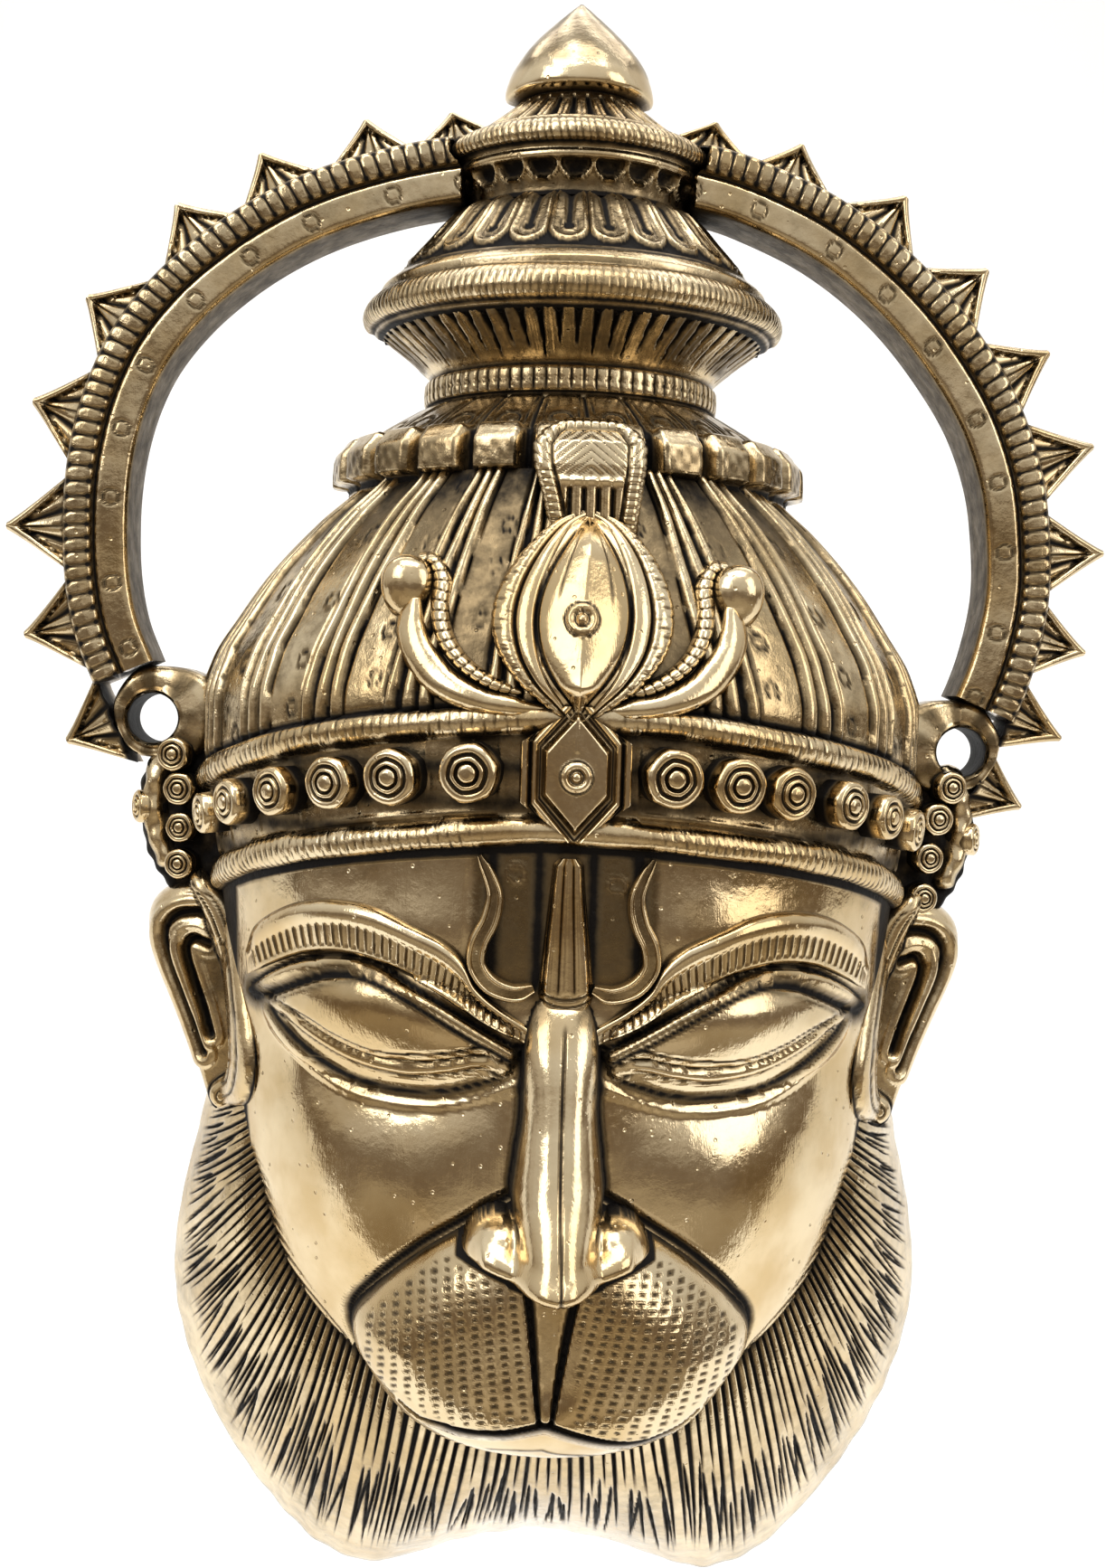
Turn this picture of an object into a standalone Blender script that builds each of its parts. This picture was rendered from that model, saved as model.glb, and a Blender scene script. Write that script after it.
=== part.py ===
"""A cast brass wall mask: a crowned monkey face with a beard, inside a horseshoe arch with spikes.

The whole mask is one hollow casting with a flat back, open behind. The back lies in the plane y = 0, the
face looks towards -Y, and +Z is up. The origin is on the flat back of the crown, where a wall meets it.
The carving is laid out in carving units, which are millimetres on a mask of the drawn height, breadth
and depth. The wall, the bores and the arch's own section are real millimetres, whatever the size.
"""

import bpy
import bmesh
import math
from mathutils import Vector

MM = 0.001

# Overall sizes, in millimetres
MASK_HEIGHT = 307.0
BEARD_WIDTH = 147.6
FACE_DEPTH = 80.0

# The casting's own sizes, in millimetres
WALL = 4.6
RIM_WALL = 5.4
SCREW_BORE = 9.4
LUG_RADIUS = 10.6
ARCH_THICKNESS = 13.0
ARCH_TICK_BAND = 4.9
ARCH_PLAIN_BAND = 6.0
ARCH_GROOVE = 1.1
SPIKE_LENGTH = 12.0
SPIKE_EDGE_DEPTH = 7.0
SPIKES_LEFT = 8
SPIKES_RIGHT = 9
BUTTON_RADIUS = 4.6
BUTTONS_A_SIDE = 6

# The drawing that the carving is laid out on, in carving units
DRAWN_HEIGHT = 307.0
DRAWN_WIDTH = 147.6
DRAWN_DEPTH = 80.0
MOUNT_LEVEL = 104.0
BACK_SPARE = 4.0
TALL = MASK_HEIGHT / DRAWN_HEIGHT
BROAD = BEARD_WIDTH / DRAWN_WIDTH
DEEP = FACE_DEPTH / DRAWN_DEPTH

# Crown, turned half round: level, half width
CROWN_PROFILE = (
    (135.2, 0.5), (132.5, 2.3), (129.0, 5.0), (125.5, 8.4), (122.0, 11.9), (119.6, 14.0), (117.6, 14.3),
    (116.4, 12.2), (115.6, 13.8), (112.8, 18.0), (109.6, 22.6), (108.2, 25.8), (106.0, 26.6), (104.0, 25.8),
    (103.2, 24.4), (101.8, 24.8), (100.6, 22.6), (96.4, 22.0), (94.6, 25.2), (90.0, 29.0), (85.0, 33.4),
    (80.8, 37.4), (79.2, 37.8), (77.4, 40.4), (75.2, 41.2), (73.2, 40.2), (71.8, 37.8), (67.4, 31.6),
    (63.6, 27.6), (62.6, 28.8), (58.4, 28.6), (57.0, 30.4), (53.0, 37.0), (50.0, 41.4), (49.0, 43.4),
    (45.0, 44.6), (41.2, 44.0), (39.8, 40.0), (34.0, 36.0),
)
CROWN_COLUMNS = 14
CROWN_BACK_SHARE = 0.98

# Head, a half round that grows fuller on the face: level, half width, depth, fullness
HEAD_SECTIONS = (
    (46.0, 35.0, 42.0, 1.0), (40.0, 41.5, 45.5, 1.0), (34.0, 48.5, 49.0, 1.0), (24.0, 57.5, 54.0, 1.0),
    (16.0, 63.0, 57.5, 1.0), (8.0, 67.8, 60.0, 1.0), (0.0, 70.0, 61.5, 1.0), (-14.0, 70.0, 61.0, 1.0),
    (-28.0, 68.0, 60.5, 0.95), (-36.0, 66.0, 60.0, 0.9), (-50.0, 64.5, 59.5, 0.9), (-65.0, 63.5, 58.5, 0.9),
    (-78.0, 62.5, 58.0, 0.9), (-88.0, 60.8, 57.5, 0.9), (-96.0, 57.6, 57.0, 0.9), (-103.0, 53.0, 56.0, 0.9),
    (-110.0, 46.5, 55.0, 0.9), (-116.0, 39.0, 53.5, 0.9), (-122.0, 29.0, 51.0, 0.9), (-127.0, 17.0, 46.0, 0.9),
)

# The whole casting seen from behind, which the hollow follows a wall's thickness inside
CASTING_SECTIONS = (
    (96.5, 15.0, 14.0, 1.0), (92.0, 24.0, 21.0, 1.0), (78.0, 33.0, 30.0, 1.0), (63.0, 27.6, 26.0, 1.0),
    (57.0, 28.6, 29.0, 1.0), (48.0, 39.0, 39.0, 1.0), (40.0, 42.0, 45.0, 1.0), (34.0, 48.5, 49.0, 1.0),
    (24.0, 57.5, 54.0, 1.0), (16.0, 63.0, 57.5, 1.0), (8.0, 67.8, 60.0, 1.0), (0.0, 70.0, 60.5, 1.0),
    (-14.0, 70.0, 59.0, 1.0), (-28.0, 68.0, 58.5, 1.0), (-36.0, 66.0, 58.0, 1.05), (-50.0, 64.5, 56.0, 1.1),
    (-65.0, 63.5, 55.5, 1.15), (-76.0, 64.0, 56.0, 1.3), (-84.0, 68.0, 56.5, 1.5), (-97.0, 71.4, 56.5, 1.75),
    (-109.0, 73.2, 55.0, 1.9), (-121.0, 72.2, 50.0, 2.0), (-132.0, 69.2, 41.0, 2.0), (-142.0, 64.6, 32.0, 2.0),
    (-150.0, 58.4, 23.5, 2.0), (-157.0, 50.6, 15.5, 2.0), (-162.0, 42.0, 9.6, 2.0),
)

HEAD_COLUMNS = 15
HEAD_CROWDING = 1.25
DOME_LEVELS = (46.0, 40.0, 33.0, 26.0, 19.0, 12.0, 5.5)
ROPE_SHOULDER = 1.2
FACE_FIRST_DROP = 2.4
FACE_ROW_STEP = 3.7
CHIN_LEVEL = -127.0
CHIN_SPARE = 1.0
SIDE_FADE = 4.0
HOLLOW_ROWS = 16
HOLLOW_COLUMNS = 7
HOLLOW_LOW_WALL_SHARE = 0.4

# Brim: square petals round its edge, in degrees round the crown and carving units
BRIM_BLOCK_TURN = 14.3
BRIM_BLOCK_OFFSET = -3.9
BRIM_BLOCKS_A_SIDE = 6
BRIM_BLOCK_SHARE = 0.41
BRIM_BLOCK_LOW = 41.0
BRIM_BLOCK_HIGH = 48.6
BRIM_BLOCK_RADII = (41.0, 46.2)

# Face, on its right half: middles are across and level, reaches are breadth and height
SOCKET_MIDDLE = (31.0, -58.0)
SOCKET_REACH = (24.0, 12.0)
SOCKET_SUNK = 4.0
EYE_MIDDLE = (31.0, -56.5)
EYE_REACH = (22.5, 10.0)
EYE_TILT = 0.16
EYE_RISE = 6.5
EYE_FULLNESS = 0.7
CHEEK_MIDDLE = (34.0, -86.0)
CHEEK_REACH = (17.0, 13.0)
CHEEK_RISE = 2.2
LOBE_MIDDLE = (16.5, -104.5)
LOBE_REACH = (20.5, 21.0)
LOBE_RISE = 12.5
LOBE_FULLNESS = 0.55
BRIDGE_HALF_WIDTH = 6.0
BRIDGE_WIDENS_BELOW = -57.0
BRIDGE_FLARE = 0.07
BRIDGE_SKIRT = 2.0
BRIDGE_SQUARENESS = 2.4
WING_MIDDLE = (9.0, -88.0)
WING_REACH = (6.4, 6.8)
WING_EDGE = 4.0
WING_RISE = 12.0

# Ridge of the nose: level, rise above the plain head
NOSE_BRIDGE = (
    (-100.0, 0.0), (-98.0, 7.0), (-95.6, 18.0), (-93.0, 22.0), (-88.0, 20.0), (-80.0, 14.0), (-70.0, 9.5),
    (-60.0, 6.0), (-54.0, 3.0), (-49.0, 0.0),
)

# Headband, bowed over the brow
BAND_BOW = 17.0
BAND_BOW_POWER = 0.9
BAND_UPPER_ROPE = -1.4
BAND_LOWER_ROPE = -20.4
ROPE_HALF_HEIGHT = 1.9
ROPE_PROUD = 2.2
BAND_FIELD_SUNK = 0.9
BOW_TOP_LEVEL = 40.0
BOW_LOW_LEVEL = -60.0

# Beard: where its locks leave the face and where they end, on the right half: across, level, depth
BEARD_ROOT = (
    (50.0, -68.0, 28.0), (50.5, -78.0, 29.0), (49.0, -87.0, 30.0), (46.0, -95.0, 32.0), (41.0, -102.0, 35.0),
    (35.0, -107.5, 38.5), (28.0, -112.0, 42.0), (19.5, -115.5, 45.0), (10.0, -117.5, 47.0), (0.0, -117.5, 48.0),
)
BEARD_TIP = (
    (67.0, -72.0, 5.0), (69.4, -84.0, 4.6), (72.3, -97.0, 4.4), (73.8, -110.0, 4.2), (72.8, -121.0, 4.2),
    (69.6, -132.0, 4.2), (65.0, -142.0, 4.2), (59.0, -151.6, 4.2), (52.0, -160.4, 4.2), (44.0, -168.0, 4.2),
    (34.6, -171.8, 4.2), (26.5, -170.6, 4.2), (14.0, -166.6, 4.2), (0.0, -164.2, 4.2),
)
BEARD_LOCKS_A_SIDE = 14
BEARD_ROOT_FLUTE_SHARE = 0.3
BEARD_ROWS = 4
BEARD_FLUTE = 0.7
BEARD_FALL_POWER = 1.7

# Arch: a squared half oval whose legs turn in towards the ears
ARCH_LINE = (
    (-81.2, -11.0), (-87.4, 3.0), (-91.2, 12.4), (-93.2, 22.2), (-93.8, 32.4), (-93.4, 42.4), (-91.9, 51.8),
    (-89.2, 60.8), (-85.0, 69.4), (-78.8, 77.6), (-71.4, 84.8), (-62.6, 91.4), (-52.6, 97.0), (-41.4, 101.4),
    (-29.4, 104.6), (-15.0, 106.9), (0.0, 107.8), (14.6, 107.2), (28.2, 105.1), (38.6, 101.6), (49.0, 96.8),
    (59.0, 90.2), (68.4, 81.8), (77.0, 71.4), (83.8, 60.6), (88.4, 48.4), (90.4, 36.4), (90.8, 24.4),
    (88.8, 12.6), (85.4, 2.2), (79.2, -11.0),
)
ARCH_FINE_STEPS = 1200
ARCH_NORMAL_STEPS = 6
ARCH_GROOVE_DEPTH = 1.0
ARCH_TICK_PROUD = 0.3
ARCH_SHOULDER = 2.6
SPIKE_FOOT = 0.4
SPIKE_TIP_FALL = 0.2
LUG_ACROSS = 78.2
LUG_LEVEL = -4.8

LUG_SIDES = 20
LUG_CHAMFER = 2.0
LUG_FRONT_SHARE = 0.86
BORE_SPARE = 6.0

# Studs: degrees round the head, distances along a stud with the share of its radius there
STUD_FIRST_TURN = 14.4
STUD_TURN_STEP = 10.8
STUD_SHRINK = 0.045
STUD_LEVEL_LIFT = 0.7
STUD_STEPS = ((-2.0, 1.0), (2.2, 1.0), (3.4, 0.72))
TEMPLE_STUDS = ((73.6, -11.5), (72.4, -18.0), (71.8, -25.4), (71.4, -32.6))
TEMPLE_STUD_RADIUS = 3.1
TEMPLE_STUD_DEPTH = 11.0
TEMPLE_STUD_STEPS = ((-3.0, 1.0), (3.0, 1.0), (4.2, 0.7))

# Ridges that follow the head: paths of across and level, half widths along them, rises
RIDGE_SUNK = 0.4
RIDGE_ROOT = 3.0
BROW_PATH = (
    (57.0, -46.0), (50.0, -39.4), (42.0, -36.4), (34.0, -36.6), (26.0, -39.4), (18.0, -44.8), (11.0, -50.4),
    (5.0, -53.6),
)
BROW_HALF_WIDTHS = (2.0, 4.6, 5.0, 4.8, 4.2, 3.2, 2.4, 1.4)
BROW_RISE = 2.4
LID_PATH = ((53.0, -54.6), (46.0, -57.4), (38.0, -59.4), (30.0, -60.2), (20.0, -60.2), (11.0, -60.6))
LID_HALF_WIDTHS = (0.9, 1.1, 1.2, 1.2, 1.1, 0.9)
LID_RISE = 1.2
LOW_LID_PATH = ((50.0, -58.4), (42.0, -63.4), (32.0, -66.0), (22.0, -66.0), (12.0, -63.8))
LOW_LID_HALF_WIDTHS = (0.9, 1.2, 1.3, 1.2, 0.9)
LOW_LID_RISE = 1.1
MARK_ARM_PATH = ((14.4, -25.6), (12.8, -32.0), (15.0, -39.0), (12.6, -45.0), (7.0, -47.0), (4.4, -44.6))
MARK_ARM_HALF_WIDTHS = (0.8, 1.5, 1.7, 1.7, 1.6, 1.0)
MARK_ARM_RISE = 2.0
MARK_STEM_PATH = ((0.0, -26.2), (0.0, -36.0), (0.0, -46.0), (0.0, -51.6))
MARK_STEM_HALF_WIDTHS = (2.3, 3.2, 4.5, 1.6)
MARK_STEM_RISE = 2.2

# Crest
STRAP_PATH = ((2.0, 50.0), (2.0, 44.0), (2.4, 38.0), (2.6, 30.0))
STRAP_HALF_WIDTHS = (4.0, 9.0, 8.4, 7.4)
STRAP_RISE = 6.0
STRAP_SEAT = 47.0
MEDALLION_PATH = ((2.4, 32.6), (2.0, 24.0), (1.6, 16.0), (1.2, 7.0), (1.0, 0.4))
MEDALLION_HALF_WIDTHS = (6.0, 13.0, 15.0, 11.0, 4.0)
MEDALLION_RISE = 4.0
LEAF_BOSS_PATH = ((2.4, 28.0), (2.0, 22.0), (1.6, 14.6), (1.2, 7.0), (0.9, 1.6))
LEAF_BOSS_HALF_WIDTHS = (1.0, 4.4, 5.6, 4.2, 0.9)
LEAF_BOSS_RISE = 7.6
JEWEL_PATH = ((0.8, -0.4), (0.8, -5.0), (0.9, -11.4), (1.0, -17.0), (1.1, -20.4))
JEWEL_HALF_WIDTHS = (3.2, 8.4, 9.6, 8.0, 3.4)
JEWEL_RISE = 4.6
SCROLL_PATH = ((9.0, 1.4), (16.0, 2.4), (22.0, 5.4), (26.0, 10.4), (26.4, 16.0), (23.6, 21.6), (24.6, 25.6))
SCROLL_HALF_WIDTHS = (1.6, 2.6, 2.8, 2.6, 2.2, 2.0, 1.6)
SCROLL_RISE = 3.6
BULB_MIDDLE = (28.6, 21.0)
BULB_RADIUS = 4.4
BULB_STEPS = ((-2.0, 0.8), (1.0, 1.0), (3.6, 0.75), (4.8, 0.3))

# Ears: outlines of across and level, depths with the outline's growth about its middle
EAR_OUTLINE = (
    (66.0, -34.0), (74.0, -36.4), (78.4, -40.0), (79.2, -46.0), (76.0, -54.0), (71.4, -64.0), (68.0, -72.6),
    (64.0, -76.0), (59.0, -72.0), (58.0, -60.0), (59.0, -46.0),
)
EAR_MIDDLE = (68.0, -54.0)
EAR_STEPS = ((-BACK_SPARE, 1.0), (10.0, 1.0), (14.0, 0.86))
EAR_HOLLOW = (
    (68.0, -42.0), (73.0, -43.6), (73.8, -48.0), (70.0, -58.0), (67.0, -66.0), (64.6, -60.0), (64.6, -48.0),
)
EAR_HOLLOW_MIDDLE = (69.0, -52.0)
EAR_HOLLOW_STEPS = ((20.0, 1.0), (8.0, 0.7))
TEMPLE_PLATE = ((64.0, -6.0), (79.0, -8.0), (81.6, -20.0), (79.6, -31.0), (74.0, -37.0), (62.0, -36.0))
TEMPLE_PLATE_DEPTH = 10.6

BACK_CUT_REACH = 400.0
FINISH_COLOUR = (0.72, 0.53, 0.27, 1.0)
FINISH_ROUGHNESS = 0.22


def spline(table, key, column):
    """Value of one column of a table at a level, on a smooth curve through its rows."""
    rows = table if table[0][0] <= table[-1][0] else table[::-1]
    key = min(max(key, rows[0][0]), rows[-1][0])
    index = 0
    while index < len(rows) - 2 and key > rows[index + 1][0]:
        index += 1
    low, high = rows[index], rows[index + 1]
    span = high[0] - low[0]
    chord = (high[column] - low[column]) / span
    before = rows[index - 1] if index else None
    after = rows[index + 2] if index + 2 < len(rows) else None
    slope_low = chord if before is None else tame_slope(before, low, high, column)
    slope_high = chord if after is None else tame_slope(low, high, after, column)
    t = (key - low[0]) / span
    return (
        low[column] * (2 * t**3 - 3 * t**2 + 1)
        + slope_low * span * (t**3 - 2 * t**2 + t)
        + high[column] * (3 * t**2 - 2 * t**3)
        + slope_high * span * (t**3 - t**2)
    )


def tame_slope(before, here, after, column):
    """Slope at a knot that never overshoots: the harmonic mean of the two chords."""
    left = (here[column] - before[column]) / (here[0] - before[0])
    right = (after[column] - here[column]) / (after[0] - here[0])
    if left * right <= 0:
        return 0.0
    return 2 * left * right / (left + right)


def along(points, share):
    """Point at a share of the length of a smooth curve through the given points."""
    reach = share * (len(points) - 1)
    index = min(int(reach), len(points) - 2)
    t = reach - index
    p1, p2 = Vector(points[index]), Vector(points[index + 1])
    p0 = Vector(points[index - 1]) if index else p1 * 2 - p2
    p3 = Vector(points[index + 2]) if index + 2 < len(points) else p2 * 2 - p1
    return 0.5 * (
        p1 * 2 + (p2 - p0) * t + (p0 * 2 - p1 * 5 + p2 * 4 - p3) * t**2 + (p1 * 3 - p0 - p2 * 3 + p3) * t**3
    )


def hill(value, half_width, power=2.0):
    """A rounded bump, one at the middle and nought at its half width."""
    share = min(abs(value) / half_width, 1.0)
    return (1.0 - share**power) ** 0.5


def carved(x, depth, z):
    """A point of the carving, in metres in the part's frame."""
    return Vector((x * BROAD, -depth * DEEP, (z - MOUNT_LEVEL) * TALL)) * MM


def half_round(x, half_width, depth, fullness):
    """Depth of a half-round section at a distance from its middle."""
    share = min(abs(x) / half_width, 1.0)
    return depth * (1.0 - share * share) ** (fullness / 2)


def bow(x, half_width):
    """How far the headband drops at a distance from the middle."""
    share = min(abs(x) / half_width, 1.0)
    return BAND_BOW * (1.0 - math.sqrt(1.0 - share * share)) ** BAND_BOW_POWER


def reach_from(side, z, middle, reach):
    """Squared distance of a place from a middle, in shares of a reach across and up."""
    return ((side - middle[0]) / reach[0]) ** 2 + ((z - middle[1]) / reach[1]) ** 2


def bulge(reach, rise, fullness):
    """Rise of a rounded form, nought at its edge."""
    return rise * (1.0 - reach) ** fullness if reach < 1.0 else 0.0


def face_relief(x, z):
    """Eyes, nose, cheeks and muzzle: how far they stand out of the plain head."""
    side = abs(x)
    relief = -SOCKET_SUNK * math.exp(-reach_from(side, z, SOCKET_MIDDLE, SOCKET_REACH))
    tilted = z - EYE_TILT * (side - EYE_MIDDLE[0])
    relief += bulge(reach_from(side, tilted, EYE_MIDDLE, EYE_REACH), EYE_RISE, EYE_FULLNESS)
    relief += CHEEK_RISE * math.exp(-reach_from(side, z, CHEEK_MIDDLE, CHEEK_REACH))
    lobe = bulge(reach_from(side, z, LOBE_MIDDLE, LOBE_REACH), LOBE_RISE, LOBE_FULLNESS)
    half_width = BRIDGE_HALF_WIDTH + BRIDGE_FLARE * max(0.0, BRIDGE_WIDENS_BELOW - z)
    nose = spline(NOSE_BRIDGE, z, 1) * hill(side, half_width + BRIDGE_SKIRT, BRIDGE_SQUARENESS)
    wing_reach = reach_from(side, z, WING_MIDDLE, WING_REACH)
    wing = WING_EDGE + bulge(wing_reach, WING_RISE, 0.5) if wing_reach < 1.0 else 0.0
    return relief + max(lobe, nose, wing)


def band_relief(x, z, half_width):
    """The headband's two ropes and the sunk field between them."""
    level = z + bow(x, half_width)
    for rope in (BAND_UPPER_ROPE, BAND_LOWER_ROPE):
        if abs(level - rope) < ROPE_HALF_HEIGHT:
            return ROPE_PROUD * hill(level - rope, ROPE_HALF_HEIGHT)
    if BAND_LOWER_ROPE < level < BAND_UPPER_ROPE:
        return -BAND_FIELD_SUNK
    return 0.0


def head_depth(x, z):
    """Depth of the head's surface, with its relief."""
    half_width = spline(HEAD_SECTIONS, z, 1)
    depth = half_round(x, half_width, spline(HEAD_SECTIONS, z, 2), spline(HEAD_SECTIONS, z, 3))
    fade = min(1.0, (1.0 - min(abs(x) / half_width, 1.0)) * SIDE_FADE)
    return depth + fade * (face_relief(x, z) + band_relief(x, z, half_width))


def surface_normal(x, z):
    """Direction that the head's surface faces at a point, in carving axes."""
    step = 0.6
    slope_x = (head_depth(x + step, z) - head_depth(x - step, z)) / (2 * step)
    slope_z = (head_depth(x, z + step) - head_depth(x, z - step)) / (2 * step)
    return Vector((-slope_x, -1.0, -slope_z)).normalized()


def solid(name, vertices, faces, cutter=False):
    """A mesh object, in the carving group or, as a cutter, in the cutting group."""
    mesh = bpy.data.meshes.new(name)
    mesh.from_pydata([tuple(v) for v in vertices], [], faces)
    shaped = bmesh.new()
    shaped.from_mesh(mesh)
    bmesh.ops.remove_doubles(shaped, verts=shaped.verts, dist=1e-7)
    bmesh.ops.recalc_face_normals(shaped, faces=shaped.faces)
    bmesh.ops.triangulate(shaped, faces=shaped.faces)
    shaped.to_mesh(mesh)
    shaped.free()
    made = bpy.data.objects.new(name, mesh)
    made.hide_render = True
    made.display_type = "WIRE"
    bpy.data.collections["cutters" if cutter else "carving"].objects.link(made)
    return made


def closed_rows(rows):
    """Faces of a skin over rows of points, each row a closed ring, with both end rings filled."""
    ring = len(rows[0])
    faces = []
    for row in range(len(rows) - 1):
        for i in range(ring):
            j = (i + 1) % ring
            faces.append((row * ring + i, row * ring + j, (row + 1) * ring + j, (row + 1) * ring + i))
    faces.append(tuple(range(ring)))
    faces.append(tuple((len(rows) - 1) * ring + i for i in reversed(range(ring))))
    return faces


def add_rows(name, rows, cutter=False):
    """A solid skinned over closed rings of points."""
    points = [point for row in rows for point in row]
    return solid(name, points, closed_rows(rows), cutter)


def half_round_row(z_of, section_of, shares):
    """One ring: round the front from left to right, then back along the flat."""
    ring = []
    for share in shares:
        z = z_of(share)
        half_width, depth_at = section_of(z)
        ring.append(carved(share * half_width, depth_at(share * half_width, z), z))
    for share in (1.0, -1.0):
        z = z_of(share)
        half_width, depth_at = section_of(z)
        ring.append(carved(share * half_width, -BACK_SPARE, z))
    return ring


def column_shares(count, crowding):
    """Places across a half-round section, closer at the middle and down the steep sides."""
    shares = []
    for i in range(-count, count + 1):
        turn = math.pi / 2 * (abs(i) / count) ** crowding
        shares.append(math.copysign(math.sin(turn), i))
    return shares


def build_crown():
    """The turned tiers, from the bud at the top to the brim."""

    def section(half_width):
        return half_width, lambda x, z: half_round(x, half_width, half_width * CROWN_BACK_SHARE, 1.0)

    shares = column_shares(CROWN_COLUMNS // 2, 1.0)
    rows = []
    for level, half_width in CROWN_PROFILE:
        rows.append(half_round_row(lambda s, z=level: z, lambda z, w=half_width: section(w), shares))
    return add_rows("crown", rows)


def bow_share(level):
    """How much of the headband's bow a row of the head takes."""
    if level > BAND_UPPER_ROPE:
        return max(0.0, (BOW_TOP_LEVEL - level) / (BOW_TOP_LEVEL - BAND_UPPER_ROPE))
    if level < BAND_LOWER_ROPE:
        return max(0.0, (level - BOW_LOW_LEVEL) / (BAND_LOWER_ROPE - BOW_LOW_LEVEL))
    return 1.0


def head_levels():
    """Levels of the head's rows at the middle, from the dome down to the chin."""
    across_rope = (ROPE_HALF_HEIGHT, ROPE_SHOULDER, 0.0, -ROPE_SHOULDER, -ROPE_HALF_HEIGHT)
    levels = list(DOME_LEVELS)
    levels += [BAND_UPPER_ROPE + step for step in across_rope]
    levels.append(0.5 * (BAND_UPPER_ROPE + BAND_LOWER_ROPE))
    levels += [BAND_LOWER_ROPE + step for step in across_rope]
    level = BAND_LOWER_ROPE - ROPE_HALF_HEIGHT - FACE_FIRST_DROP
    while level > CHIN_LEVEL + CHIN_SPARE:
        levels.append(level)
        level -= FACE_ROW_STEP
    levels.append(CHIN_LEVEL)
    return levels


def build_head():
    """Dome, headband, forehead and face."""

    def section(z):
        return spline(HEAD_SECTIONS, z, 1), head_depth

    shares = column_shares(HEAD_COLUMNS, HEAD_CROWDING)
    rows = []
    for level in head_levels():
        drop = bow_share(level)
        rows.append(half_round_row(lambda s, z=level, k=drop: z - k * bow(s, 1.0), section, shares))
    return add_rows("head", rows)


def build_hollow():
    """The open inside of the casting, a wall's thickness in from its outer form."""

    def section(z):
        half_width = spline(CASTING_SECTIONS, z, 1) - RIM_WALL / BROAD
        depth = spline(CASTING_SECTIONS, z, 2) - WALL / DEEP
        fullness = spline(CASTING_SECTIONS, z, 3)
        return half_width, lambda x, level: half_round(x, half_width, depth, fullness)

    top = CASTING_SECTIONS[0][0] - WALL / TALL
    low = CASTING_SECTIONS[-1][0] + HOLLOW_LOW_WALL_SHARE * WALL / TALL
    shares = column_shares(HOLLOW_COLUMNS, 1.0)
    rows = []
    for i in range(HOLLOW_ROWS + 1):
        level = top + (low - top) * i / HOLLOW_ROWS
        rows.append(half_round_row(lambda s, z=level: z, section, shares))
    return add_rows("hollow", rows, cutter=True)


def build_beard():
    """The beard: fluted locks that fan out from the face to the rim."""
    count = 2 * BEARD_LOCKS_A_SIDE
    rows = []
    for i in range(2 * count + 1):
        place = i / count - 1.0
        side = math.copysign(1.0, place)
        root = along(BEARD_ROOT, 1.0 - abs(place))
        tip = along(BEARD_TIP, 1.0 - abs(place))
        flute = BEARD_FLUTE if i % 2 else -BEARD_FLUTE
        ring = [carved(side * root.x, -BACK_SPARE, root.y)]
        for step in range(BEARD_ROWS + 1):
            reach = step / BEARD_ROWS
            x, z = root.x + (tip.x - root.x) * reach, root.y + (tip.y - root.y) * reach
            depth = tip.z + (root.z - tip.z) * (1.0 - reach**BEARD_FALL_POWER)
            cut_share = BEARD_ROOT_FLUTE_SHARE + (1.0 - BEARD_ROOT_FLUTE_SHARE) * reach
            ring.append(carved(side * x, depth + flute * cut_share, z))
        ring.append(carved(side * tip.x, -BACK_SPARE, tip.y))
        rows.append(ring)
    return add_rows("beard", rows)


def arch_path(steps):
    """Evenly spaced points along the arch in real millimetres, left foot to right foot, with normals."""
    fine = []
    for i in range(ARCH_FINE_STEPS + 1):
        point = along(ARCH_LINE, i / ARCH_FINE_STEPS)
        fine.append(Vector((point.x * BROAD, point.y * TALL)))
    reach = [0.0]
    for a, b in zip(fine, fine[1:]):
        reach.append(reach[-1] + (b - a).length)
    places = []
    index = 0
    for i in range(steps + 1):
        target = reach[-1] * i / steps
        while index < len(reach) - 2 and reach[index + 1] < target:
            index += 1
        t = (target - reach[index]) / (reach[index + 1] - reach[index])
        point = fine[index].lerp(fine[index + 1], t)
        ahead = fine[min(index + ARCH_NORMAL_STEPS, ARCH_FINE_STEPS)]
        behind = fine[max(index + 1 - ARCH_NORMAL_STEPS, 0)]
        forward = (ahead - behind).normalized()
        places.append((point, Vector((-forward.y, forward.x))))
    return places


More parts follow.
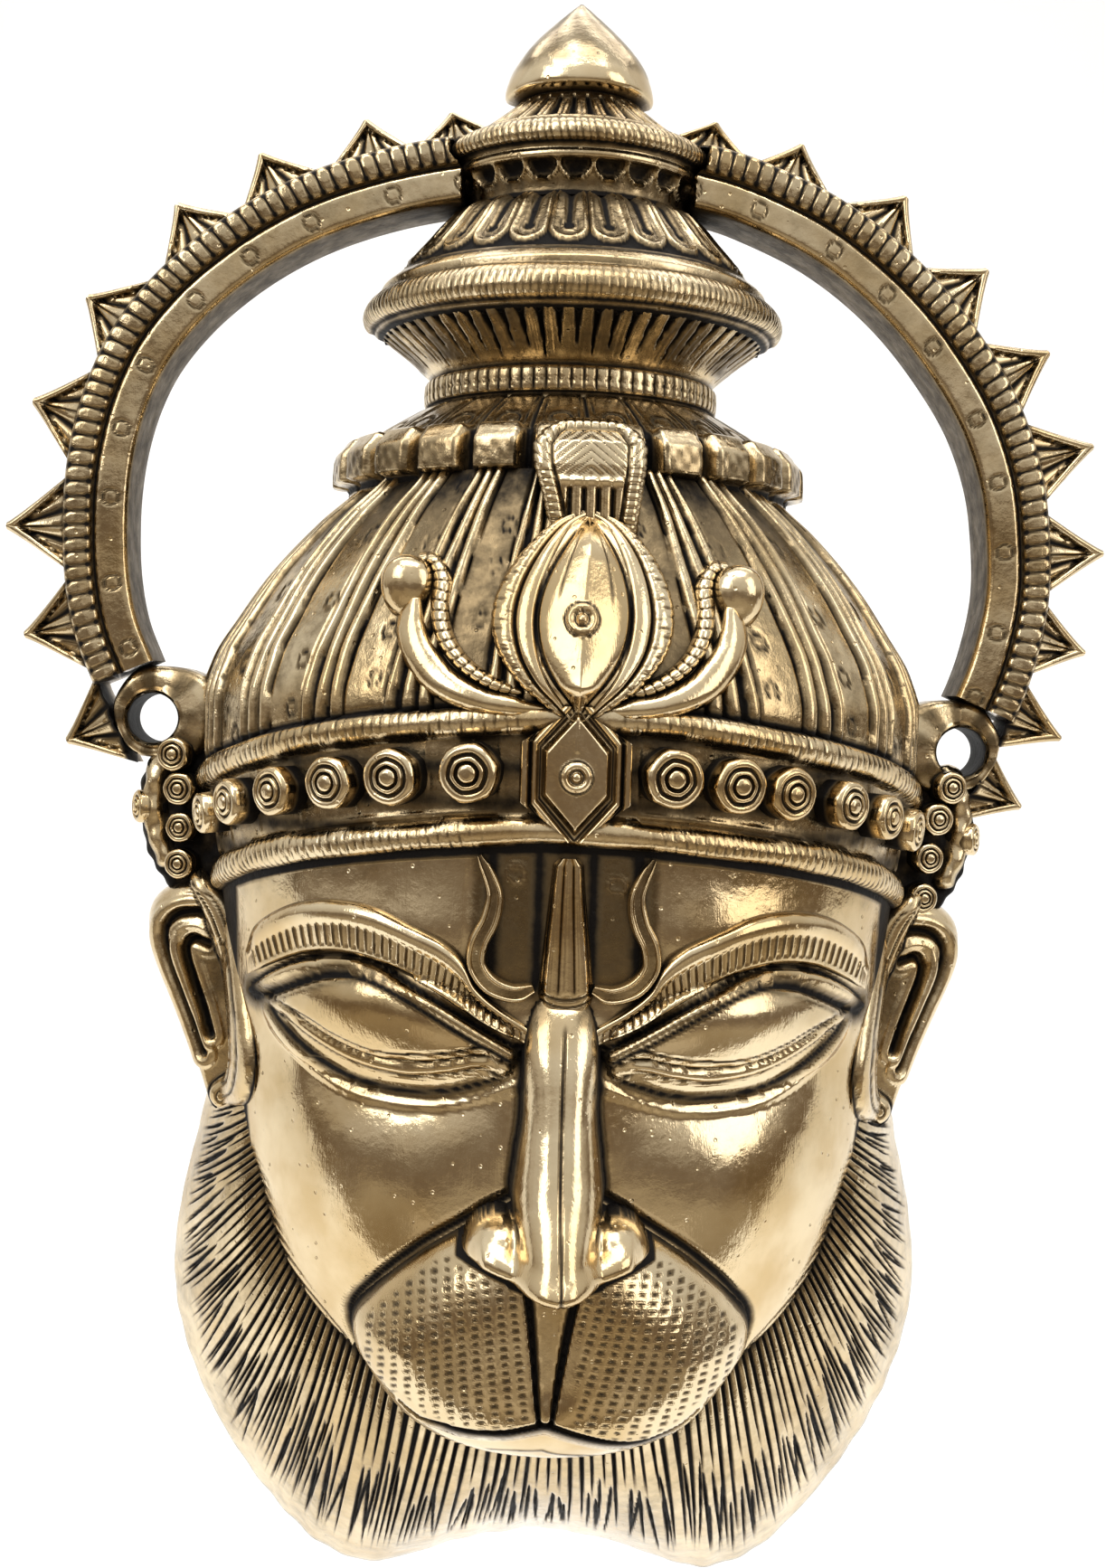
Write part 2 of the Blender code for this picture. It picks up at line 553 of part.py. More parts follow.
def build_arch():
    """The horseshoe arch: a plain band, a groove, a tick band and a zigzag of spikes, in one bar."""
    left_steps = 4 * (SPIKES_LEFT + 1)
    right_steps = 4 * (SPIKES_RIGHT + 1)
    half_tick = ARCH_TICK_BAND / 2
    inner = half_tick + ARCH_GROOVE + ARCH_PLAIN_BAND
    front = ARCH_THICKNESS
    rows = []
    fine = arch_path(2 * left_steps * right_steps)
    for i in range(left_steps + right_steps + 1):
        if i <= left_steps:
            place, wave = i * right_steps, i / 4
        else:
            place, wave = left_steps * right_steps + (i - left_steps) * left_steps, (i - left_steps) / 4
        point, out = fine[place]
        tip = SPIKE_LENGTH * (1.0 - abs(2.0 * (wave % 1.0) - 1.0))
        reach = half_tick + SPIKE_FOOT + tip
        section = (
            (-inner, -BACK_SPARE), (-inner, front), (-half_tick - ARCH_GROOVE, front),
            (-half_tick - ARCH_GROOVE / 2, front - ARCH_GROOVE_DEPTH), (-half_tick, front + ARCH_TICK_PROUD),
            (half_tick, front + ARCH_TICK_PROUD), (half_tick + ARCH_TICK_PROUD, front - ARCH_SHOULDER),
            (reach, SPIKE_EDGE_DEPTH - SPIKE_TIP_FALL * tip), (reach, -BACK_SPARE),
        )
        ring = []
        for offset, depth in section:
            spot = point + out * offset
            ring.append(Vector((spot.x, -depth, spot.y - MOUNT_LEVEL * TALL)) * MM)
        rows.append(ring)
    return add_rows("arch", rows)


def build_round(name, centre, radius, depths, sides, direction=Vector((0, -1, 0)), cutter=False):
    """A turned boss, stud or bore: radius shares at distances along a direction from a centre."""
    across = direction.cross(Vector((0, 0, 1)))
    across = across.normalized() if across.length > 1e-4 else Vector((1, 0, 0))
    up = across.cross(direction)
    rows = []
    for distance, share in depths:
        ring = []
        for i in range(sides):
            turn = 2 * math.pi * (i + 0.5) / sides
            spoke = across * math.cos(turn) + up * math.sin(turn)
            ring.append(centre + (direction * distance + spoke * radius * share) * MM)
        rows.append(ring)
    return add_rows(name, rows, cutter)


def band_point(angle, level):
    """A place on the headband at an angle round the head and a level between the ropes, with its normal."""
    x = math.sin(angle)
    half_width = spline(HEAD_SECTIONS, level, 1)
    z = level - bow(x, 1.0)
    x *= half_width
    return carved(x, head_depth(x, z), z), surface_normal(x, z)


def build_studs():
    """Six-sided studs in the headband and the small ones in front of the ears."""
    middle = 0.5 * (BAND_UPPER_ROPE + BAND_LOWER_ROPE) + STUD_LEVEL_LIFT
    for side in (-1, 1):
        for i in range(BUTTONS_A_SIDE):
            angle = math.radians(STUD_FIRST_TURN + STUD_TURN_STEP * i) * side
            spot, out = band_point(angle, middle)
            radius = BUTTON_RADIUS * (1.0 - STUD_SHRINK * i)
            build_round(f"stud_{side}_{i}", spot, radius, STUD_STEPS, 6, out)
        for i, (across, level) in enumerate(TEMPLE_STUDS):
            spot = carved(side * across, TEMPLE_STUD_DEPTH, level)
            build_round(f"ear_stud_{side}_{i}", spot, TEMPLE_STUD_RADIUS, TEMPLE_STUD_STEPS, 6)


def build_brim_blocks():
    """Square petals that stand round the front of the brim."""
    step = math.radians(BRIM_BLOCK_TURN)
    corners = (
        (-BRIM_BLOCK_SHARE, BRIM_BLOCK_LOW), (BRIM_BLOCK_SHARE, BRIM_BLOCK_LOW),
        (BRIM_BLOCK_SHARE, BRIM_BLOCK_HIGH), (-BRIM_BLOCK_SHARE, BRIM_BLOCK_HIGH),
    )
    for i in range(-BRIM_BLOCKS_A_SIDE, BRIM_BLOCKS_A_SIDE + 1):
        angle = math.radians(BRIM_BLOCK_OFFSET) + step * i
        rows = []
        for radius in BRIM_BLOCK_RADII:
            ring = []
            for share, level in corners:
                around = angle + share * step
                ring.append(carved(radius * math.sin(around), radius * math.cos(around), level))
            rows.append(ring)
        add_rows(f"brim_block_{i}", rows)


def build_ridge(name, path, half_widths, rise, sides=5, steps=10, seat=None):
    """A rounded ridge that follows the head's surface along a path of across, level points."""
    rows = []
    points = [Vector((x, z, 0.0)) for x, z in path]
    widths = [Vector((w, 0.0, 0.0)) for w in half_widths]
    for i in range(steps + 1):
        share = i / steps
        spot, width = along(points, share), along(widths, share).x
        nearby = along(points, min(share + 0.01, 1.0)) - along(points, max(share - 0.01, 0.0))
        across = Vector((-nearby.y, nearby.x)).normalized() if nearby.length > 1e-9 else Vector((1.0, 0.0))
        ring = []
        for k in range(sides):
            turn = math.pi * k / (sides - 1)
            x = spot.x + across.x * width * math.cos(turn)
            z = spot.y + across.y * width * math.cos(turn)
            base = head_depth(x, z) if seat is None else seat
            lift = rise * min(1.0, width / max(half_widths)) * math.sin(turn)
            ring.append(carved(x, base - RIDGE_SUNK + lift, z))
        for edge in (-1.0, 1.0):
            x, z = spot.x + across.x * width * edge, spot.y + across.y * width * edge
            base = head_depth(x, z) if seat is None else seat
            ring.append(carved(x, base - RIDGE_ROOT, z))
        rows.append(ring)
    return add_rows(name, rows)


def mirrored(path, side):
    """A path of across, level points on the chosen side."""
    return [(side * x, z) for x, z in path]


def build_face_ridges():
    """Eyebrows, lids and the forehead's mark."""
    for side in (-1, 1):
        build_ridge(f"brow_{side}", mirrored(BROW_PATH, side), BROW_HALF_WIDTHS, BROW_RISE, 5, 9)
        build_ridge(f"lid_{side}", mirrored(LID_PATH, side), LID_HALF_WIDTHS, LID_RISE, 3, 7)
        build_ridge(f"low_lid_{side}", mirrored(LOW_LID_PATH, side), LOW_LID_HALF_WIDTHS, LOW_LID_RISE, 3, 7)
        build_ridge(f"mark_arm_{side}", mirrored(MARK_ARM_PATH, side), MARK_ARM_HALF_WIDTHS, MARK_ARM_RISE, 4, 8)
    build_ridge("mark_stem", MARK_STEM_PATH, MARK_STEM_HALF_WIDTHS, MARK_STEM_RISE, 5, 6)


def build_crest():
    """Strap, medallion, side scrolls and jewel on the front of the dome and headband."""
    build_ridge("strap", STRAP_PATH, STRAP_HALF_WIDTHS, STRAP_RISE, 6, 6, STRAP_SEAT)
    build_ridge("medallion", MEDALLION_PATH, MEDALLION_HALF_WIDTHS, MEDALLION_RISE, 7, 9)
    build_ridge("leaf_boss", LEAF_BOSS_PATH, LEAF_BOSS_HALF_WIDTHS, LEAF_BOSS_RISE, 5, 8)
    build_ridge("jewel", JEWEL_PATH, JEWEL_HALF_WIDTHS, JEWEL_RISE, 6, 6)
    across, level = BULB_MIDDLE
    for side in (-1, 1):
        build_ridge(f"scroll_{side}", mirrored(SCROLL_PATH, side), SCROLL_HALF_WIDTHS, SCROLL_RISE, 4, 10)
        spot = carved(side * across, head_depth(side * across, level), level)
        build_round(f"bulb_{side}", spot, BULB_RADIUS, BULB_STEPS, 8, surface_normal(side * across, level))


def grown_rows(outline, middle, steps, side):
    """An outline at several depths, each grown about its middle, on the chosen side."""
    rows = []
    for depth, growth in steps:
        ring = []
        for x, z in outline:
            spot = Vector(middle) + (Vector((x, z)) - Vector(middle)) * growth
            ring.append(carved(side * spot.x, depth, spot.y))
        rows.append(ring)
    return rows


def build_ears():
    """Leaf-shaped ears with a hollow, and the plates that join them to the arch's lugs."""
    for side in (-1, 1):
        add_rows(f"ear_{side}", grown_rows(EAR_OUTLINE, EAR_MIDDLE, EAR_STEPS, side))
        hollow = grown_rows(EAR_HOLLOW, EAR_HOLLOW_MIDDLE, EAR_HOLLOW_STEPS, side)
        add_rows(f"ear_hollow_{side}", hollow, cutter=True)
        depths = (-BACK_SPARE, TEMPLE_PLATE_DEPTH)
        add_rows(f"plate_{side}", [[carved(side * x, depth, z) for x, z in TEMPLE_PLATE] for depth in depths])


def build_lugs():
    """Round lugs at the arch's feet, and the screw bores through them."""
    for side in (-1, 1):
        centre = carved(side * LUG_ACROSS, 0.0, LUG_LEVEL)
        lug_steps = (
            (-BACK_SPARE, 1.0), (ARCH_THICKNESS - LUG_CHAMFER, 1.0), (ARCH_THICKNESS, LUG_FRONT_SHARE),
        )
        bore_steps = ((-2 * BACK_SPARE, 1.0), (ARCH_THICKNESS + BORE_SPARE, 1.0))
        build_round(f"lug_{side}", centre, LUG_RADIUS, lug_steps, LUG_SIDES)
        build_round(f"bore_{side}", centre, SCREW_BORE / 2, bore_steps, LUG_SIDES, cutter=True)


def build_back_plane():
    """The slab that cuts the whole back flat."""
    reach = BACK_CUT_REACH
    ring = [(-reach, -reach), (reach, -reach), (reach, reach), (-reach, reach)]
    rows = [[Vector((x, y, z)) * MM for x, z in ring] for y in (0.0, 5 * BACK_SPARE)]
    return add_rows("back_plane", rows, cutter=True)


def brass():
    """The mask's one finish: polished brass."""
    finish = bpy.data.materials.new("brass")
    finish.use_nodes = True
    shader = finish.node_tree.nodes["Principled BSDF"]
    shader.inputs["Base Color"].default_value = FINISH_COLOUR
    shader.inputs["Metallic"].default_value = 1.0
    shader.inputs["Roughness"].default_value = FINISH_ROUGHNESS
    return finish


def cut(target, name, kind, group):
    """An exact Boolean of the target with every solid of a group."""
    step = target.modifiers.new(name, "BOOLEAN")
    step.operation = kind
    step.solver = "EXACT"
    step.operand_type = "COLLECTION"
    step.collection = bpy.data.collections[group]
    return step


def main():
    """Clears the scene and casts the mask."""
    for old in list(bpy.data.objects):
        bpy.data.objects.remove(old, do_unlink=True)
    for group in ("carving", "cutters"):
        made = bpy.data.collections.new(group)
        bpy.context.scene.collection.children.link(made)
    mask = build_head()
    bpy.data.collections["carving"].objects.unlink(mask)
    bpy.context.scene.collection.objects.link(mask)
    mask.name = "mask"
    mask.hide_render = False
    mask.display_type = "TEXTURED"
    build_crown()
    build_beard()
    build_arch()
    build_studs()
    build_brim_blocks()
    build_face_ridges()
    build_crest()
    build_ears()
    build_lugs()
    build_hollow()
    build_back_plane()
    cut(mask, "cast_in_one", "UNION", "carving")
    cut(mask, "hollow_and_bores", "DIFFERENCE", "cutters")
    mask.data.materials.append(brass())


main()
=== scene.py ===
"""A cast and chased brass wall mask: a crowned monkey face with a beard, inside an arch with spikes.

The mask is one casting. Here its skin is laid out in closed shells that meet in the chased grooves: the
turned crown, the ribbed dome, the headband, the face, the beard, the arch, the ears and the crest. Shapes are
given in carving units: millimetres across, out from the wall and up from the camera's level. They are placed
in metres.
"""

from __future__ import annotations

import logging
import math
from dataclasses import dataclass, field
from enum import Enum

import bpy
import numpy as np
from mathutils import Matrix, Vector


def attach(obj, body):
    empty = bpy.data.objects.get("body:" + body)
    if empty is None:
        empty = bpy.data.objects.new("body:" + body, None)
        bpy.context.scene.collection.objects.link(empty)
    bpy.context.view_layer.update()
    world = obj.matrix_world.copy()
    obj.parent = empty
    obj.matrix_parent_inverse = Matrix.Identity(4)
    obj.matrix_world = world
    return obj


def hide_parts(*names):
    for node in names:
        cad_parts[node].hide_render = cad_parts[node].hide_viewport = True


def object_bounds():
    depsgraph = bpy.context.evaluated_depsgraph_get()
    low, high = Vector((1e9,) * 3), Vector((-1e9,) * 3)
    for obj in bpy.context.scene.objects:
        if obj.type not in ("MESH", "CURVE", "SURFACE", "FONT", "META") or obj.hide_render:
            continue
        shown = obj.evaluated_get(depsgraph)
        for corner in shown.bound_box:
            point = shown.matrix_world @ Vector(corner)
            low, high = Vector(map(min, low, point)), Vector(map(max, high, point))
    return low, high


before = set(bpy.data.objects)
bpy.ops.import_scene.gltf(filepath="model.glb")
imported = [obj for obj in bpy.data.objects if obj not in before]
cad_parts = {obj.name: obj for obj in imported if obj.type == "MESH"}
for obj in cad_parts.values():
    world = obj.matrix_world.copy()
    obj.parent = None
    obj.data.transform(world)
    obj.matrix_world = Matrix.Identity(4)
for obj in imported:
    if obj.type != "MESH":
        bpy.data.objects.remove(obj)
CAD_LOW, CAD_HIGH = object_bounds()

LOG = logging.getLogger("mask")

DRAWN_HEIGHT = 307.12
MOUNT_LEVEL = 104.0
UNIT = (CAD_HIGH.z - CAD_LOW.z) / DRAWN_HEIGHT
DARKENING_ATTRIBUTE = "dark_patina_and_shade"
RING_RADIUS = 1.25
LINING_SPARE = 0.9
HIDDEN_SPARE = 1.2

Grid = np.ndarray


# Shapes of lines and surfaces


class Table:
    """A smooth curve through rows of numbers, keyed by their first column, that never overshoots."""

    def __init__(self, rows: tuple[tuple[float, ...], ...]) -> None:
        """Sorts the rows by key and works out a tame slope at each.

        Args:
            rows: The key and then one or more values, in any order.
        """
        table = np.array(sorted(rows), float)
        self.keys, self.values = table[:, 0], table[:, 1:]
        chords = np.diff(self.values, axis=0) / np.diff(self.keys)[:, None]
        slopes = np.zeros_like(self.values)
        slopes[0], slopes[-1] = chords[0], chords[-1]
        left, right = chords[:-1], chords[1:]
        same_way = left * right > 0
        total = np.where(same_way, left + right, 1.0)
        slopes[1:-1] = np.where(same_way, 2 * left * right / total, 0.0)
        self.slopes = slopes

    def at(self, key: Grid | float, column: int = 0) -> Grid:
        """Value of a column at the keys.

        Args:
            key: Where to read the curve; beyond its ends it keeps the end value.
            column: Which value of the row.

        Returns:
            The values, shaped as the keys.
        """
        key = np.clip(np.asarray(key, float), self.keys[0], self.keys[-1])
        low = np.clip(np.searchsorted(self.keys, key, side="right") - 1, 0, len(self.keys) - 2)
        span = self.keys[low + 1] - self.keys[low]
        t = (key - self.keys[low]) / span
        before, after = self.values[low, column], self.values[low + 1, column]
        rise, fall = self.slopes[low, column] * span, self.slopes[low + 1, column] * span
        return (
            before * (2 * t**3 - 3 * t**2 + 1) + rise * (t**3 - 2 * t**2 + t)
            + after * (3 * t**2 - 2 * t**3) + fall * (t**3 - t**2)
        )


def smooth_line(points: tuple[tuple[float, ...], ...] | Grid, count: int) -> Grid:
    """Points on a smooth curve through the given ones.

    Args:
        points: What the curve passes through.
        count: How many points to return, evenly shared between the given ones.

    Returns:
        An array of count rows.
    """
    knots = np.array(points, float)
    padded = np.vstack([2 * knots[0] - knots[1], knots, 2 * knots[-1] - knots[-2]])
    reach = np.linspace(0, len(knots) - 1, count)
    index = np.minimum(reach.astype(int), len(knots) - 2)
    t = (reach - index)[:, None]
    p0, p1, p2, p3 = (padded[index + k] for k in range(4))
    return 0.5 * (2 * p1 + (p2 - p0) * t + (2 * p0 - 5 * p1 + 4 * p2 - p3) * t**2
                  + (3 * p1 - p0 - 3 * p2 + p3) * t**3)


def even_line(points: tuple[tuple[float, ...], ...] | Grid, count: int) -> Grid:
    """Points evenly spaced by length on a smooth curve through the given ones."""
    fine = smooth_line(points, 24 * len(points))
    reach = np.concatenate([[0.0], np.cumsum(np.linalg.norm(np.diff(fine, axis=0), axis=1))])
    places = np.linspace(0, reach[-1], count)
    return np.stack([np.interp(places, reach, fine[:, k]) for k in range(fine.shape[1])], axis=1)


def hill(value: Grid, half_width: float, power: float = 2.0) -> Grid:
    """A rounded bump, one at the middle and nought at its half width."""
    return np.sqrt(np.clip(1.0 - np.abs(value / half_width) ** power, 0.0, 1.0))


def notch(value: Grid, half_width: float, power: float = 1.4) -> Grid:
    """The share of a cut's depth at a distance from its middle: one there and nought at its half width."""
    return np.clip(1.0 - np.abs(value) / half_width, 0.0, 1.0) ** power


def bell(x: Grid, z: Grid, across: float, up: float) -> Grid:
    """A soft bump with no edge."""
    return np.exp(-((x / across) ** 2) - (z / up) ** 2)


def ease(value: Grid, low: float, high: float) -> Grid:
    """Nought at low, one at high, and smooth between."""
    share = np.clip((value - low) / (high - low), 0.0, 1.0)
    return share * share * (3 - 2 * share)


def sparse(count: int, few: int) -> Grid:
    """Numbers of a few rows or columns, evenly spread over all of them."""
    return np.linspace(0, count - 1, few).astype(int)


def rounded(place: Grid, power: int) -> Grid:
    """A ridge's section: one on its middle line and nought at its sides, where the place is one."""
    return np.sqrt(np.clip(1 - np.abs(place) ** power, 0, 1))


def wave(value: Grid) -> Grid:
    """How far a value is from the nearest whole number, with its sign, between a half either way."""
    return value - np.round(value)


class Route:
    """A drawn line on the carving, across and up, that a ridge or a cut follows."""

    def __init__(self, points: tuple[tuple[float, float], ...], count: int = 48) -> None:
        """Makes the line smooth.

        Args:
            points: Places that it passes through.
            count: How many straight steps it is measured with.
        """
        self.line = even_line(points, count)
        steps = np.linalg.norm(np.diff(self.line, axis=0), axis=1)
        self.reach = np.concatenate([[0.0], np.cumsum(steps)])
        self.length = float(self.reach[-1])

    def measure(self, x: Grid, z: Grid, margin: float = 8.0) -> tuple[Grid, Grid, Grid]:
        """Distances of places from the line.

        Args:
            x: Places across.
            z: Their levels.
            margin: How far from the line it matters.

        Returns:
            Distance, share of the length, and side, one on the left hand and minus one on the right.
        """
        best = np.full(x.shape, 99.0)
        share, side = np.zeros(x.shape), np.ones(x.shape)
        low, high = self.line.min(axis=0) - margin, self.line.max(axis=0) + margin
        near = (x > low[0]) & (x < high[0]) & (z > low[1]) & (z < high[1])
        px, pz = x[near], z[near]
        got, at, hand = np.full(px.shape, 99.0), np.zeros(px.shape), np.ones(px.shape)
        for k in range(len(self.line) - 1):
            (ax, az), (bx, bz) = self.line[k], self.line[k + 1]
            dx, dz = bx - ax, bz - az
            length = max(dx * dx + dz * dz, 1e-12)
            t = np.clip(((px - ax) * dx + (pz - az) * dz) / length, 0.0, 1.0)
            ox, oz = px - ax - t * dx, pz - az - t * dz
            distance = np.hypot(ox, oz)
            closer = distance < got
            got = np.where(closer, distance, got)
            at = np.where(closer, (self.reach[k] + t * math.sqrt(length)) / self.length, at)
            hand = np.where(closer, np.sign(dx * oz - dz * ox), hand)
        best[near], share[near], side[near] = got, at, hand
        return best, share, side


class Skin:
    """A sheet of the casting's skin: rows of points from its top down, each row from left to right."""

    def __init__(self, across: Grid, out: Grid, up: Grid) -> None:
        """Takes the plain form, before any chasing.

        Args:
            across: Distance to the right, rows by columns.
            out: Distance out of the wall.
            up: Level.
        """
        self.points = np.stack([across, -out, up], axis=2)
        self.patina_and_shade = np.zeros(across.shape)

    def outward(self) -> Grid:
        """Unit direction that the sheet faces at each point."""
        down = np.gradient(self.points, axis=0)
        right = np.gradient(self.points, axis=1)
        facing = np.cross(down, right)
        return facing / np.maximum(np.linalg.norm(facing, axis=2, keepdims=True), 1e-9)

    def chase(self, rise: Grid, patina_and_shade: Grid | None = None) -> "Skin":
        """Lifts the sheet along its own direction and darkens it.

        Args:
            rise: How far, in carving units.
            patina_and_shade: Share of dark patina and painted shade, kept where it is the greater.

        Returns:
            This sheet.
        """
        self.points = self.points + self.outward() * rise[:, :, None]
        if patina_and_shade is not None:
            self.patina_and_shade = np.maximum(self.patina_and_shade, np.clip(patina_and_shade, 0.0, 1.0))
        return self


# Finishes


@dataclass(frozen=True)
class Brass:
    """Polished cast brass with dark patina in its recesses, darkened also by the painted shade that some
    pieces carry.
    """

    name: str = "polished_brass"
    pale: tuple[float, float, float] = (0.78, 0.635, 0.41)
    deep: tuple[float, float, float] = (0.60, 0.44, 0.23)
    dark_patina_and_shade: tuple[float, float, float] = (0.011, 0.0095, 0.009)
    gloss_fine: float = 0.10
    gloss_worn: float = 0.26
    pits: float = 0.5
    dirt: float = 0.35
    reach: float = 0.0035

    def make(self) -> bpy.types.Material:
        """Builds the finish.

        Returns:
            A node material on Object coordinates and the attribute of dark patina and painted shade.
        """
        made = bpy.data.materials.new(self.name)
        made.use_nodes = True
        tree = made.node_tree
        shader = tree.nodes["Principled BSDF"]
        place = tree.nodes.new("ShaderNodeTexCoord").outputs["Object"]
        tone = self.noise(tree, place, 42.0, 4.0, 0.55)
        grain = self.noise(tree, place, 900.0, 3.0, 0.6)
        blotch = self.noise(tree, place, 260.0, 5.0, 0.62)
        brushed = self.noise(tree, self.stretched(tree, place, (3200.0, 3200.0, 260.0)), 1.0, 2.0, 0.5)
        patina_and_shade = self.patina_and_shade(tree, blotch)
        metal = self.blend(tree, self.ramp(tree, tone, 0.36, 0.66), self.pale, self.deep)
        aged = self.blend(tree, self.ramp(tree, patina_and_shade, 0.05, 0.42), metal, (0.24, 0.175, 0.095))
        colour = self.blend(tree, self.ramp(tree, patina_and_shade, 0.34, 0.86), aged, self.dark_patina_and_shade)
        tree.links.new(colour, shader.inputs["Base Color"])
        worn = self.mixed(tree, self.ramp(tree, grain, 0.35, 0.75), self.gloss_fine, self.gloss_worn)
        tree.links.new(self.mixed(tree, self.ramp(tree, patina_and_shade, 0.25, 0.8), worn, 0.62),
                       shader.inputs["Roughness"])
        tree.links.new(self.mixed(tree, self.ramp(tree, patina_and_shade, 0.45, 0.95), 1.0, 0.35),
                       shader.inputs["Metallic"])
        tree.links.new(self.relief(tree, place, brushed, blotch, patina_and_shade), shader.inputs["Normal"])
        shader.inputs["Specular IOR Level"].default_value = 0.12
        return made

    def patina_and_shade(self, tree: bpy.types.NodeTree, blotch: bpy.types.NodeSocket) -> bpy.types.NodeSocket:
        """Dark patina and painted shade: what the chasing holds, the painted shade that pieces carry, and
        what hollows hold, all broken up.
        """
        held = tree.nodes.new("ShaderNodeAttribute")
        held.attribute_name = DARKENING_ATTRIBUTE
        hollow = tree.nodes.new("ShaderNodeAmbientOcclusion")
        hollow.samples = 6
        hollow.inputs["Distance"].default_value = self.reach
        shaded = self.ramp(tree, self.math(tree, "SUBTRACT", 1.0, hollow.outputs["AO"]), 0.28, 0.92)
        both = self.math(tree, "MAXIMUM", held.outputs["Fac"], self.math(tree, "MULTIPLY", shaded, 0.85))
        broken = self.math(tree, "MULTIPLY", self.math(tree, "SUBTRACT", blotch, 0.5), 0.9)
        dirty = self.math(tree, "ADD", both, self.math(tree, "MULTIPLY", broken, self.dirt + 0.2))
        return self.math(tree, "ADD", dirty, 0.14 * self.dirt)

    def relief(self, tree: bpy.types.NodeTree, place: bpy.types.NodeSocket, brushed: bpy.types.NodeSocket,
               blotch: bpy.types.NodeSocket, patina_and_shade: bpy.types.NodeSocket) -> bpy.types.NodeSocket:
        """Small casting pits, brush lines and a slight waviness, rougher where the patina and the painted
        shade lie.
        """
        cells = tree.nodes.new("ShaderNodeTexVoronoi")
        cells.inputs["Scale"].default_value = 620.0
        tree.links.new(place, cells.inputs["Vector"])
        picked = tree.nodes.new("ShaderNodeSeparateColor")
        tree.links.new(cells.outputs["Color"], picked.inputs["Color"])
        pit = self.math(tree, "SUBTRACT", 1.0, self.ramp(tree, cells.outputs["Distance"], 0.10, 0.26))
        some = self.ramp(tree, picked.outputs["Red"], 0.86, 0.88)
        pits = self.math(tree, "MULTIPLY", self.math(tree, "MULTIPLY", pit, some), -self.pits)
        rough = self.math(tree, "MULTIPLY", blotch, self.mixed(tree, patina_and_shade, 0.10, 1.1))
        lines = self.math(tree, "MULTIPLY", brushed, 0.05)
        swell = self.math(tree, "MULTIPLY", self.noise(tree, place, 75.0, 2.0, 0.5), 1.1)
        height = self.math(tree, "ADD", self.math(tree, "ADD", pits, rough),
                           self.math(tree, "ADD", lines, swell))
        bump = tree.nodes.new("ShaderNodeBump")
        bump.inputs["Strength"].default_value = 0.55
        bump.inputs["Distance"].default_value = 0.0006
        tree.links.new(height, bump.inputs["Height"])
        return bump.outputs["Normal"]

    @staticmethod
    def noise(tree: bpy.types.NodeTree, place: bpy.types.NodeSocket, scale: float, detail: float,
              roughness: float) -> bpy.types.NodeSocket:
        """Cloudy noise of a scale."""
        node = tree.nodes.new("ShaderNodeTexNoise")
        node.inputs["Scale"].default_value = scale
        node.inputs["Detail"].default_value = detail
        node.inputs["Roughness"].default_value = roughness
        tree.links.new(place, node.inputs["Vector"])
        return node.outputs["Fac"]

    @staticmethod
    def stretched(tree: bpy.types.NodeTree, place: bpy.types.NodeSocket,
                  scale: tuple[float, float, float]) -> bpy.types.NodeSocket:
        """Object coordinates stretched so that a noise on them runs in lines."""
        node = tree.nodes.new("ShaderNodeMapping")
        node.inputs["Scale"].default_value = scale
        tree.links.new(place, node.inputs["Vector"])
        return node.outputs["Vector"]

    @staticmethod
    def ramp(tree: bpy.types.NodeTree, value: bpy.types.NodeSocket, low: float,
             high: float) -> bpy.types.NodeSocket:
        """Nought below low, one above high, and smooth between."""
        node = tree.nodes.new("ShaderNodeMapRange")
        node.interpolation_type = "SMOOTHSTEP"
        node.inputs["From Min"].default_value = low
        node.inputs["From Max"].default_value = high
        tree.links.new(value, node.inputs["Value"])
        return node.outputs["Result"]

    @staticmethod
    def math(tree: bpy.types.NodeTree, kind: str, first: bpy.types.NodeSocket | float,
             second: bpy.types.NodeSocket | float) -> bpy.types.NodeSocket:
        """One sum on two values."""
        node = tree.nodes.new("ShaderNodeMath")
        node.operation = kind
        for socket, value in zip(node.inputs, (first, second)):
            if isinstance(value, bpy.types.NodeSocket):
                tree.links.new(value, socket)
            else:
                socket.default_value = value
        return node.outputs["Value"]

    @staticmethod
    def mixed(tree: bpy.types.NodeTree, share: bpy.types.NodeSocket, first: bpy.types.NodeSocket | float,
              second: bpy.types.NodeSocket | float) -> bpy.types.NodeSocket:
        """A number between two, by a share."""
        node = tree.nodes.new("ShaderNodeMix")
        for socket, value in zip((node.inputs[0], node.inputs[2], node.inputs[3]), (share, first, second)):
            if isinstance(value, bpy.types.NodeSocket):
                tree.links.new(value, socket)
            else:
                socket.default_value = value
        return node.outputs[0]

    @staticmethod
    def blend(tree: bpy.types.NodeTree, share: bpy.types.NodeSocket,
              first: bpy.types.NodeSocket | tuple[float, float, float],
              second: bpy.types.NodeSocket | tuple[float, float, float]) -> bpy.types.NodeSocket:
        """A colour between two, by a share."""
        node = tree.nodes.new("ShaderNodeMix")
        node.data_type = "RGBA"
        tree.links.new(share, node.inputs[0])
        for socket, value in zip((node.inputs[6], node.inputs[7]), (first, second)):
            if isinstance(value, bpy.types.NodeSocket):
                tree.links.new(value, socket)
            else:
                socket.default_value = (*value, 1.0)
        return node.outputs[2]


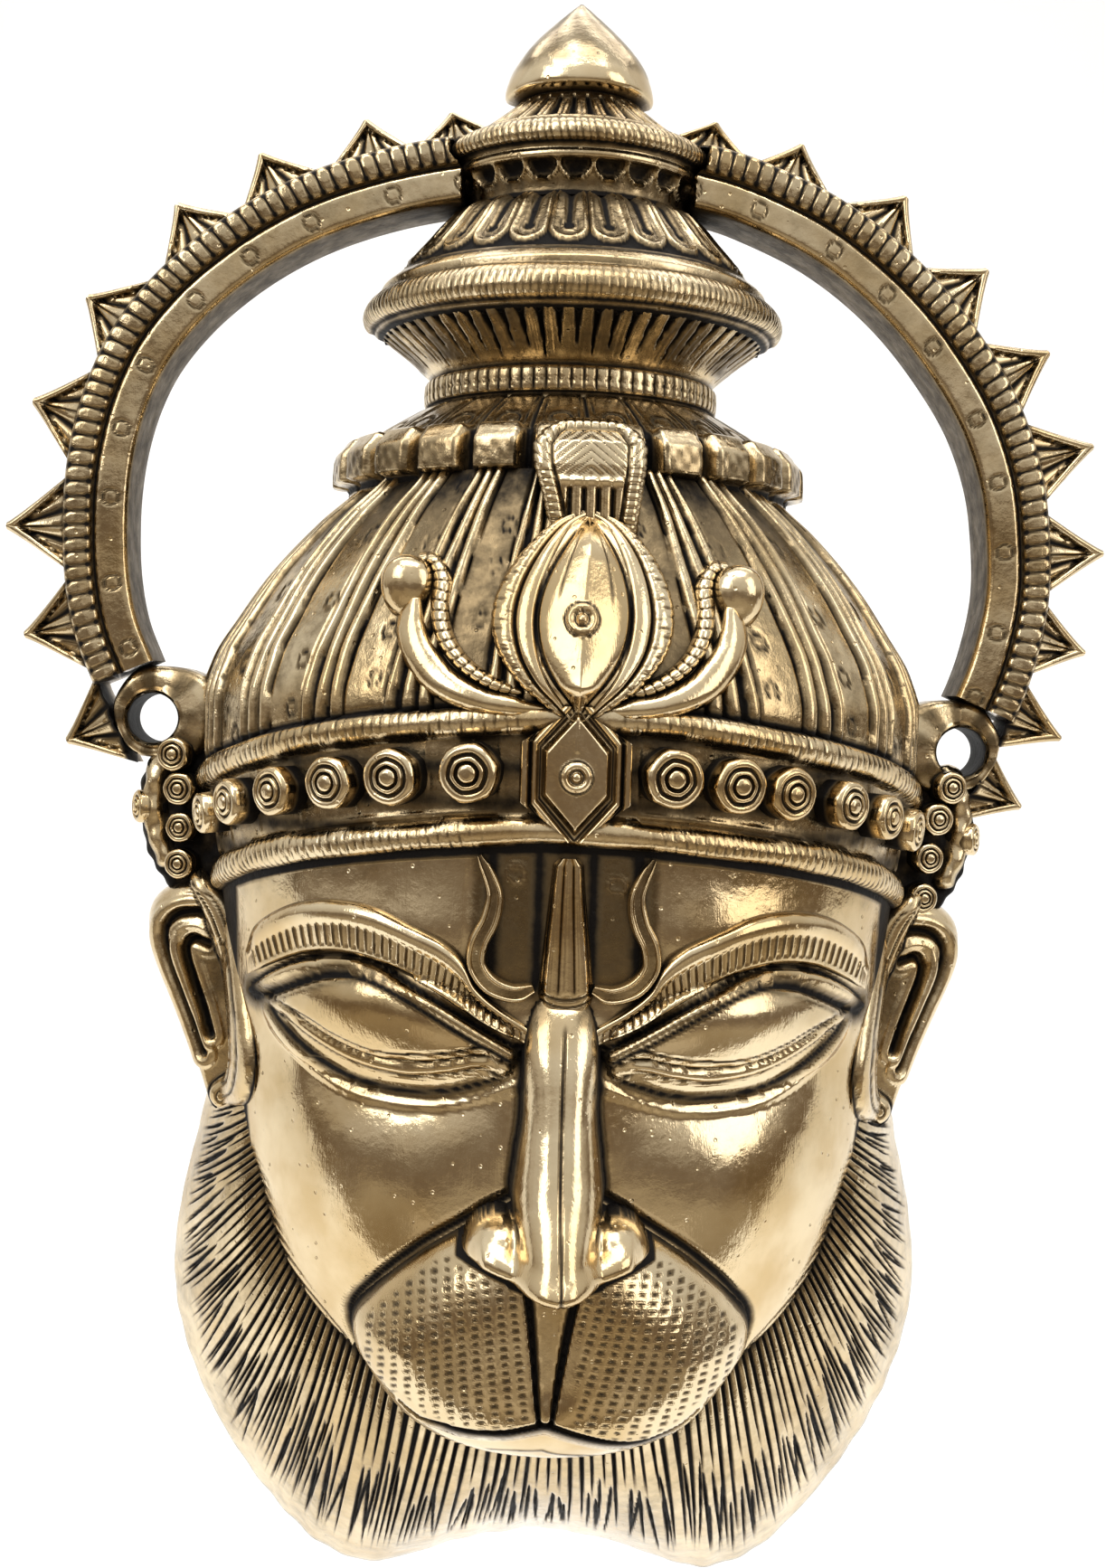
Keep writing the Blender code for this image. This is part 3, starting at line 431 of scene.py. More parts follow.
class Finish(Enum):
    """The brass as it looks on different parts of the casting."""

    BRIGHT = Brass("bright_brass", gloss_fine=0.08, gloss_worn=0.20, pits=0.35, dirt=0.22)
    CHASED = Brass("chased_brass", gloss_fine=0.13, gloss_worn=0.30, pits=0.7, dirt=0.5)
    CROWN = Brass("crown_brass", pale=(0.72, 0.575, 0.36), deep=(0.52, 0.38, 0.20), gloss_fine=0.14,
                  gloss_worn=0.32, pits=0.8, dirt=0.62)
    INSIDE = Brass("cast_inside", pale=(0.50, 0.37, 0.20), deep=(0.36, 0.25, 0.13), gloss_fine=0.42,
                   gloss_worn=0.6, pits=1.4, dirt=0.9)


class Foundry:
    """Turns sheets of skin into closed pieces and dresses them."""

    def __init__(self) -> None:
        """Starts with no materials made."""
        self.finishes: dict[Finish, bpy.types.Material] = {}

    def material(self, finish: Finish) -> bpy.types.Material:
        """The material of a finish, made once."""
        if finish not in self.finishes:
            self.finishes[finish] = finish.value.make()
        return self.finishes[finish]

    def lay(self, name: str, points: Grid, patina_and_shade: Grid) -> bpy.types.Object:
        """A grid primitive whose points are moved to those of a sheet.

        Args:
            name: Name of the new object.
            points: Rows by columns by three, in carving units.
            patina_and_shade: Rows by columns, the share of dark patina and painted shade.

        Returns:
            The object, at the origin.
        """
        rows, columns = points.shape[:2]
        bpy.ops.object.select_all(action="DESELECT")
        bpy.ops.mesh.primitive_grid_add(x_subdivisions=columns - 1, y_subdivisions=rows - 1, size=1.0,
                                        location=(0, 0, 0))
        made = bpy.context.object
        made.name = name
        plain = np.empty(len(made.data.vertices) * 3)
        made.data.vertices.foreach_get("co", plain)
        plain = plain.reshape(-1, 3)
        j = np.rint((plain[:, 0] + 0.5) * (columns - 1)).astype(int)
        i = np.rint((plain[:, 1] + 0.5) * (rows - 1)).astype(int)
        placed = points[i, j] * UNIT
        placed[:, 2] -= MOUNT_LEVEL * UNIT
        placed[:, 1] = np.minimum(placed[:, 1], 0.0)
        made.data.vertices.foreach_set("co", placed.astype(np.float32).ravel())
        held = made.data.attributes.new(DARKENING_ATTRIBUTE, "FLOAT", "POINT")
        held.data.foreach_set("value", patina_and_shade[i, j].astype(np.float32))
        made.data.update()
        return made

    def close(self, name: str, skin: Skin, back: Grid) -> bpy.types.Object:
        """A closed mesh: the dense skin in front, a coarse back, and a band that joins their edges.

        Args:
            name: Name of the object.
            skin: The front.
            back: Coarse back, rows by columns by three.

        Returns:
            The closed object, not yet dressed.
        """
        inner = self.lay(name + "_back", back, np.full(back.shape[:2], 0.35))
        bpy.ops.object.mode_set(mode="EDIT")
        bpy.ops.mesh.select_all(action="SELECT")
        bpy.ops.mesh.flip_normals()
        bpy.ops.object.mode_set(mode="OBJECT")
        made = self.lay(name, skin.points, skin.patina_and_shade)
        inner.select_set(True)
        bpy.ops.object.join()
        bpy.ops.object.mode_set(mode="EDIT")
        bpy.ops.mesh.select_mode(type="EDGE")
        bpy.ops.mesh.select_all(action="DESELECT")
        bpy.ops.mesh.select_non_manifold()
        bpy.ops.mesh.bridge_edge_loops()
        bpy.ops.object.mode_set(mode="OBJECT")
        return made

    def shell(self, name: str, skin: Skin, back: Grid, finish: Finish,
              angle: float = 75.0) -> bpy.types.Object:
        """A closed and dressed piece.

        Args:
            name: Name of the piece.
            skin: The front.
            back: Coarse back, rows by columns by three.
            finish: Its brass.
            angle: Edges sharper than this stay sharp, in degrees.

        Returns:
            The finished piece.
        """
        return self.dress(self.close(name, skin, back), finish, angle)

    def pair(self, name: str, skin: Skin, back: Grid) -> list[bpy.types.Object]:
        """A closed form and its mirror image."""
        return [self.close(name + "_right", skin, back), self.close(name + "_left", *mirrored(skin, back))]

    def gather(self, name: str, parts: list[bpy.types.Object], finish: Finish,
               angle: float) -> bpy.types.Object:
        """Joins closed objects into one dressed piece.

        Args:
            name: Name of the piece.
            parts: The objects.
            finish: Its brass.
            angle: Edges sharper than this stay sharp, in degrees.

        Returns:
            The finished piece.
        """
        bpy.ops.object.select_all(action="DESELECT")
        for part in parts:
            part.select_set(True)
        bpy.context.view_layer.objects.active = parts[0]
        bpy.ops.object.join()
        parts[0].name = name
        return self.dress(parts[0], finish, angle)

    def dress(self, made: bpy.types.Object, finish: Finish, angle: float = 75.0) -> bpy.types.Object:
        """Turns a piece's faces out, smooths it, gives it its brass and puts it in the frame."""
        bpy.ops.object.select_all(action="DESELECT")
        bpy.context.view_layer.objects.active = made
        made.select_set(True)
        bpy.ops.object.mode_set(mode="EDIT")
        bpy.ops.mesh.select_mode(type="FACE")
        bpy.ops.mesh.select_all(action="SELECT")
        bpy.ops.mesh.normals_make_consistent(inside=False)
        bpy.ops.object.mode_set(mode="OBJECT")
        bpy.ops.object.shade_smooth_by_angle(angle=math.radians(angle))
        made.data.materials.clear()
        made.data.materials.append(self.material(finish))
        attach(made, "root")
        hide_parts("mask")
        corners = sum(face.loop_total - 2 for face in made.data.polygons)
        LOG.info("%s: %d triangles", made.name, corners)
        return made


# The casting's own envelope, which the hollow follows


CASTING = Table((
    (96.5, 15.0, 14.0, 1.0), (92.0, 24.0, 21.0, 1.0), (78.0, 33.0, 30.0, 1.0), (63.0, 27.6, 26.0, 1.0),
    (57.0, 28.6, 29.0, 1.0), (48.0, 39.0, 39.0, 1.0), (40.0, 42.0, 45.0, 1.0), (34.0, 48.5, 49.0, 1.0),
    (24.0, 57.5, 54.0, 1.0), (16.0, 63.0, 57.5, 1.0), (8.0, 67.8, 60.0, 1.0), (0.0, 70.0, 60.5, 1.0),
    (-14.0, 70.0, 59.0, 1.0), (-28.0, 68.0, 58.5, 1.0), (-36.0, 66.0, 58.0, 1.05), (-50.0, 64.5, 56.0, 1.1),
    (-65.0, 63.5, 55.5, 1.15), (-76.0, 64.0, 56.0, 1.3), (-84.0, 68.0, 56.5, 1.5), (-97.0, 71.4, 56.5, 1.75),
    (-109.0, 73.2, 55.0, 1.9), (-121.0, 72.2, 50.0, 2.0), (-132.0, 69.2, 41.0, 2.0), (-142.0, 64.6, 32.0,
                                                                                      2.0),
    (-150.0, 58.4, 23.5, 2.0), (-157.0, 50.6, 15.5, 2.0), (-162.0, 42.0, 9.6, 2.0),
))
WALL = 4.6
RIM_WALL = 5.4
HOLLOW_TOP = 91.9
HOLLOW_LOW = -160.1


def place_points(made: bpy.types.Object, across: Grid, out: Grid, up: Grid) -> None:
    """Moves a mesh's vertices to places in carving units."""
    placed = np.stack([across, -out, up - MOUNT_LEVEL], axis=1) * UNIT
    made.data.vertices.foreach_set("co", placed.astype(np.float32).ravel())


def stain_points(made: bpy.types.Object, dark: Grid) -> None:
    """Keeps with each vertex how much dark patina lies on it, in the attribute that also holds painted shade.
    """
    held = made.data.attributes.new(DARKENING_ATTRIBUTE, "FLOAT", "POINT")
    held.data.foreach_set("value", dark.astype(np.float32))


def hollow_depth(x: Grid, z: Grid, spare: float = 0.0) -> Grid:
    """Depth of the open inside at a place.

    Args:
        x: Places across.
        z: Their levels.
        spare: How much wider and deeper than the hollow itself.

    Returns:
        Depths, nought outside the hollow.
    """
    half_width = CASTING.at(z, 0) - RIM_WALL + spare
    depth = CASTING.at(z, 1) - WALL + spare
    share = np.clip(np.abs(x) / half_width, 0.0, 1.0)
    inside = (z < HOLLOW_TOP + spare) & (z > HOLLOW_LOW - spare)
    return np.where(inside, depth * (1.0 - share**2) ** (CASTING.at(z, 2) / 2), 0.0)


def turned_back(levels: Grid, radii: Grid, columns: int, spare: float) -> Grid:
    """Back of a half-round piece: on the hollow where there is one, and flat on the wall above it.

    Args:
        levels: Levels of its rows, from the top down.
        radii: The front's half widths there.
        columns: Columns of the back.
        spare: How far it stays outside the hollow.

    Returns:
        Points, rows by columns by three.
    """
    turn = np.linspace(-math.pi / 2, math.pi / 2, columns)[None, :]
    open_share = ease(levels, HOLLOW_TOP + 3.0, HOLLOW_TOP - 3.0)[:, None]
    wide = np.minimum(CASTING.at(levels, 0) - RIM_WALL + spare, radii * 0.94)[:, None]
    deep = np.minimum(CASTING.at(levels, 1) - WALL + spare, radii * 0.90)[:, None]
    across = (wide * open_share + radii[:, None] * 0.97 * (1 - open_share)) * np.sin(turn)
    out = 0.2 + deep * open_share * np.cos(turn)
    return np.stack([across, -out, np.broadcast_to(levels[:, None], across.shape)], axis=2)


# The crown


@dataclass
class Crown:
    """The turned tiers over the dome: bud, two tiers with roped rims, collar and brim of square petals."""

    foundry: Foundry
    flatten: float = 0.98
    rope_pitch: float = 1.42
    block_turn: float = 14.3
    bud: tuple = ((138.6, 0.25), (137.5, 1.6), (134.8, 4.6), (131.6, 7.9), (128.2, 10.9), (125.2, 12.9),
                  (122.7, 13.9), (120.9, 14.4), (119.6, 14.5), (118.8, 13.9), (118.4, 12.7), (118.0, 11.2))
    tier_one: tuple = ((118.6, 11.2), (117.8, 12.4), (116.6, 13.6), (113.2, 17.8), (110.8, 21.0),
                       (109.8, 22.3), (109.5, 23.4), (108.8, 25.2), (107.4, 26.5), (106.0, 26.8),
                       (104.8, 26.2), (104.2,
                                                                                                   25.0),
                       (103.9, 24.3), (103.4, 24.6), (102.8, 24.9), (102.0, 24.6), (101.2, 23.2), (99.0,
                                                                                                   22.2),
                       (96.6, 21.8), (95.6, 22.6))
    tier_two: tuple = ((97.2, 19.6), (96.4, 21.4), (94.6, 25.0), (90.0, 29.0), (85.0, 33.4), (82.4, 36.0),
                       (81.4, 37.2), (80.6, 37.9), (79.9, 37.7), (79.5, 38.0), (78.6, 39.4), (77.2, 40.7),
                       (75.4, 41.3), (73.8, 40.8), (72.6, 39.4), (71.9, 37.9), (71.4, 36.6))
    cone: tuple = ((72.4, 36.2), (71.8, 37.4), (67.4, 31.6), (64.4, 28.2), (63.6, 27.7), (63.2, 28.2),
                   (62.6, 28.8), (60.4, 28.9), (58.6, 28.7), (58.0, 28.0), (57.4, 28.0))
    brim: tuple = ((58.2, 27.6), (57.0, 30.2), (55.6, 32.6), (53.0, 36.8), (50.4, 40.4), (49.2, 41.8),
                   (48.6, 42.2), (45.0, 42.6), (41.6, 42.6), (41.0, 43.0), (40.4, 43.2), (39.6, 42.6),
                   (38.8, 40.4), (38.0, 38.0))

    def turned(self, profile: tuple, columns: int, rows: int) -> tuple[Skin, Grid, Grid, Grid]:
        """A half-round skin turned from a profile.

        Args:
            profile: Level and radius, from the top down.
            columns: Columns round the front.
            rows: Rows down the profile.

        Returns:
            The skin, and at each point its angle in degrees, its level and its radius.
        """
        fine = smooth_line(profile, 40 * len(profile))
        steps = np.concatenate([[0.0], np.cumsum(np.linalg.norm(np.diff(fine, axis=0), axis=1))])
        reach = np.linspace(0, steps[-1], rows)
        level = np.interp(reach, steps, fine[:, 0])[:, None]
        radius = np.maximum(np.interp(reach, steps, fine[:, 1]), 0.05)[:, None]
        turn = np.linspace(-math.pi / 2, math.pi / 2, columns)[None, :]
        across = radius * np.sin(turn)
        out = self.flatten * radius * np.cos(turn)
        level, radius = np.broadcast_to(level, across.shape), np.broadcast_to(radius, across.shape)
        return Skin(across, out, level), np.degrees(np.broadcast_to(turn, across.shape)), level, radius

    def cast(self, name: str, skin: Skin, level: Grid, radius: Grid, finish: Finish) -> bpy.types.Object:
        """Closes a turned skin with its back."""
        keep = sparse(level.shape[0], 14)
        back = turned_back(level[keep, 0], radius[keep, 0], 26, 1.6)
        return self.foundry.shell(name, skin, back, finish)

    def rope(self, degrees: Grid, level: Grid, radius: Grid, top: float, low: float,
             lean: float) -> tuple[Grid, Grid]:
        """Ticks cut across a rim between two levels.

        Args:
            degrees: Angle of each point.
            level: Its level.
            radius: Its radius.
            top: The rim's upper edge.
            low: Its lower edge.
            lean: How far the ticks slant, in pitches.

        Returns:
            Rise and stain.
        """
        middle, half = (top + low) / 2, (top - low) / 2
        inside = hill(level - middle, half, 4.0)
        wide = radius.max() * math.pi / 180
        count = degrees * wide / self.rope_pitch + lean * (level - middle) / half
        count = count + 0.12 * np.sin(degrees * 0.35) + 0.08 * np.sin(degrees * 1.1 + 2.0)
        cut = notch(wave(count), 0.26) * inside
        edges = notch(level - top, 0.55) + notch(level - low, 0.55)
        return -0.36 * cut - 0.5 * edges, 0.55 * cut + 0.95 * edges

    def build_bud(self) -> None:
        """The smooth bud at the very top."""
        skin, degrees, level, radius = self.turned(self.bud, 96, 44)
        dent = 0.12 * np.sin(degrees * 0.11 + level * 0.4) * ease(level, 134.0, 124.0)
        dull = 0.30 * ease(level, 121.8, 124.6) * (0.85 + 0.2 * np.sin(degrees * 0.2 + level * 0.5))
        skin.chase(dent, np.maximum(0.6 * ease(level, 119.4, 118.2), dull))
        self.cast("crown_bud", skin, level, radius, Finish.BRIGHT)

    def build_tier_one(self) -> None:
        """Upper tier: slits round the neck of the bud, a roped rim, and hanging crescents under a lip."""
        skin, degrees, level, radius = self.turned(self.tier_one, 270, 68)
        count = degrees / 11.0 + 0.5
        slit = notch(wave(count), 0.29 - 0.02 * (level - 112.0), 0.7)
        tall = ease(level, 110.3, 111.2) * ease(level, 117.6, 116.8)
        side_slit = notch(wave(count + 0.5), 0.07) * ease(level, 109.8, 110.4) * ease(level, 115.6, 114.8)
        rise, patina_and_shade = -1.6 * slit * tall - 0.5 * side_slit, 1.25 * slit * tall + 0.8 * side_slit
        lip = notch(level - 110.2, 0.5)
        rise, patina_and_shade = rise + 0.5 * lip, patina_and_shade * (1 - lip)
        roped, dark = self.rope(degrees, level, radius, 109.6, 104.3, 0.35)
        rise, patina_and_shade = rise + roped, np.maximum(patina_and_shade, dark)
        across = wave(degrees / 16.0 + 0.13) * 16.0 * math.pi / 180 * 23.0
        drop = level - 101.4
        hoop = np.hypot(across, drop * 1.15) - 3.1
        below = ease(drop, 0.5, -0.1)
        arc = notch(hoop, 0.5) * below
        hole = ease(hoop, -0.3, -0.9) * below * ease(level, 97.0, 98.0)
        rise = rise + 0.8 * arc - 1.2 * hole
        neck = ease(level, 102.6, 101.6)
        patina_and_shade = np.maximum(patina_and_shade, neck * (0.34 + 0.1 * np.sin(degrees * 0.8)))
        patina_and_shade = np.where(arc > 0.4, 0.05, np.maximum(patina_and_shade, 0.7 * hole))
        patina_and_shade = np.maximum(patina_and_shade, 0.9 * ease(level, 97.4, 96.2))
        skin.chase(rise, patina_and_shade)
        self.cast("crown_upper_tier", skin, level, radius, Finish.CROWN)

    def build_tier_two(self) -> None:
        """Lower tier: petals with keyhole slots over a plain lip and a broad roped rim."""
        skin, degrees, level, radius = self.turned(self.tier_two, 360, 68)
        pitch = 13.8
        away = wave(degrees / pitch + 0.27) * pitch * math.pi / 180 * radius
        half = pitch * math.pi / 180 * radius * 0.455
        slope = (level - 87.6) * 1.28
        outline = np.where(slope > 0, np.abs(away) - half, np.hypot(away, slope) - half)
        on_slope = ease(level, 83.2, 83.9) * ease(level, 96.6, 96.0)
        petal_edge = notch(outline + 0.35, 0.55) * on_slope
        between = ease(outline, 0.05, 0.45) * on_slope
        slot = notch(away, 0.75 + 0.05 * (level - 86.0), 0.7) * ease(level, 87.0, 88.0)
        eye = ease(np.hypot(away, slope - 0.6), 1.25, 0.8)
        inner = notch(outline + 1.7, 0.45) * ease(slope, 4.0, 1.5)
        rise = 0.45 * petal_edge - 0.75 * between * on_slope - 0.7 * np.maximum(slot,
                                                                                eye) * on_slope - 0.35 * inner
        patina_and_shade = np.maximum(0.95 * between, 1.0 * np.maximum(slot, eye) * on_slope) * on_slope
        patina_and_shade = np.maximum(patina_and_shade, 0.7 * inner * on_slope)
        patina_and_shade = np.maximum(patina_and_shade, 0.28 * on_slope * (1 - petal_edge) + 0.25 * ease(level, 91.0, 96.0))
        groove = notch(level - 82.9, 0.6)
        rise, patina_and_shade = rise - 0.35 * groove, np.maximum(patina_and_shade, 0.85 * groove)
        roped, dark = self.rope(degrees, level, radius, 79.6, 72.6, -0.25)
        fade = 1 - 0.35 * ease(level, 76.0, 78.5)
        rise, patina_and_shade = rise + roped * fade, np.maximum(patina_and_shade, dark * fade)
        patina_and_shade = np.maximum(patina_and_shade, ease(level, 72.6, 71.6))
        skin.chase(rise, patina_and_shade)
        self.cast("crown_lower_tier", skin, level, radius, Finish.CROWN)

    def build_cone(self) -> None:
        """The inverted cone with long slots, and the ticked collar under it."""
        skin, degrees, level, radius = self.turned(self.cone, 330, 44)
        pitch = 5.6
        count = degrees / pitch
        index = np.round(count)
        length = 4.4 + 2.2 * (0.5 + 0.5 * np.sin(index * 2.3))
        reach = (71.2 - level) / length
        half = np.clip(0.22 * (1.12 - reach), 0.0, 0.24)
        slot = np.clip(1.0 - np.abs(wave(count)) / np.maximum(half, 1e-3), 0, 1) ** 0.6 * ease(level, 64.4,
                                                                                               65.2)
        slot = slot * (half > 0)
        thin = notch(wave(count + 0.5), 0.06) * ease(level, 64.6, 66.0) * 0.6
        rise, patina_and_shade = -1.5 * slot - 0.3 * thin, 1.6 * slot + 0.4 * thin
        patina_and_shade = np.maximum(patina_and_shade, 0.3 * ease(level, 64.4, 66.0) * (1 + 0.4 * np.sin(degrees * 0.21)))
        block = wave(degrees / 4.7 + 0.3)
        on_collar = ease(level, 58.4, 58.9) * ease(level, 63.3, 62.8)
        gap = notch(block, 0.17, 0.8) * on_collar
        waist = notch(level - 60.7, 0.45) * on_collar * (np.abs(block) < 0.34)
        rise = rise - 0.6 * gap - 0.35 * waist
        patina_and_shade = np.maximum(patina_and_shade, np.maximum(0.85 * gap, 0.5 * waist))
        for edge in (63.7, 58.2):
            line = notch(level - edge, 0.6)
            rise, patina_and_shade = rise - 0.4 * line, np.maximum(patina_and_shade, 0.9 * line)
        skin.chase(rise, patina_and_shade)
        self.cast("crown_cone", skin, level, radius, Finish.CROWN)

    def build_brim(self) -> None:
        """The brim: curved petals on its slope and square blocks round its edge."""
        skin, degrees, level, radius = self.turned(self.brim, 290, 64)
        away = wave(degrees / self.block_turn + 0.273) * self.block_turn * math.pi / 180 * radius
        half = self.block_turn * math.pi / 180 * radius / 2
        side = np.abs(away) / half
        slope = ease(level, 49.4, 50.0) * ease(level, 57.8, 57.0)
        edge = notch(side - 0.97, 0.08) + 0.8 * notch(side - 0.62 - 0.02 * (level - 50.0), 0.06)
        heart = notch(np.hypot(away, (level - 52.0) * 1.4) - 2.0, 0.5)
        rise = -0.6 * edge * slope - 0.6 * heart * slope
        patina_and_shade = np.maximum(0.95 * edge, 0.85 * heart) * slope + 0.14 * slope
        block = ease(side, 0.95, 0.62) * ease(level, 40.8, 42.4) * ease(level, 50.8, 48.8)
        bevel = 1 - 0.5 * ease(level, 46.6, 49.8)
        rise = rise + 3.8 * block * bevel - 0.8 * (1 - slope) * ease(side, 0.85, 0.95)
        face = ease(level, 47.0, 46.2) * ease(level, 41.6, 42.4)
        lumps = np.sin(away * 2.1 + np.round(degrees / self.block_turn) * 2.0) * np.sin(level * 1.9
                                                                                        + degrees * 0.4)
        rise = rise - 0.18 * face * np.clip(lumps, 0, 1)
        patina_and_shade = np.maximum(patina_and_shade, ease(side, 0.80, 0.92) * ease(level, 50.4, 49.4) * ease(level, 40.8, 41.6))
        patina_and_shade = np.maximum(patina_and_shade, 0.34 * face * block * (0.7 + 0.5 * lumps))
        patina_and_shade = np.maximum(patina_and_shade, 0.95 * ease(level, 41.6, 41.1) * ease(level, 40.2, 40.7))
        patina_and_shade = np.maximum(patina_and_shade, ease(level, 39.6, 38.8))
        skin.chase(rise, patina_and_shade)
        self.cast("crown_brim", skin, level, radius, Finish.CROWN)

    def build(self) -> None:
        """Builds the crown from the top down."""
        self.build_bud()
        self.build_tier_one()
        self.build_tier_two()
        self.build_cone()
        self.build_brim()


# The head


HEAD = Table((
    (46.0, 35.0, 42.0, 1.0), (40.0, 41.5, 45.5, 1.0), (34.0, 48.5, 49.0, 1.0), (24.0, 57.5, 54.0, 1.0),
    (16.0, 63.0, 57.5, 1.0), (8.0, 67.8, 60.0, 1.0), (0.0, 70.0, 61.5, 1.0), (-14.0, 70.0, 61.0, 1.0),
    (-28.0, 68.0, 60.5, 0.95), (-36.0, 66.0, 60.0, 0.9), (-50.0, 64.5, 59.5, 0.9), (-65.0, 63.5, 58.5, 0.9),
    (-78.0, 62.5, 58.0, 0.9), (-88.0, 61.2, 57.5, 0.9), (-96.0, 59.4, 57.0, 0.9), (-103.0, 57.4, 56.0, 0.9),
    (-110.0, 54.0, 55.0, 0.9), (-116.0, 50.0, 53.5, 0.9), (-122.0, 45.0, 51.0, 0.9), (-127.0, 40.0, 46.0,
                                                                                      0.9),
))
BOW = 17.0
BOW_POWER = 0.9


def bow(share: Grid) -> Grid:
    """How far the headband drops at a share of the head's half width."""
    return BOW * (1.0 - np.sqrt(np.clip(1.0 - share**2, 0.0, 1.0))) ** BOW_POWER


def head_out(x: Grid, z: Grid) -> Grid:
    """Depth of the plain head, without its chasing."""
    share = np.clip(np.abs(x) / HEAD.at(z, 0), 0.0, 1.0)
    return HEAD.at(z, 1) * (1.0 - share**2) ** (HEAD.at(z, 2) / 2)


def head_grid(levels: Grid, turns: Grid) -> tuple[Grid, Grid, Grid]:
    """Places on the plain head for levels, rows by columns, and angles round it.

    Args:
        levels: Level of each point, rows by columns.
        turns: Angle round the head of each column, in radians.

    Returns:
        Distance across, depth, and angle in degrees.
    """
    turn = np.broadcast_to(turns[None, :], levels.shape)
    across = HEAD.at(levels, 0) * np.sin(turn)
    out = HEAD.at(levels, 1) * np.maximum(np.cos(turn), 0.0) ** HEAD.at(levels, 2)
    return across, out, np.degrees(turn)


def head_back(levels: Grid, turns: Grid, spare: float = 1.4) -> Grid:
    """Coarse back of a piece of the head, just outside the hollow."""
    turn = np.broadcast_to(turns[None, :], levels.shape)
    wide = np.minimum(CASTING.at(levels, 0) - RIM_WALL + spare, HEAD.at(levels, 0) - 1.5)
    deep = np.minimum(CASTING.at(levels, 1) - WALL + spare, HEAD.at(levels, 1) - 1.5)
    across = wide * np.sin(turn)
    out = 0.2 + deep * np.maximum(np.cos(turn), 0.0) ** CASTING.at(levels, 2)
    return np.stack([across, -out, levels], axis=2)


def bunched(count: int, most: float = 90.0, crowd: float = 1.12) -> Grid:
    """Angles round the head, in radians, closer together in front."""
    share = np.linspace(-1.0, 1.0, count)
    return np.radians(most) * np.sign(share) * np.abs(share) ** crowd


@dataclass
class Dome:
    """The ribbed cap between the brim and the headband."""

    foundry: Foundry
    top: float = 42.0
    low: float = 0.6
    panel: float = 15.6
    ridges: tuple = ((5.1, 1.05), (7.9, 1.0), (10.6, 0.85))

    def build(self) -> None:
        """Meridian ribs in threes, with plain panels between that carry ring punches."""
        rows, columns = 56, 430
        share = np.linspace(0.0, 1.0, rows)[:, None]
        turns = np.linspace(-math.pi / 2, math.pi / 2, columns)
        plain = self.top + (self.low - self.top) * share
        levels = plain - share * bow(np.sin(turns))[None, :]
        across, out, degrees = head_grid(levels, turns)
        skin = Skin(across, out, levels)
        sway = degrees + 1.2 * np.sin(degrees * 0.07 + share * 2.0)
        place = (np.abs(sway) + 0.6) % self.panel
        index = np.floor((np.abs(sway) + 0.6) / self.panel)
        rise, patina_and_shade = np.zeros(levels.shape), np.zeros(levels.shape)
        for number, (centre, half) in enumerate(self.ridges):
            wander = 0.22 * np.sin(share * 9.0 + number * 2.0 + index)
            ridge = hill(place - centre - wander, half, 2.6)
            rise = np.maximum(rise, 0.95 * ridge)
        in_ribs = ease(place, 3.4, 3.9) * ease(place, 12.2, 11.7)
        gap = in_ribs * (1 - ease(rise, 0.0, 0.45))
        rise = rise - 0.8 * gap
        patina_and_shade = 0.95 * gap
        middle = self.panel * 0.5 + 6.1
        arc = wave((place - middle) / self.panel) * self.panel * math.pi / 180 * HEAD.at(levels, 0)
        for number in range(5):
            height = 4.5 + 9.0 * number
            down = plain - height - 2.2 * np.sin(index * 1.7 + number)
            ring = np.abs(np.hypot(arc - 0.5 * np.sin(number + index), down) - RING_RADIUS)
            rise = rise - 0.34 * notch(ring, 0.42) * (1 - in_ribs)
            patina_and_shade = np.maximum(patina_and_shade, 0.8 * notch(ring, 0.5) * (1 - in_ribs))
        # Painted shade: a little over all the panels and more under the brim towards the top; the panels also
        # darken towards the sides and towards the middle, where the crest stands.
        shade = 0.50 * ease(plain, 26.0, 40.0) + 0.14
        patina_and_shade = np.maximum(patina_and_shade, shade * (1 - ease(rise, 0.3, 0.8)))
        patina_and_shade = np.maximum(patina_and_shade, ease(plain, 2.6, 0.8))
        side = ease(np.abs(degrees), 58.0, 84.0)
        patina_and_shade = np.maximum(patina_and_shade, 0.5 * side * (1 - ease(rise, 0.3, 0.8)))
        patina_and_shade = np.maximum(patina_and_shade, 0.44 * ease(np.abs(across), 38.0, 22.0) * (1 - 0.7 * ease(rise, 0.3, 0.8)))
        skin.chase(rise - 0.5 * ease(plain, 2.2, 0.6), patina_and_shade)
        pick = sparse(rows, 14)
        few = sparse(columns, 44)
        self.foundry.shell("dome", skin, head_back(levels[pick][:, few], turns[few]), Finish.CHASED)


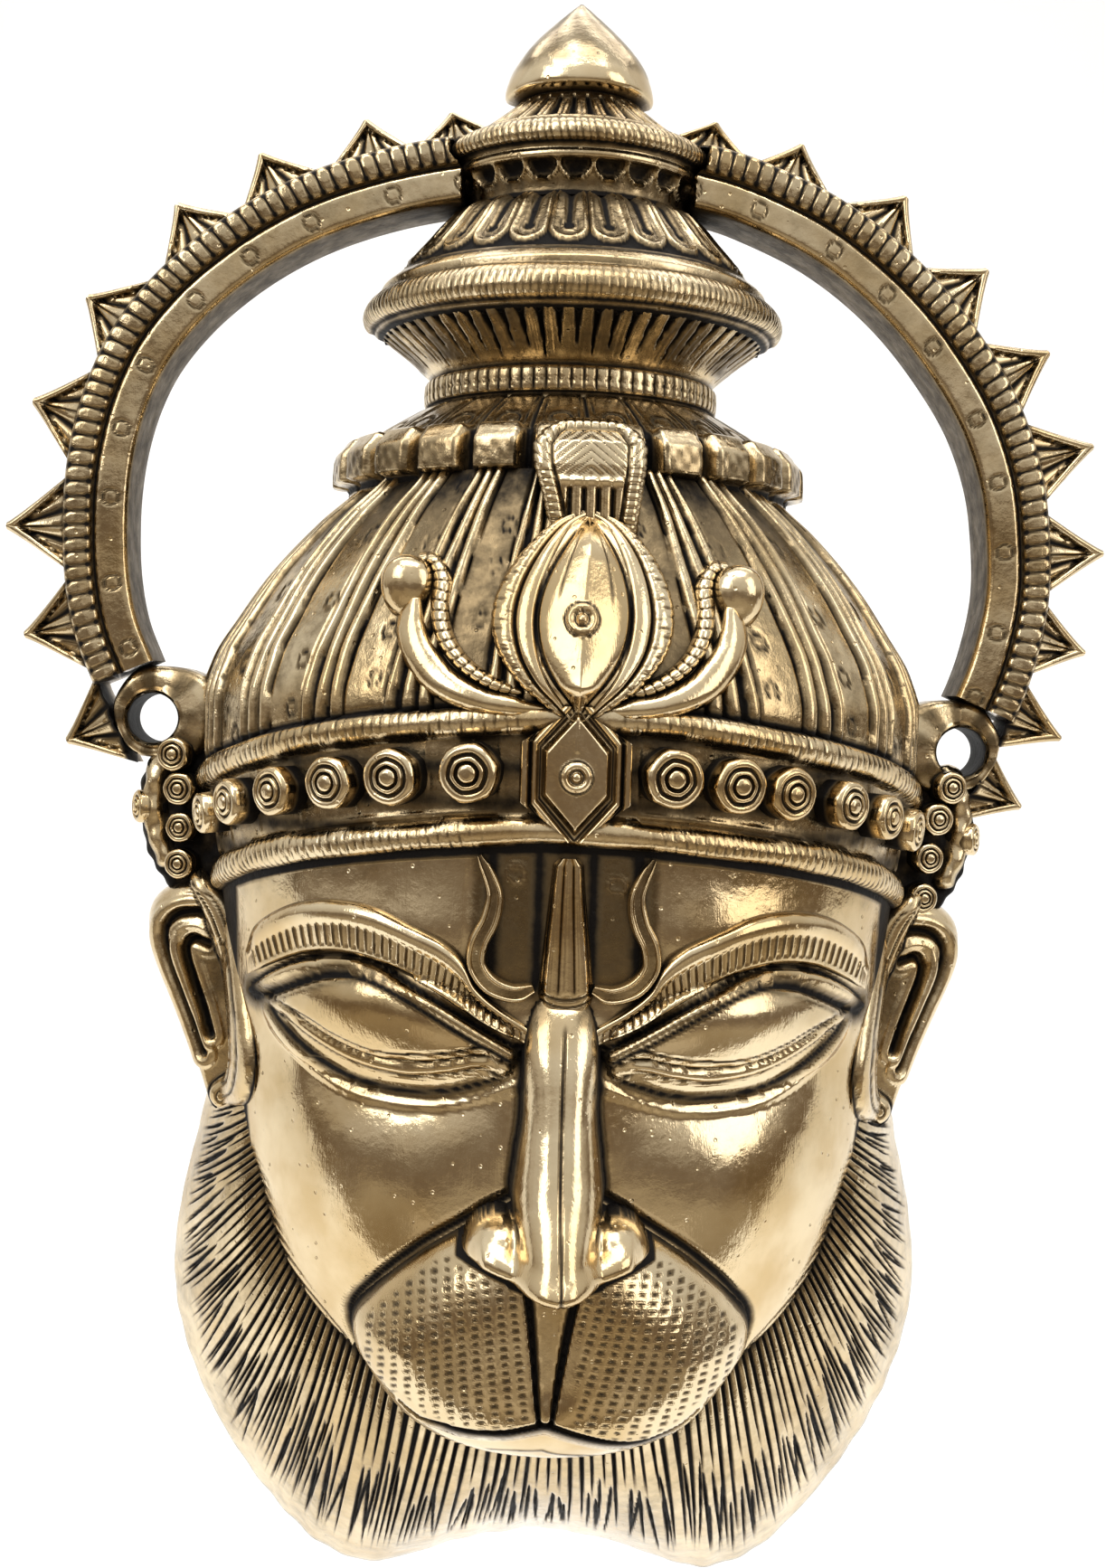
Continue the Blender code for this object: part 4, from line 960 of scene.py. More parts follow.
@dataclass
class Headband:
    """The bowed band over the brow: two ropes and a sunk field that carries six-sided studs."""

    foundry: Foundry
    upper: float = -1.4
    lower: float = -20.4
    half_height: float = 2.5
    proud: float = 2.3
    pitch: float = 1.75
    stud_radius: float = 5.2
    flat_share: float = 0.985
    left_studs: tuple = (13.2, 24.0, 33.6, 44.2, 55.5, 66.0)
    right_studs: tuple = (13.6, 22.9, 31.4, 42.5, 52.8, 64.0)

    def build(self) -> None:
        """The band, then its studs."""
        rows, columns = 50, 520
        turns = np.linspace(-math.pi / 2, math.pi / 2, columns)
        local = np.linspace(1.4, -23.6, rows)[:, None] + np.zeros((1, columns))
        levels = local - bow(np.sin(turns))[None, :]
        across, out, degrees = head_grid(levels, turns)
        skin = Skin(across, out, levels)
        rise, patina_and_shade = np.full(levels.shape, -0.9), 0.40 + 0.22 * np.sin(levels * 1.1)
        arc = degrees * math.pi / 180 * 68.0
        for number, middle in enumerate((self.upper, self.lower)):
            swell = 0.25 * np.sin(arc * 0.11 + number * 2.0)
            height = self.half_height + 0.35 * ease(np.abs(degrees), 20.0, 50.0) + 0.15 * np.sin(arc * 0.3)
            cross = (local - middle - swell) / height
            body = np.sqrt(np.clip(1.0 - cross**2, 0.0, 1.0))
            count = arc / self.pitch + cross * (0.28 if number else 0.16) + 0.15 * np.sin(arc * 0.21)
            tick = notch(wave(count), 0.16) * ease(body, 0.15, 0.5)
            fade = ease(np.abs(degrees), 9.0, 16.0) if number else ease(np.abs(degrees), 6.0, 8.0)
            rope = self.proud * body - 0.32 * tick * fade
            inside = np.abs(cross) < 1.0
            rise = np.where(inside, np.maximum(rise, rope - 0.4), rise)
            patina_and_shade = np.where(inside & (body > 0.3), 0.55 * tick * fade, patina_and_shade)
        ledge = notch(local - self.lower - 3.5, 0.7) * ease(np.abs(degrees), 9.5, 10.5)
        rise, patina_and_shade = rise + 0.5 * ledge * ease(np.abs(degrees), 48.0, 40.0), patina_and_shade
        between = ease(local, -17.0, -16.0) * ease(local, -3.2, -4.2)
        bar = notch(wave((np.abs(degrees) - 9.6) / 10.8), 0.035) * between
        rise = rise + 0.35 * bar
        above = ease(local, 0.4, 1.0) + ease(local, -22.4, -23.2)
        rise = rise - 0.6 * above
        skin.chase(rise, np.maximum(patina_and_shade, above))
        pick = sparse(rows, 8)
        few = sparse(columns, 44)
        self.foundry.shell("headband", skin, head_back(levels[pick][:, few], turns[few]), Finish.CHASED)
        self.build_studs()

    def stud(self, radius: float, height: float, sides: int) -> bpy.types.Object:
        """One stud at the origin, facing up: a bevelled block with a raised ring and a dot."""
        bpy.ops.object.select_all(action="DESELECT")
        bpy.ops.mesh.primitive_cylinder_add(vertices=2 * sides, radius=radius, depth=height,
                                            location=(0, 0, 0),
                                            end_fill_type="NGON")
        made = bpy.context.object
        for number, vertex in enumerate(made.data.vertices):
            if number // 2 % 2:
                vertex.co.x *= self.flat_share
                vertex.co.y *= self.flat_share
        bpy.ops.object.mode_set(mode="EDIT")
        bpy.ops.mesh.select_mode(type="FACE")
        bpy.ops.mesh.select_all(action="DESELECT")
        bpy.ops.object.mode_set(mode="OBJECT")
        for face in made.data.polygons:
            face.select = face.normal.z > 0.9
        bpy.ops.object.mode_set(mode="EDIT")
        for thickness, move in ((0.13, 0.12), (0.15, -0.02), (0.03, -0.12), (0.08, 0.0), (0.03, 0.18),
                                (0.12, 0.02), (0.03, -0.18), (0.06, 0.0), (0.03, 0.18), (0.11, 0.07)):
            bpy.ops.mesh.inset(thickness=thickness * radius, depth=move * radius)
        bpy.ops.mesh.select_all(action="SELECT")
        bpy.ops.object.mode_set(mode="OBJECT")
        bevel = made.modifiers.new("worn_edges", "BEVEL")
        bevel.width = radius * 0.09
        bevel.segments = 1
        bevel.limit_method = "ANGLE"
        bevel.angle_limit = math.radians(28)
        bpy.ops.object.modifier_apply(modifier="worn_edges")
        round_off = made.modifiers.new("cast_round", "SUBSURF")
        round_off.levels = round_off.render_levels = 1
        bpy.ops.object.modifier_apply(modifier="cast_round")
        return made

    def place_studs(self, name: str, places: list[tuple[Vector, Vector, float, float]], sides: int,
                    finish: Finish) -> None:
        """Copies of one stud, joined into a piece.

        Args:
            name: Name of the piece.
            places: Centre, direction, radius and turn about it for each copy, in carving units.
            sides: Sides of the stud.
            finish: Its brass.
        """
        model = self.stud(1.0, 1.5, sides)
        copies = []
        for centre, facing, radius, spin in places:
            one = model.copy()
            one.data = model.data.copy()
            bpy.context.collection.objects.link(one)
            turn = facing.to_track_quat("Z", "Y").to_matrix().to_4x4() @ Matrix.Rotation(spin, 4, "Z")
            spot = Vector((centre.x, centre.y, centre.z - MOUNT_LEVEL)) * UNIT
            one.data.transform(Matrix.Translation(spot) @ turn @ Matrix.Scale(radius * UNIT, 4))
            heights = np.array([v.co.z for v in model.data.vertices])
            far = np.array([math.hypot(v.co.x, v.co.y) for v in model.data.vertices])
            dark = np.where(heights < 0.35, 0.9, np.where((far < 0.68) & (heights < 0.79), 0.7, 0.0))
            stain_points(one, dark)
            copies.append(one)
        bpy.data.objects.remove(model, do_unlink=True)
        self.foundry.gather(name, copies, finish, 40.0)

    def on_head(self, x: float, z: float) -> tuple[Vector, Vector]:
        """A place on the head and the direction it faces there."""
        step = 0.5

        def spot(a: float, b: float) -> Vector:
            """The place itself."""
            return Vector((a, -float(head_out(np.array(a), np.array(b))), b))

        facing = (spot(x, z - step) - spot(x, z + step)).cross(spot(x + step, z) - spot(x - step, z))
        return spot(x, z), facing.normalized()

    def build_studs(self) -> None:
        """Studs along the band, and the small ones that run down in front of the ears."""
        middle = (self.upper + self.lower) / 2 + 0.9
        places = []
        for side, turns in ((-1, self.left_studs), (1, self.right_studs)):
            for number, turn in enumerate(turns):
                share = math.sin(math.radians(turn))
                level = middle - float(bow(np.array(share)))
                width = float(HEAD.at(level))
                spot, facing = self.on_head(side * share * width, level)
                radius = self.stud_radius * (1.0 - 0.045 * number)
                places.append((spot + facing * 0.9, facing, radius, 0.26 * side + 0.35 * number))
        self.place_studs("headband_studs", places, 6, Finish.BRIGHT)
        small = []
        for x, z, radius in ((-73.8, -10.6, 3.4), (-72.6, -17.2, 3.3), (-72.3, -24.6, 3.0),
                             (-72.4, -31.6, 3.0), (75.0, -12.8, 3.3), (72.6, -19.0, 3.3),
                             (71.2, -26.6, 3.1), (70.4, -34.4, 3.0)):
            side = math.copysign(1.0, x)
            small.append((Vector((x, -12.2, z)), Vector((0.25 * side, -1.0, 0.0)).normalized(), radius,
                          0.4 * z))
        for x, z in ((-79.6, -21.0), (79.4, -23.0)):
            small.append((Vector((x, -8.5, z)), Vector((math.copysign(1.0, x), -0.55, 0.0)).normalized(),
                          3.3, 0.2))
        self.place_studs("temple_studs", small, 6, Finish.BRIGHT)


# The arch


@dataclass
class Arch:
    """The horseshoe bar round the head, its spikes and the lugs with screw holes at its feet."""

    foundry: Foundry
    line: tuple = ((-81.2, -11.0), (-87.4, 3.0), (-91.2, 12.4), (-93.2, 22.2), (-93.8, 32.4), (-93.4, 42.4),
                   (-91.9, 51.8), (-89.2, 60.8), (-85.0, 69.4), (-78.8, 77.6), (-71.4, 84.8), (-62.6, 91.4),
                   (-52.6, 97.0), (-41.4, 101.4), (-29.4, 104.6), (-15.0, 106.9), (0.0, 107.8), (14.6, 107.2),
                   (28.2, 105.1), (38.6, 101.6), (49.0, 96.8), (59.0, 90.2), (68.4, 81.8), (77.0, 71.4),
                   (83.8, 60.6), (88.4, 48.4), (90.4, 36.4), (90.8, 24.4), (88.8, 12.6), (85.4, 2.2), (79.2,
                                                                                                       -11.0))
    tick_pitch: float = 2.75
    feet: tuple = (3.4, 1.2)
    lugs: tuple = ((-78.8, -3.8), (77.7, -5.9))
    tips: tuple = ((-96.1, -8.8), (-104.6, 11.5), (-108.4, 32.4), (-103.7, 56.5), (-93.8, 76.6),
                   (-76.9, 95.0), (-61.2, 105.0), (-41.0, 112.2), (-24.8, 114.0), (26.4, 113.6),
                   (43.2, 110.6), (63.8,
                                                                                                  101.3),
                   (80.2, 87.9), (92.9, 72.4), (102.3, 54.7), (105.2, 33.8), (102.4, 14.2), (98.3, -2.8),
                   (90.3, -17.6))
    section: tuple = ((3.3, 0.25), (3.3, 5.0), (3.2, 8.6), (3.05, 11.0), (2.8, 12.4), (2.5, 13.2),
                      (2.0, 13.6), (0.0, 13.85), (-2.0, 13.6), (-2.5, 13.2), (-2.75, 12.3), (-3.05, 12.1),
                      (-3.35, 12.5), (-3.65, 13.1), (-4.2, 13.25), (-8.3, 13.2), (-8.9, 13.05),
                      (-9.45, 12.3), (-9.6, 11.2), (-9.65, 6.0), (-9.65, 0.25))

    def path(self, count: int, feet: tuple[float, float] = (-11.0, -11.0)) -> tuple[Grid, Grid, float]:
        """Evenly spaced places along the middle of the tick band, from the left foot to the right.

        Args:
            count: How many.
            feet: Levels at which the left and the right leg end.

        Returns:
            Places, their outward normals, and the length.
        """
        fine = smooth_line(self.line, 4800)
        fine = fine[fine[:, 1] >= np.where(fine[:, 0] < 0, feet[0], feet[1])]
        steps = np.concatenate([[0.0], np.cumsum(np.linalg.norm(np.diff(fine, axis=0), axis=1))])
        places = np.linspace(0, steps[-1], count)
        even = np.stack([np.interp(places, steps, fine[:, k]) for k in (0, 1)], axis=1)
        ahead = np.gradient(even, axis=0)
        for _ in range(24):
            ahead[1:-1] = (ahead[:-2] + ahead[1:-1] * 2 + ahead[2:]) / 4
        ahead /= np.linalg.norm(ahead, axis=1, keepdims=True)
        return even, np.stack([-ahead[:, 1], ahead[:, 0]], axis=1), float(steps[-1])

    def build_bar(self) -> None:
        """Tick band, groove, plain band with ring punches, and the brushed inner wall."""
        columns = 980
        line, normal, length = self.path(columns, self.feet)
        section = self.fine_section()
        offset, out = section[:, :1], section[:, 1:]
        across = line[None, :, 0] + offset * normal[None, :, 0]
        up = line[None, :, 1] + offset * normal[None, :, 1]
        wobble = 0.12 * np.sin(np.linspace(0, 60, columns))[None, :]
        near = 21.0 + 2.6 * ease(up, 102.5, 105.5)
        beside = 0.08 + 0.92 * ease(np.abs(across) - near, 0.0, 1.4)
        skin = Skin(across, (out + wobble * (out > 11.0)) * beside, up)
        arc = np.linspace(0, length, columns)[None, :] + np.zeros(across.shape)
        level = offset + np.zeros(across.shape)
        band = ease(np.abs(level), 2.9, 2.3) * (out > 11.8)
        count = arc / self.tick_pitch + 0.12 * np.sin(arc * 0.23) + 0.03 * level
        apart = wave(count) * self.tick_pitch
        spread = ease(np.abs(level), 0.5, 2.3)
        nick = notch(apart, 0.22 + 0.62 * spread, 0.8) * spread
        joint = notch(apart, 0.36, 0.8) * (0.62 + 0.3 * ease(up, 20.0, 70.0))
        cut = np.maximum(nick, joint) * band
        rise, patina_and_shade = -0.5 * cut, 0.14 + 1.1 * cut
        groove = notch(level + 3.0, 0.75) * (out > 11.0)
        patina_and_shade = np.maximum(patina_and_shade, groove)
        outer = ease(level, 2.6, 3.0)
        patina_and_shade = np.maximum(patina_and_shade, 0.9 * outer * ease(out + 0 * level, 7.0, 11.0) + 0.4 * outer)
        along = wave((arc - 4.0) / 15.4) * 15.4 + 1.2 * np.sin(np.round((arc - 4.0) / 15.4) * 2.1)
        ring = np.abs(np.hypot(along, level + 6.3) - 1.55)
        rise = rise - 0.32 * notch(ring, 0.42) * (out > 12.5)
        patina_and_shade = np.maximum(patina_and_shade, 0.75 * notch(ring, 0.42) * (out > 12.5))
        patina_and_shade = np.maximum(patina_and_shade, 0.62 * ease(level, -9.2, -9.6))
        skin.chase(rise, patina_and_shade)
        few = sparse(columns, 200)
        offsets = np.array([3.1, 0.0, -5.0, -9.4])[:, None]
        flat_x = line[None, few, 0] + offsets * normal[None, few, 0]
        flat_z = line[None, few, 1] + offsets * normal[None, few, 1]
        back = np.stack([flat_x, np.full(flat_x.shape, -0.02), flat_z], axis=2)
        self.foundry.shell("arch_bar", skin, back, Finish.BRIGHT, 60.0)

    def fine_section(self) -> Grid:
        """The bar's section with extra points where it is chased."""
        rows = []
        for (a, b), (c, d) in zip(self.section, self.section[1:]):
            parts = max(1, int(round(math.hypot(c - a, d - b) / (0.55 if min(b, d) > 11.0 else 3.0))))
            rows += [(a + (c - a) * k / parts, b + (d - b) * k / parts) for k in range(parts)]
        return np.array(rows + [self.section[-1]])

    def build_spikes(self) -> None:
        """Flat pyramids on the bar's outer edge, with smooth rims and cut lines that meet at the tips."""
        line, normal, length = self.path(2400)
        rows, columns = 20, 31
        made = []
        places = []
        for tip in self.tips:
            apart = np.hypot(line[:, 0] - tip[0], line[:, 1] - tip[1])
            places.append(int(np.argmin(apart)))
        gaps = [abs(b - a) * length / 2400 for a, b in zip(places, places[1:])]
        for number, (tip, at) in enumerate(zip(self.tips, places)):
            reach = math.hypot(line[at, 0] - tip[0], line[at, 1] - tip[1]) - 2.5
            reach = min(max(reach, 6.0), 13.0)
            left = min(gaps[number - 1] if number else 18.0, 21.0) / 2
            right = min(gaps[number] if number < len(gaps) else 18.0, 21.0) / 2
            out_way, along = normal[at], np.array([normal[at][1], -normal[at][0]])
            u = np.linspace(-1, 1, columns)[None, :]
            v = np.linspace(1, 0, rows)[:, None]
            base = np.where(u < 0, left, right)
            narrow = (1 - v) ** 1.08 * 0.92 + 0.08
            lateral = u * base * narrow
            sag = lateral**2 / 190.0
            outward = 2.5 + reach * v - sag * (1 - v)
            across = line[at, 0] + out_way[0] * outward + along[0] * lateral
            up = line[at, 1] + out_way[1] * outward + along[1] * lateral
            from_edge = np.minimum(base * narrow * (1 - np.abs(u)) * 0.8, reach * (1 - v) * 0.9 + 0.5 + 0 * u)
            rim = hill(from_edge - 0.85, 0.95)
            within = ease(from_edge, 1.5, 1.9)
            facet = 1.0 - np.abs(u)
            out = 6.6 + 2.4 * facet * within * (1 - v) ** 0.4 + 1.9 * rim + 2.4 * (1 - v) ** 2
            out = np.where(np.abs(u) > 0.985, 5.6, out)
            skin = Skin(across, out, up)
            cut = np.zeros(out.shape)
            for middle, half in ((-0.34, 0.075), (0.34, 0.075)):
                width = half * (1.0 + 1.1 * (1 - v))
                cut = np.maximum(cut, np.clip(1 - np.abs(u - middle) / width, 0, 1) ** 0.8)
            cut = np.maximum(cut, 0.7 * notch(u, 0.05)) * within
            edge = notch(from_edge - 1.85, 0.42) * ease(v, 0.9, 0.8)
            foot = ease(v, 0.12, 0.0)
            patina_and_shade = np.maximum(np.maximum(cut, 0.8 * edge), np.maximum(foot, 0.14))
            skin.chase(-0.8 * cut - 0.4 * edge, patina_and_shade)
            few_rows = sparse(rows, 4)
            few = sparse(columns, 7)
            back = skin.points[few_rows][:, few].copy()
            back[:, :, 1] = -0.1
            made.append(self.foundry.close(f"spike_{number}", skin, back))
        self.foundry.gather("arch_spikes", made, Finish.BRIGHT, 50.0)

    def build_lugs(self) -> None:
        """Round lugs with screw holes, each turned from a ring."""
        made = []
        for side, lug_middle in ((-1, self.lugs[0]), (1, self.lugs[1])):
            bpy.ops.object.select_all(action="DESELECT")
            bpy.ops.mesh.primitive_torus_add(major_segments=72, minor_segments=28, major_radius=1.0,
                                             minor_radius=0.25,
                                             location=(0, 0, 0))
            lug = bpy.context.object
            plain = np.array([v.co for v in lug.data.vertices])
            turn = np.arctan2(plain[:, 1], plain[:, 0])
            ring = np.arctan2(plain[:, 2], np.hypot(plain[:, 0], plain[:, 1]) - 1.0)
            profile = ((0.0, 10.6, 6.5), (0.7, 10.6, 11.0), (0.95, 9.9, 12.6), (1.25, 8.6, 13.2),
                       (1.75, 6.2, 13.1), (2.1, 5.2, 12.6), (2.5, 4.75, 11.4), (3.14, 4.7, 6.0),
                       (3.8, 4.7, 0.6), (4.1, 5.4,
                                                                                                0.2),
                       (5.3, 9.8, 0.2), (5.6, 10.6, 0.9), (6.2832, 10.6, 6.5))
            table = Table(profile)
            ring = np.mod(ring, 2 * math.pi)
            radius, out = table.at(ring, 0), table.at(ring, 1)
            to_head = np.clip(-side * np.cos(turn), 0.0, 1.0)
            reach = 0.36 + 1.1 * to_head**1.5 + 0.5 * np.clip(np.sin(turn), 0,
                                                              1) + 0.05 * np.sin(turn * 5 + side)
            out = np.where(radius > 6.0, out * (0.84 + 0.16 * to_head), out)
            radius = np.where(radius > 6.0, 6.0 + (radius - 6.0) * reach, radius)
            across = lug_middle[0] + radius * np.cos(turn)
            up = lug_middle[1] + radius * np.sin(turn)
            place_points(lug, across, out, up)
            dark = np.clip(ease(radius, 5.1, 4.72) * ease(out, 12.6, 11.0) + 0.25 + 0.25
                           * np.sin(turn * 9 + out), 0, 1)
            stain_points(lug, dark * ease(out, 14.0, 12.4))
            lug.name = f"lug_{side}"
            made.append(lug)
        self.foundry.gather("screw_lugs", made, Finish.CHASED, 60.0)

    def build(self) -> None:
        """Bar, spikes and lugs."""
        self.build_bar()
        self.build_spikes()
        self.build_lugs()


# The beard


@dataclass
class Beard:
    """The full beard that fans out from the face, cut with long tapering strokes."""

    foundry: Foundry
    rows: int = 58
    columns: int = 960
    fall: float = 1.7
    stroke_gap: float = 2.1
    root: tuple = (
        (53.0, -68.0, 27.0), (54.0, -78.0, 27.5), (52.5, -87.0, 30.5), (50.0, -95.0, 32.0), (46.5, -102.0,
                                                                                             34.0),
        (41.0, -107.5, 37.0), (34.5, -113.5, 40.5), (25.0, -118.5, 44.0), (13.0, -121.5, 47.0), (0.0, -122.0,
                                                                                                 48.0),
    )
    tip: tuple = (
        (67.0, -72.0, 5.0), (69.4, -84.0, 4.6), (72.3, -97.0, 4.4), (73.8, -110.0, 4.2), (72.8, -121.0, 4.2),
        (69.6, -132.0, 4.2), (65.0, -142.0, 4.2), (59.0, -151.6, 4.2), (52.0, -160.4, 4.2), (44.0, -168.0,
                                                                                             4.2),
        (34.6, -171.8, 4.2), (26.5, -170.6, 4.2), (14.0, -166.6, 4.2), (0.0, -164.2, 4.2),
    )

    def strokes(self, low: float, high: float, reach: Grid) -> tuple[Grid, Grid]:
        """The cut strokes, laid out straight: how deep each place is cut, from nought to one.

        Args:
            low: Where the fan starts, in carving units along its middle.
            high: Where it ends.
            reach: Share of the way from root to rim of each row.

        Returns:
            Places along the fan, and the depths, rows by places.
        """
        random = np.random.default_rng(1108)
        along = np.arange(low, high, 0.16)
        cut = np.zeros((len(reach), len(along)))
        for number in range(int((high - low) / self.stroke_gap)):
            middle = low + (number + 0.5) * self.stroke_gap + random.normal(0.0, 0.12)
            first = random.uniform(0.88, 0.985) if random.random() < 0.66 else random.uniform(0.42, 0.62)
            runs = [(-0.3, first, middle, 0.74, 0.3)]
            if first < 0.7:
                runs.append((first - 0.06, random.uniform(0.92, 0.99), middle + 0.5, 0.48, 1.0))
            if random.random() < 0.75:
                start = random.uniform(0.30, 0.62)
                runs.append((start, random.uniform(0.90, 0.99), middle + self.stroke_gap / 2, 0.40, 1.0))
            for start, end, spot, width, drift in runs:
                inside = (reach > start) & (reach < end)
                t = (reach[inside] - start) / (end - start)
                half = width * np.sqrt(np.clip(t * 4.0, 0, 1)) * np.clip((1 - t) * 1.25, 0, 1) ** 0.8
                sway = spot + random.normal(0.0, drift) * (t - 0.5) + 0.2 * np.sin(number * 0.7
                                                                                   + reach[inside] * 4.0)
                near = np.abs(along - spot) < 2.4
                apart = np.abs(along[near][None, :] - sway[:, None])
                stroke = np.clip(1 - apart / np.maximum(half[:, None], 0.05), 0, 1) ** 0.7
                block = np.ix_(inside, near)
                cut[block] = np.maximum(cut[block], stroke * ease(half, 0.06, 0.25)[:, None])
        return along, cut

    def build(self) -> None:
        """Lays the fan, cuts its strokes and closes it over the hollow."""
        place = np.linspace(-1.0, 1.0, self.columns)
        knots = 400
        root_line, tip_line = smooth_line(self.root, knots), smooth_line(self.tip, knots)
        share = np.linspace(0, 1, knots)
        at = 1.0 - np.abs(place)
        root = np.stack([np.interp(at, share, root_line[:, k]) for k in range(3)], axis=1)
        tip = np.stack([np.interp(at, share, tip_line[:, k]) for k in range(3)], axis=1)
        side = np.sign(place) + (place == 0)
        reach = np.linspace(0.0, 1.0, self.rows)
        t = reach[:, None]
        across = side * (root[:, 0] + (tip[:, 0] - root[:, 0]) * t)
        level = root[:, 1] + (tip[:, 1] - root[:, 1]) * t
        out = tip[:, 2] + (root[:, 2] - tip[:, 2]) * (1 - t**self.fall)
        middle = (root + tip) / 2
        steps = np.hypot(np.diff(side * middle[:, 0]), np.diff(middle[:, 1]))
        along = np.concatenate([[0.0], np.cumsum(steps)])
        swell = 0.14 * np.sin(along * 2 * math.pi / 5.9)[None, :] * t + 0.2 * np.sin(along * 0.9 + 6 * t) * t
        edge = 0.03 * np.sin(along * 2 * math.pi / 5.9)[None, :] * ease(t, 0.93, 1.0)
        outward = np.stack([side * (tip[:, 0] - root[:, 0]), tip[:, 1] - root[:, 1]])
        outward = outward / np.linalg.norm(outward, axis=0)
        skin = Skin(across + outward[0] * edge, out + swell, level + outward[1] * edge)
        from_middle = along - along[-1] / 2
        lean = 1.5 * np.clip((np.abs(place) - 0.35) / 0.65, 0, 1) ** 1.1
        rooted = from_middle[None, :] + np.sign(place)[None, :] * lean[None, :] * (0.75 * t + 0.25 * t * t)
        spread = along[-1] / 2 + 24.0
        laid, depths = self.strokes(-spread, spread, reach)
        cut = np.stack([np.interp(row, laid, depth) for row, depth in zip(rooted, depths)])
        fade = ease(t, 1.0, 0.97) * 0.3 + 0.7
        wash = 0.14 + 0.05 * np.sin(along * 0.31)[None, :] * np.sin(5.0 * t + 1.0)
        patina_and_shade = np.clip(cut * 1.35 + wash, 0, 1)
        patina_and_shade = np.maximum(patina_and_shade, 0.8 * ease(t, 0.10, 0.02))
        skin.chase(-0.85 * cut * fade, patina_and_shade)
        rim = skin.points[-1:].copy()
        wall = [rim + np.array([0.0, drop, 0.0]) for drop in (1.2, 2.6)]
        last = rim.copy()
        last[:, :, 1] = -0.2
        skin.points = np.concatenate([skin.points, *wall, last])
        skin.patina_and_shade = np.concatenate([skin.patina_and_shade, np.full((3, self.columns), 0.15)])
        few_rows = np.concatenate([sparse(self.rows, 16), [self.rows + 2]])
        few = sparse(self.columns, 120)
        back = skin.points[few_rows][:, few].copy()
        inner = hollow_depth(back[:, :, 0], back[:, :, 2], 1.0) + 0.2
        front = -back[:, :, 1]
        LOG.info("beard over hollow: %.2f at least", float((front[:-1] - inner[:-1]).min()))
        back[:, :, 1] = -np.minimum(inner, np.maximum(front - 1.0, 0.05))
        self.foundry.shell("beard", skin, back, Finish.BRIGHT, 80.0)


# The face


EYELID_TOP = Route(((52.0, -52.0), (46.0, -48.7), (40.2, -46.4), (33.4, -45.7), (27.0, -47.1), (20.8, -49.5),
                    (15.0, -52.6), (10.0, -55.8), (6.5, -58.5)))
EYELID_EDGE = Route(((52.5, -52.4), (45.0, -54.4), (39.0, -57.0), (32.0, -59.1), (24.0, -59.0), (18.0, -58.0),
                     (13.5, -57.0), (10.6, -58.4), (7.4, -60.8)), 60)
EYE_FOLD = Route(((51.0, -53.8), (44.0, -57.9), (36.0, -61.3), (27.0, -62.5), (20.0, -61.6), (14.0, -60.2),
                  (9.7, -61.0)))
EYE_CREASE = Route(((53.6, -53.4), (49.4, -58.0), (43.0, -62.6), (36.0, -65.8), (27.4, -66.8), (19.5, -66.2),
                    (13.0, -64.1), (7.4, -61.8)))
BROW_FOLD = Route(((55.0, -52.4), (50.0, -48.9), (44.0, -46.0), (38.0, -44.9), (32.0, -45.6), (26.0, -48.0),
                   (20.0, -51.2), (14.0, -54.6), (8.0, -57.8)))
BROW_TOP = ((57.4, -45.2), (55.4, -40.6), (50.9, -36.9), (45.5, -34.4), (39.0, -33.4), (32.5, -34.1),
            (26.0, -36.7), (20.4, -39.2), (16.8, -42.4), (14.6, -46.6), (10.4, -50.2), (5.2, -53.4),
            (2.6, -55.2))
BROW_LOW = ((57.0, -50.4), (54.6, -49.0), (50.6, -46.7), (44.4, -44.0), (37.8, -43.1), (31.0, -44.2),
            (25.6, -46.2), (21.0, -48.5), (17.0, -50.8), (13.4, -52.9), (9.4, -54.9), (5.6, -56.6), (3.0,
                                                                                                     -57.8))
NOSE_BRIDGE = Table(((-99.0, 0.0), (-97.2, 9.0), (-95.4, 18.5), (-93.0, 22.0), (-88.0, 20.0), (-80.0, 14.6),
                     (-70.0, 10.4), (-60.0, 7.4), (-55.0, 5.0), (-51.0, 2.6), (-48.0, 0.0)))
NOSE_WIDTH = Table(((-97.0, 5.6), (-94.0, 7.4), (-88.0, 7.0), (-80.0, 7.6), (-75.0, 7.1), (-66.0, 6.2),
                    (-58.0, 6.2), (-53.0, 5.6), (-48.0, 4.0)))
MUZZLE_EDGE = Route(((5.0, -80.8), (8.0, -82.9), (11.2, -85.0), (16.6, -88.4), (22.2, -92.2), (27.4, -96.8),
                     (31.8, -101.6), (34.6, -105.4), (35.2, -108.8), (34.2, -112.6), (31.8, -116.8), (28.4,
                                                                                                      -120.8),
                     (24.4, -124.0), (19.2, -126.4), (13.4, -127.8), (6.5, -128.5), (-3.0, -128.8)), 90)
MOUTH = Route(((-25.6, -117.8), (-22.0, -120.2), (-18.7, -120.8), (-14.8, -121.5), (-7.9, -120.8),
               (-2.9, -119.3), (-0.9, -118.9), (1.4, -119.7), (4.1, -120.8), (10.2, -122.9), (15.2, -123.7),
               (18.1, -123.0), (22.0, -121.0), (25.4, -118.2)), 80)
BEARD_EDGE = Table(((-60.0, 60.0), (-68.0, 56.0), (-78.0, 54.9), (-87.0, 53.7), (-95.0, 51.2), (-102.0, 47.4),
                    (-107.5, 43.2), (-112.0, 39.4), (-116.0, 35.6), (-120.0, 31.0), (-124.0, 26.0)))


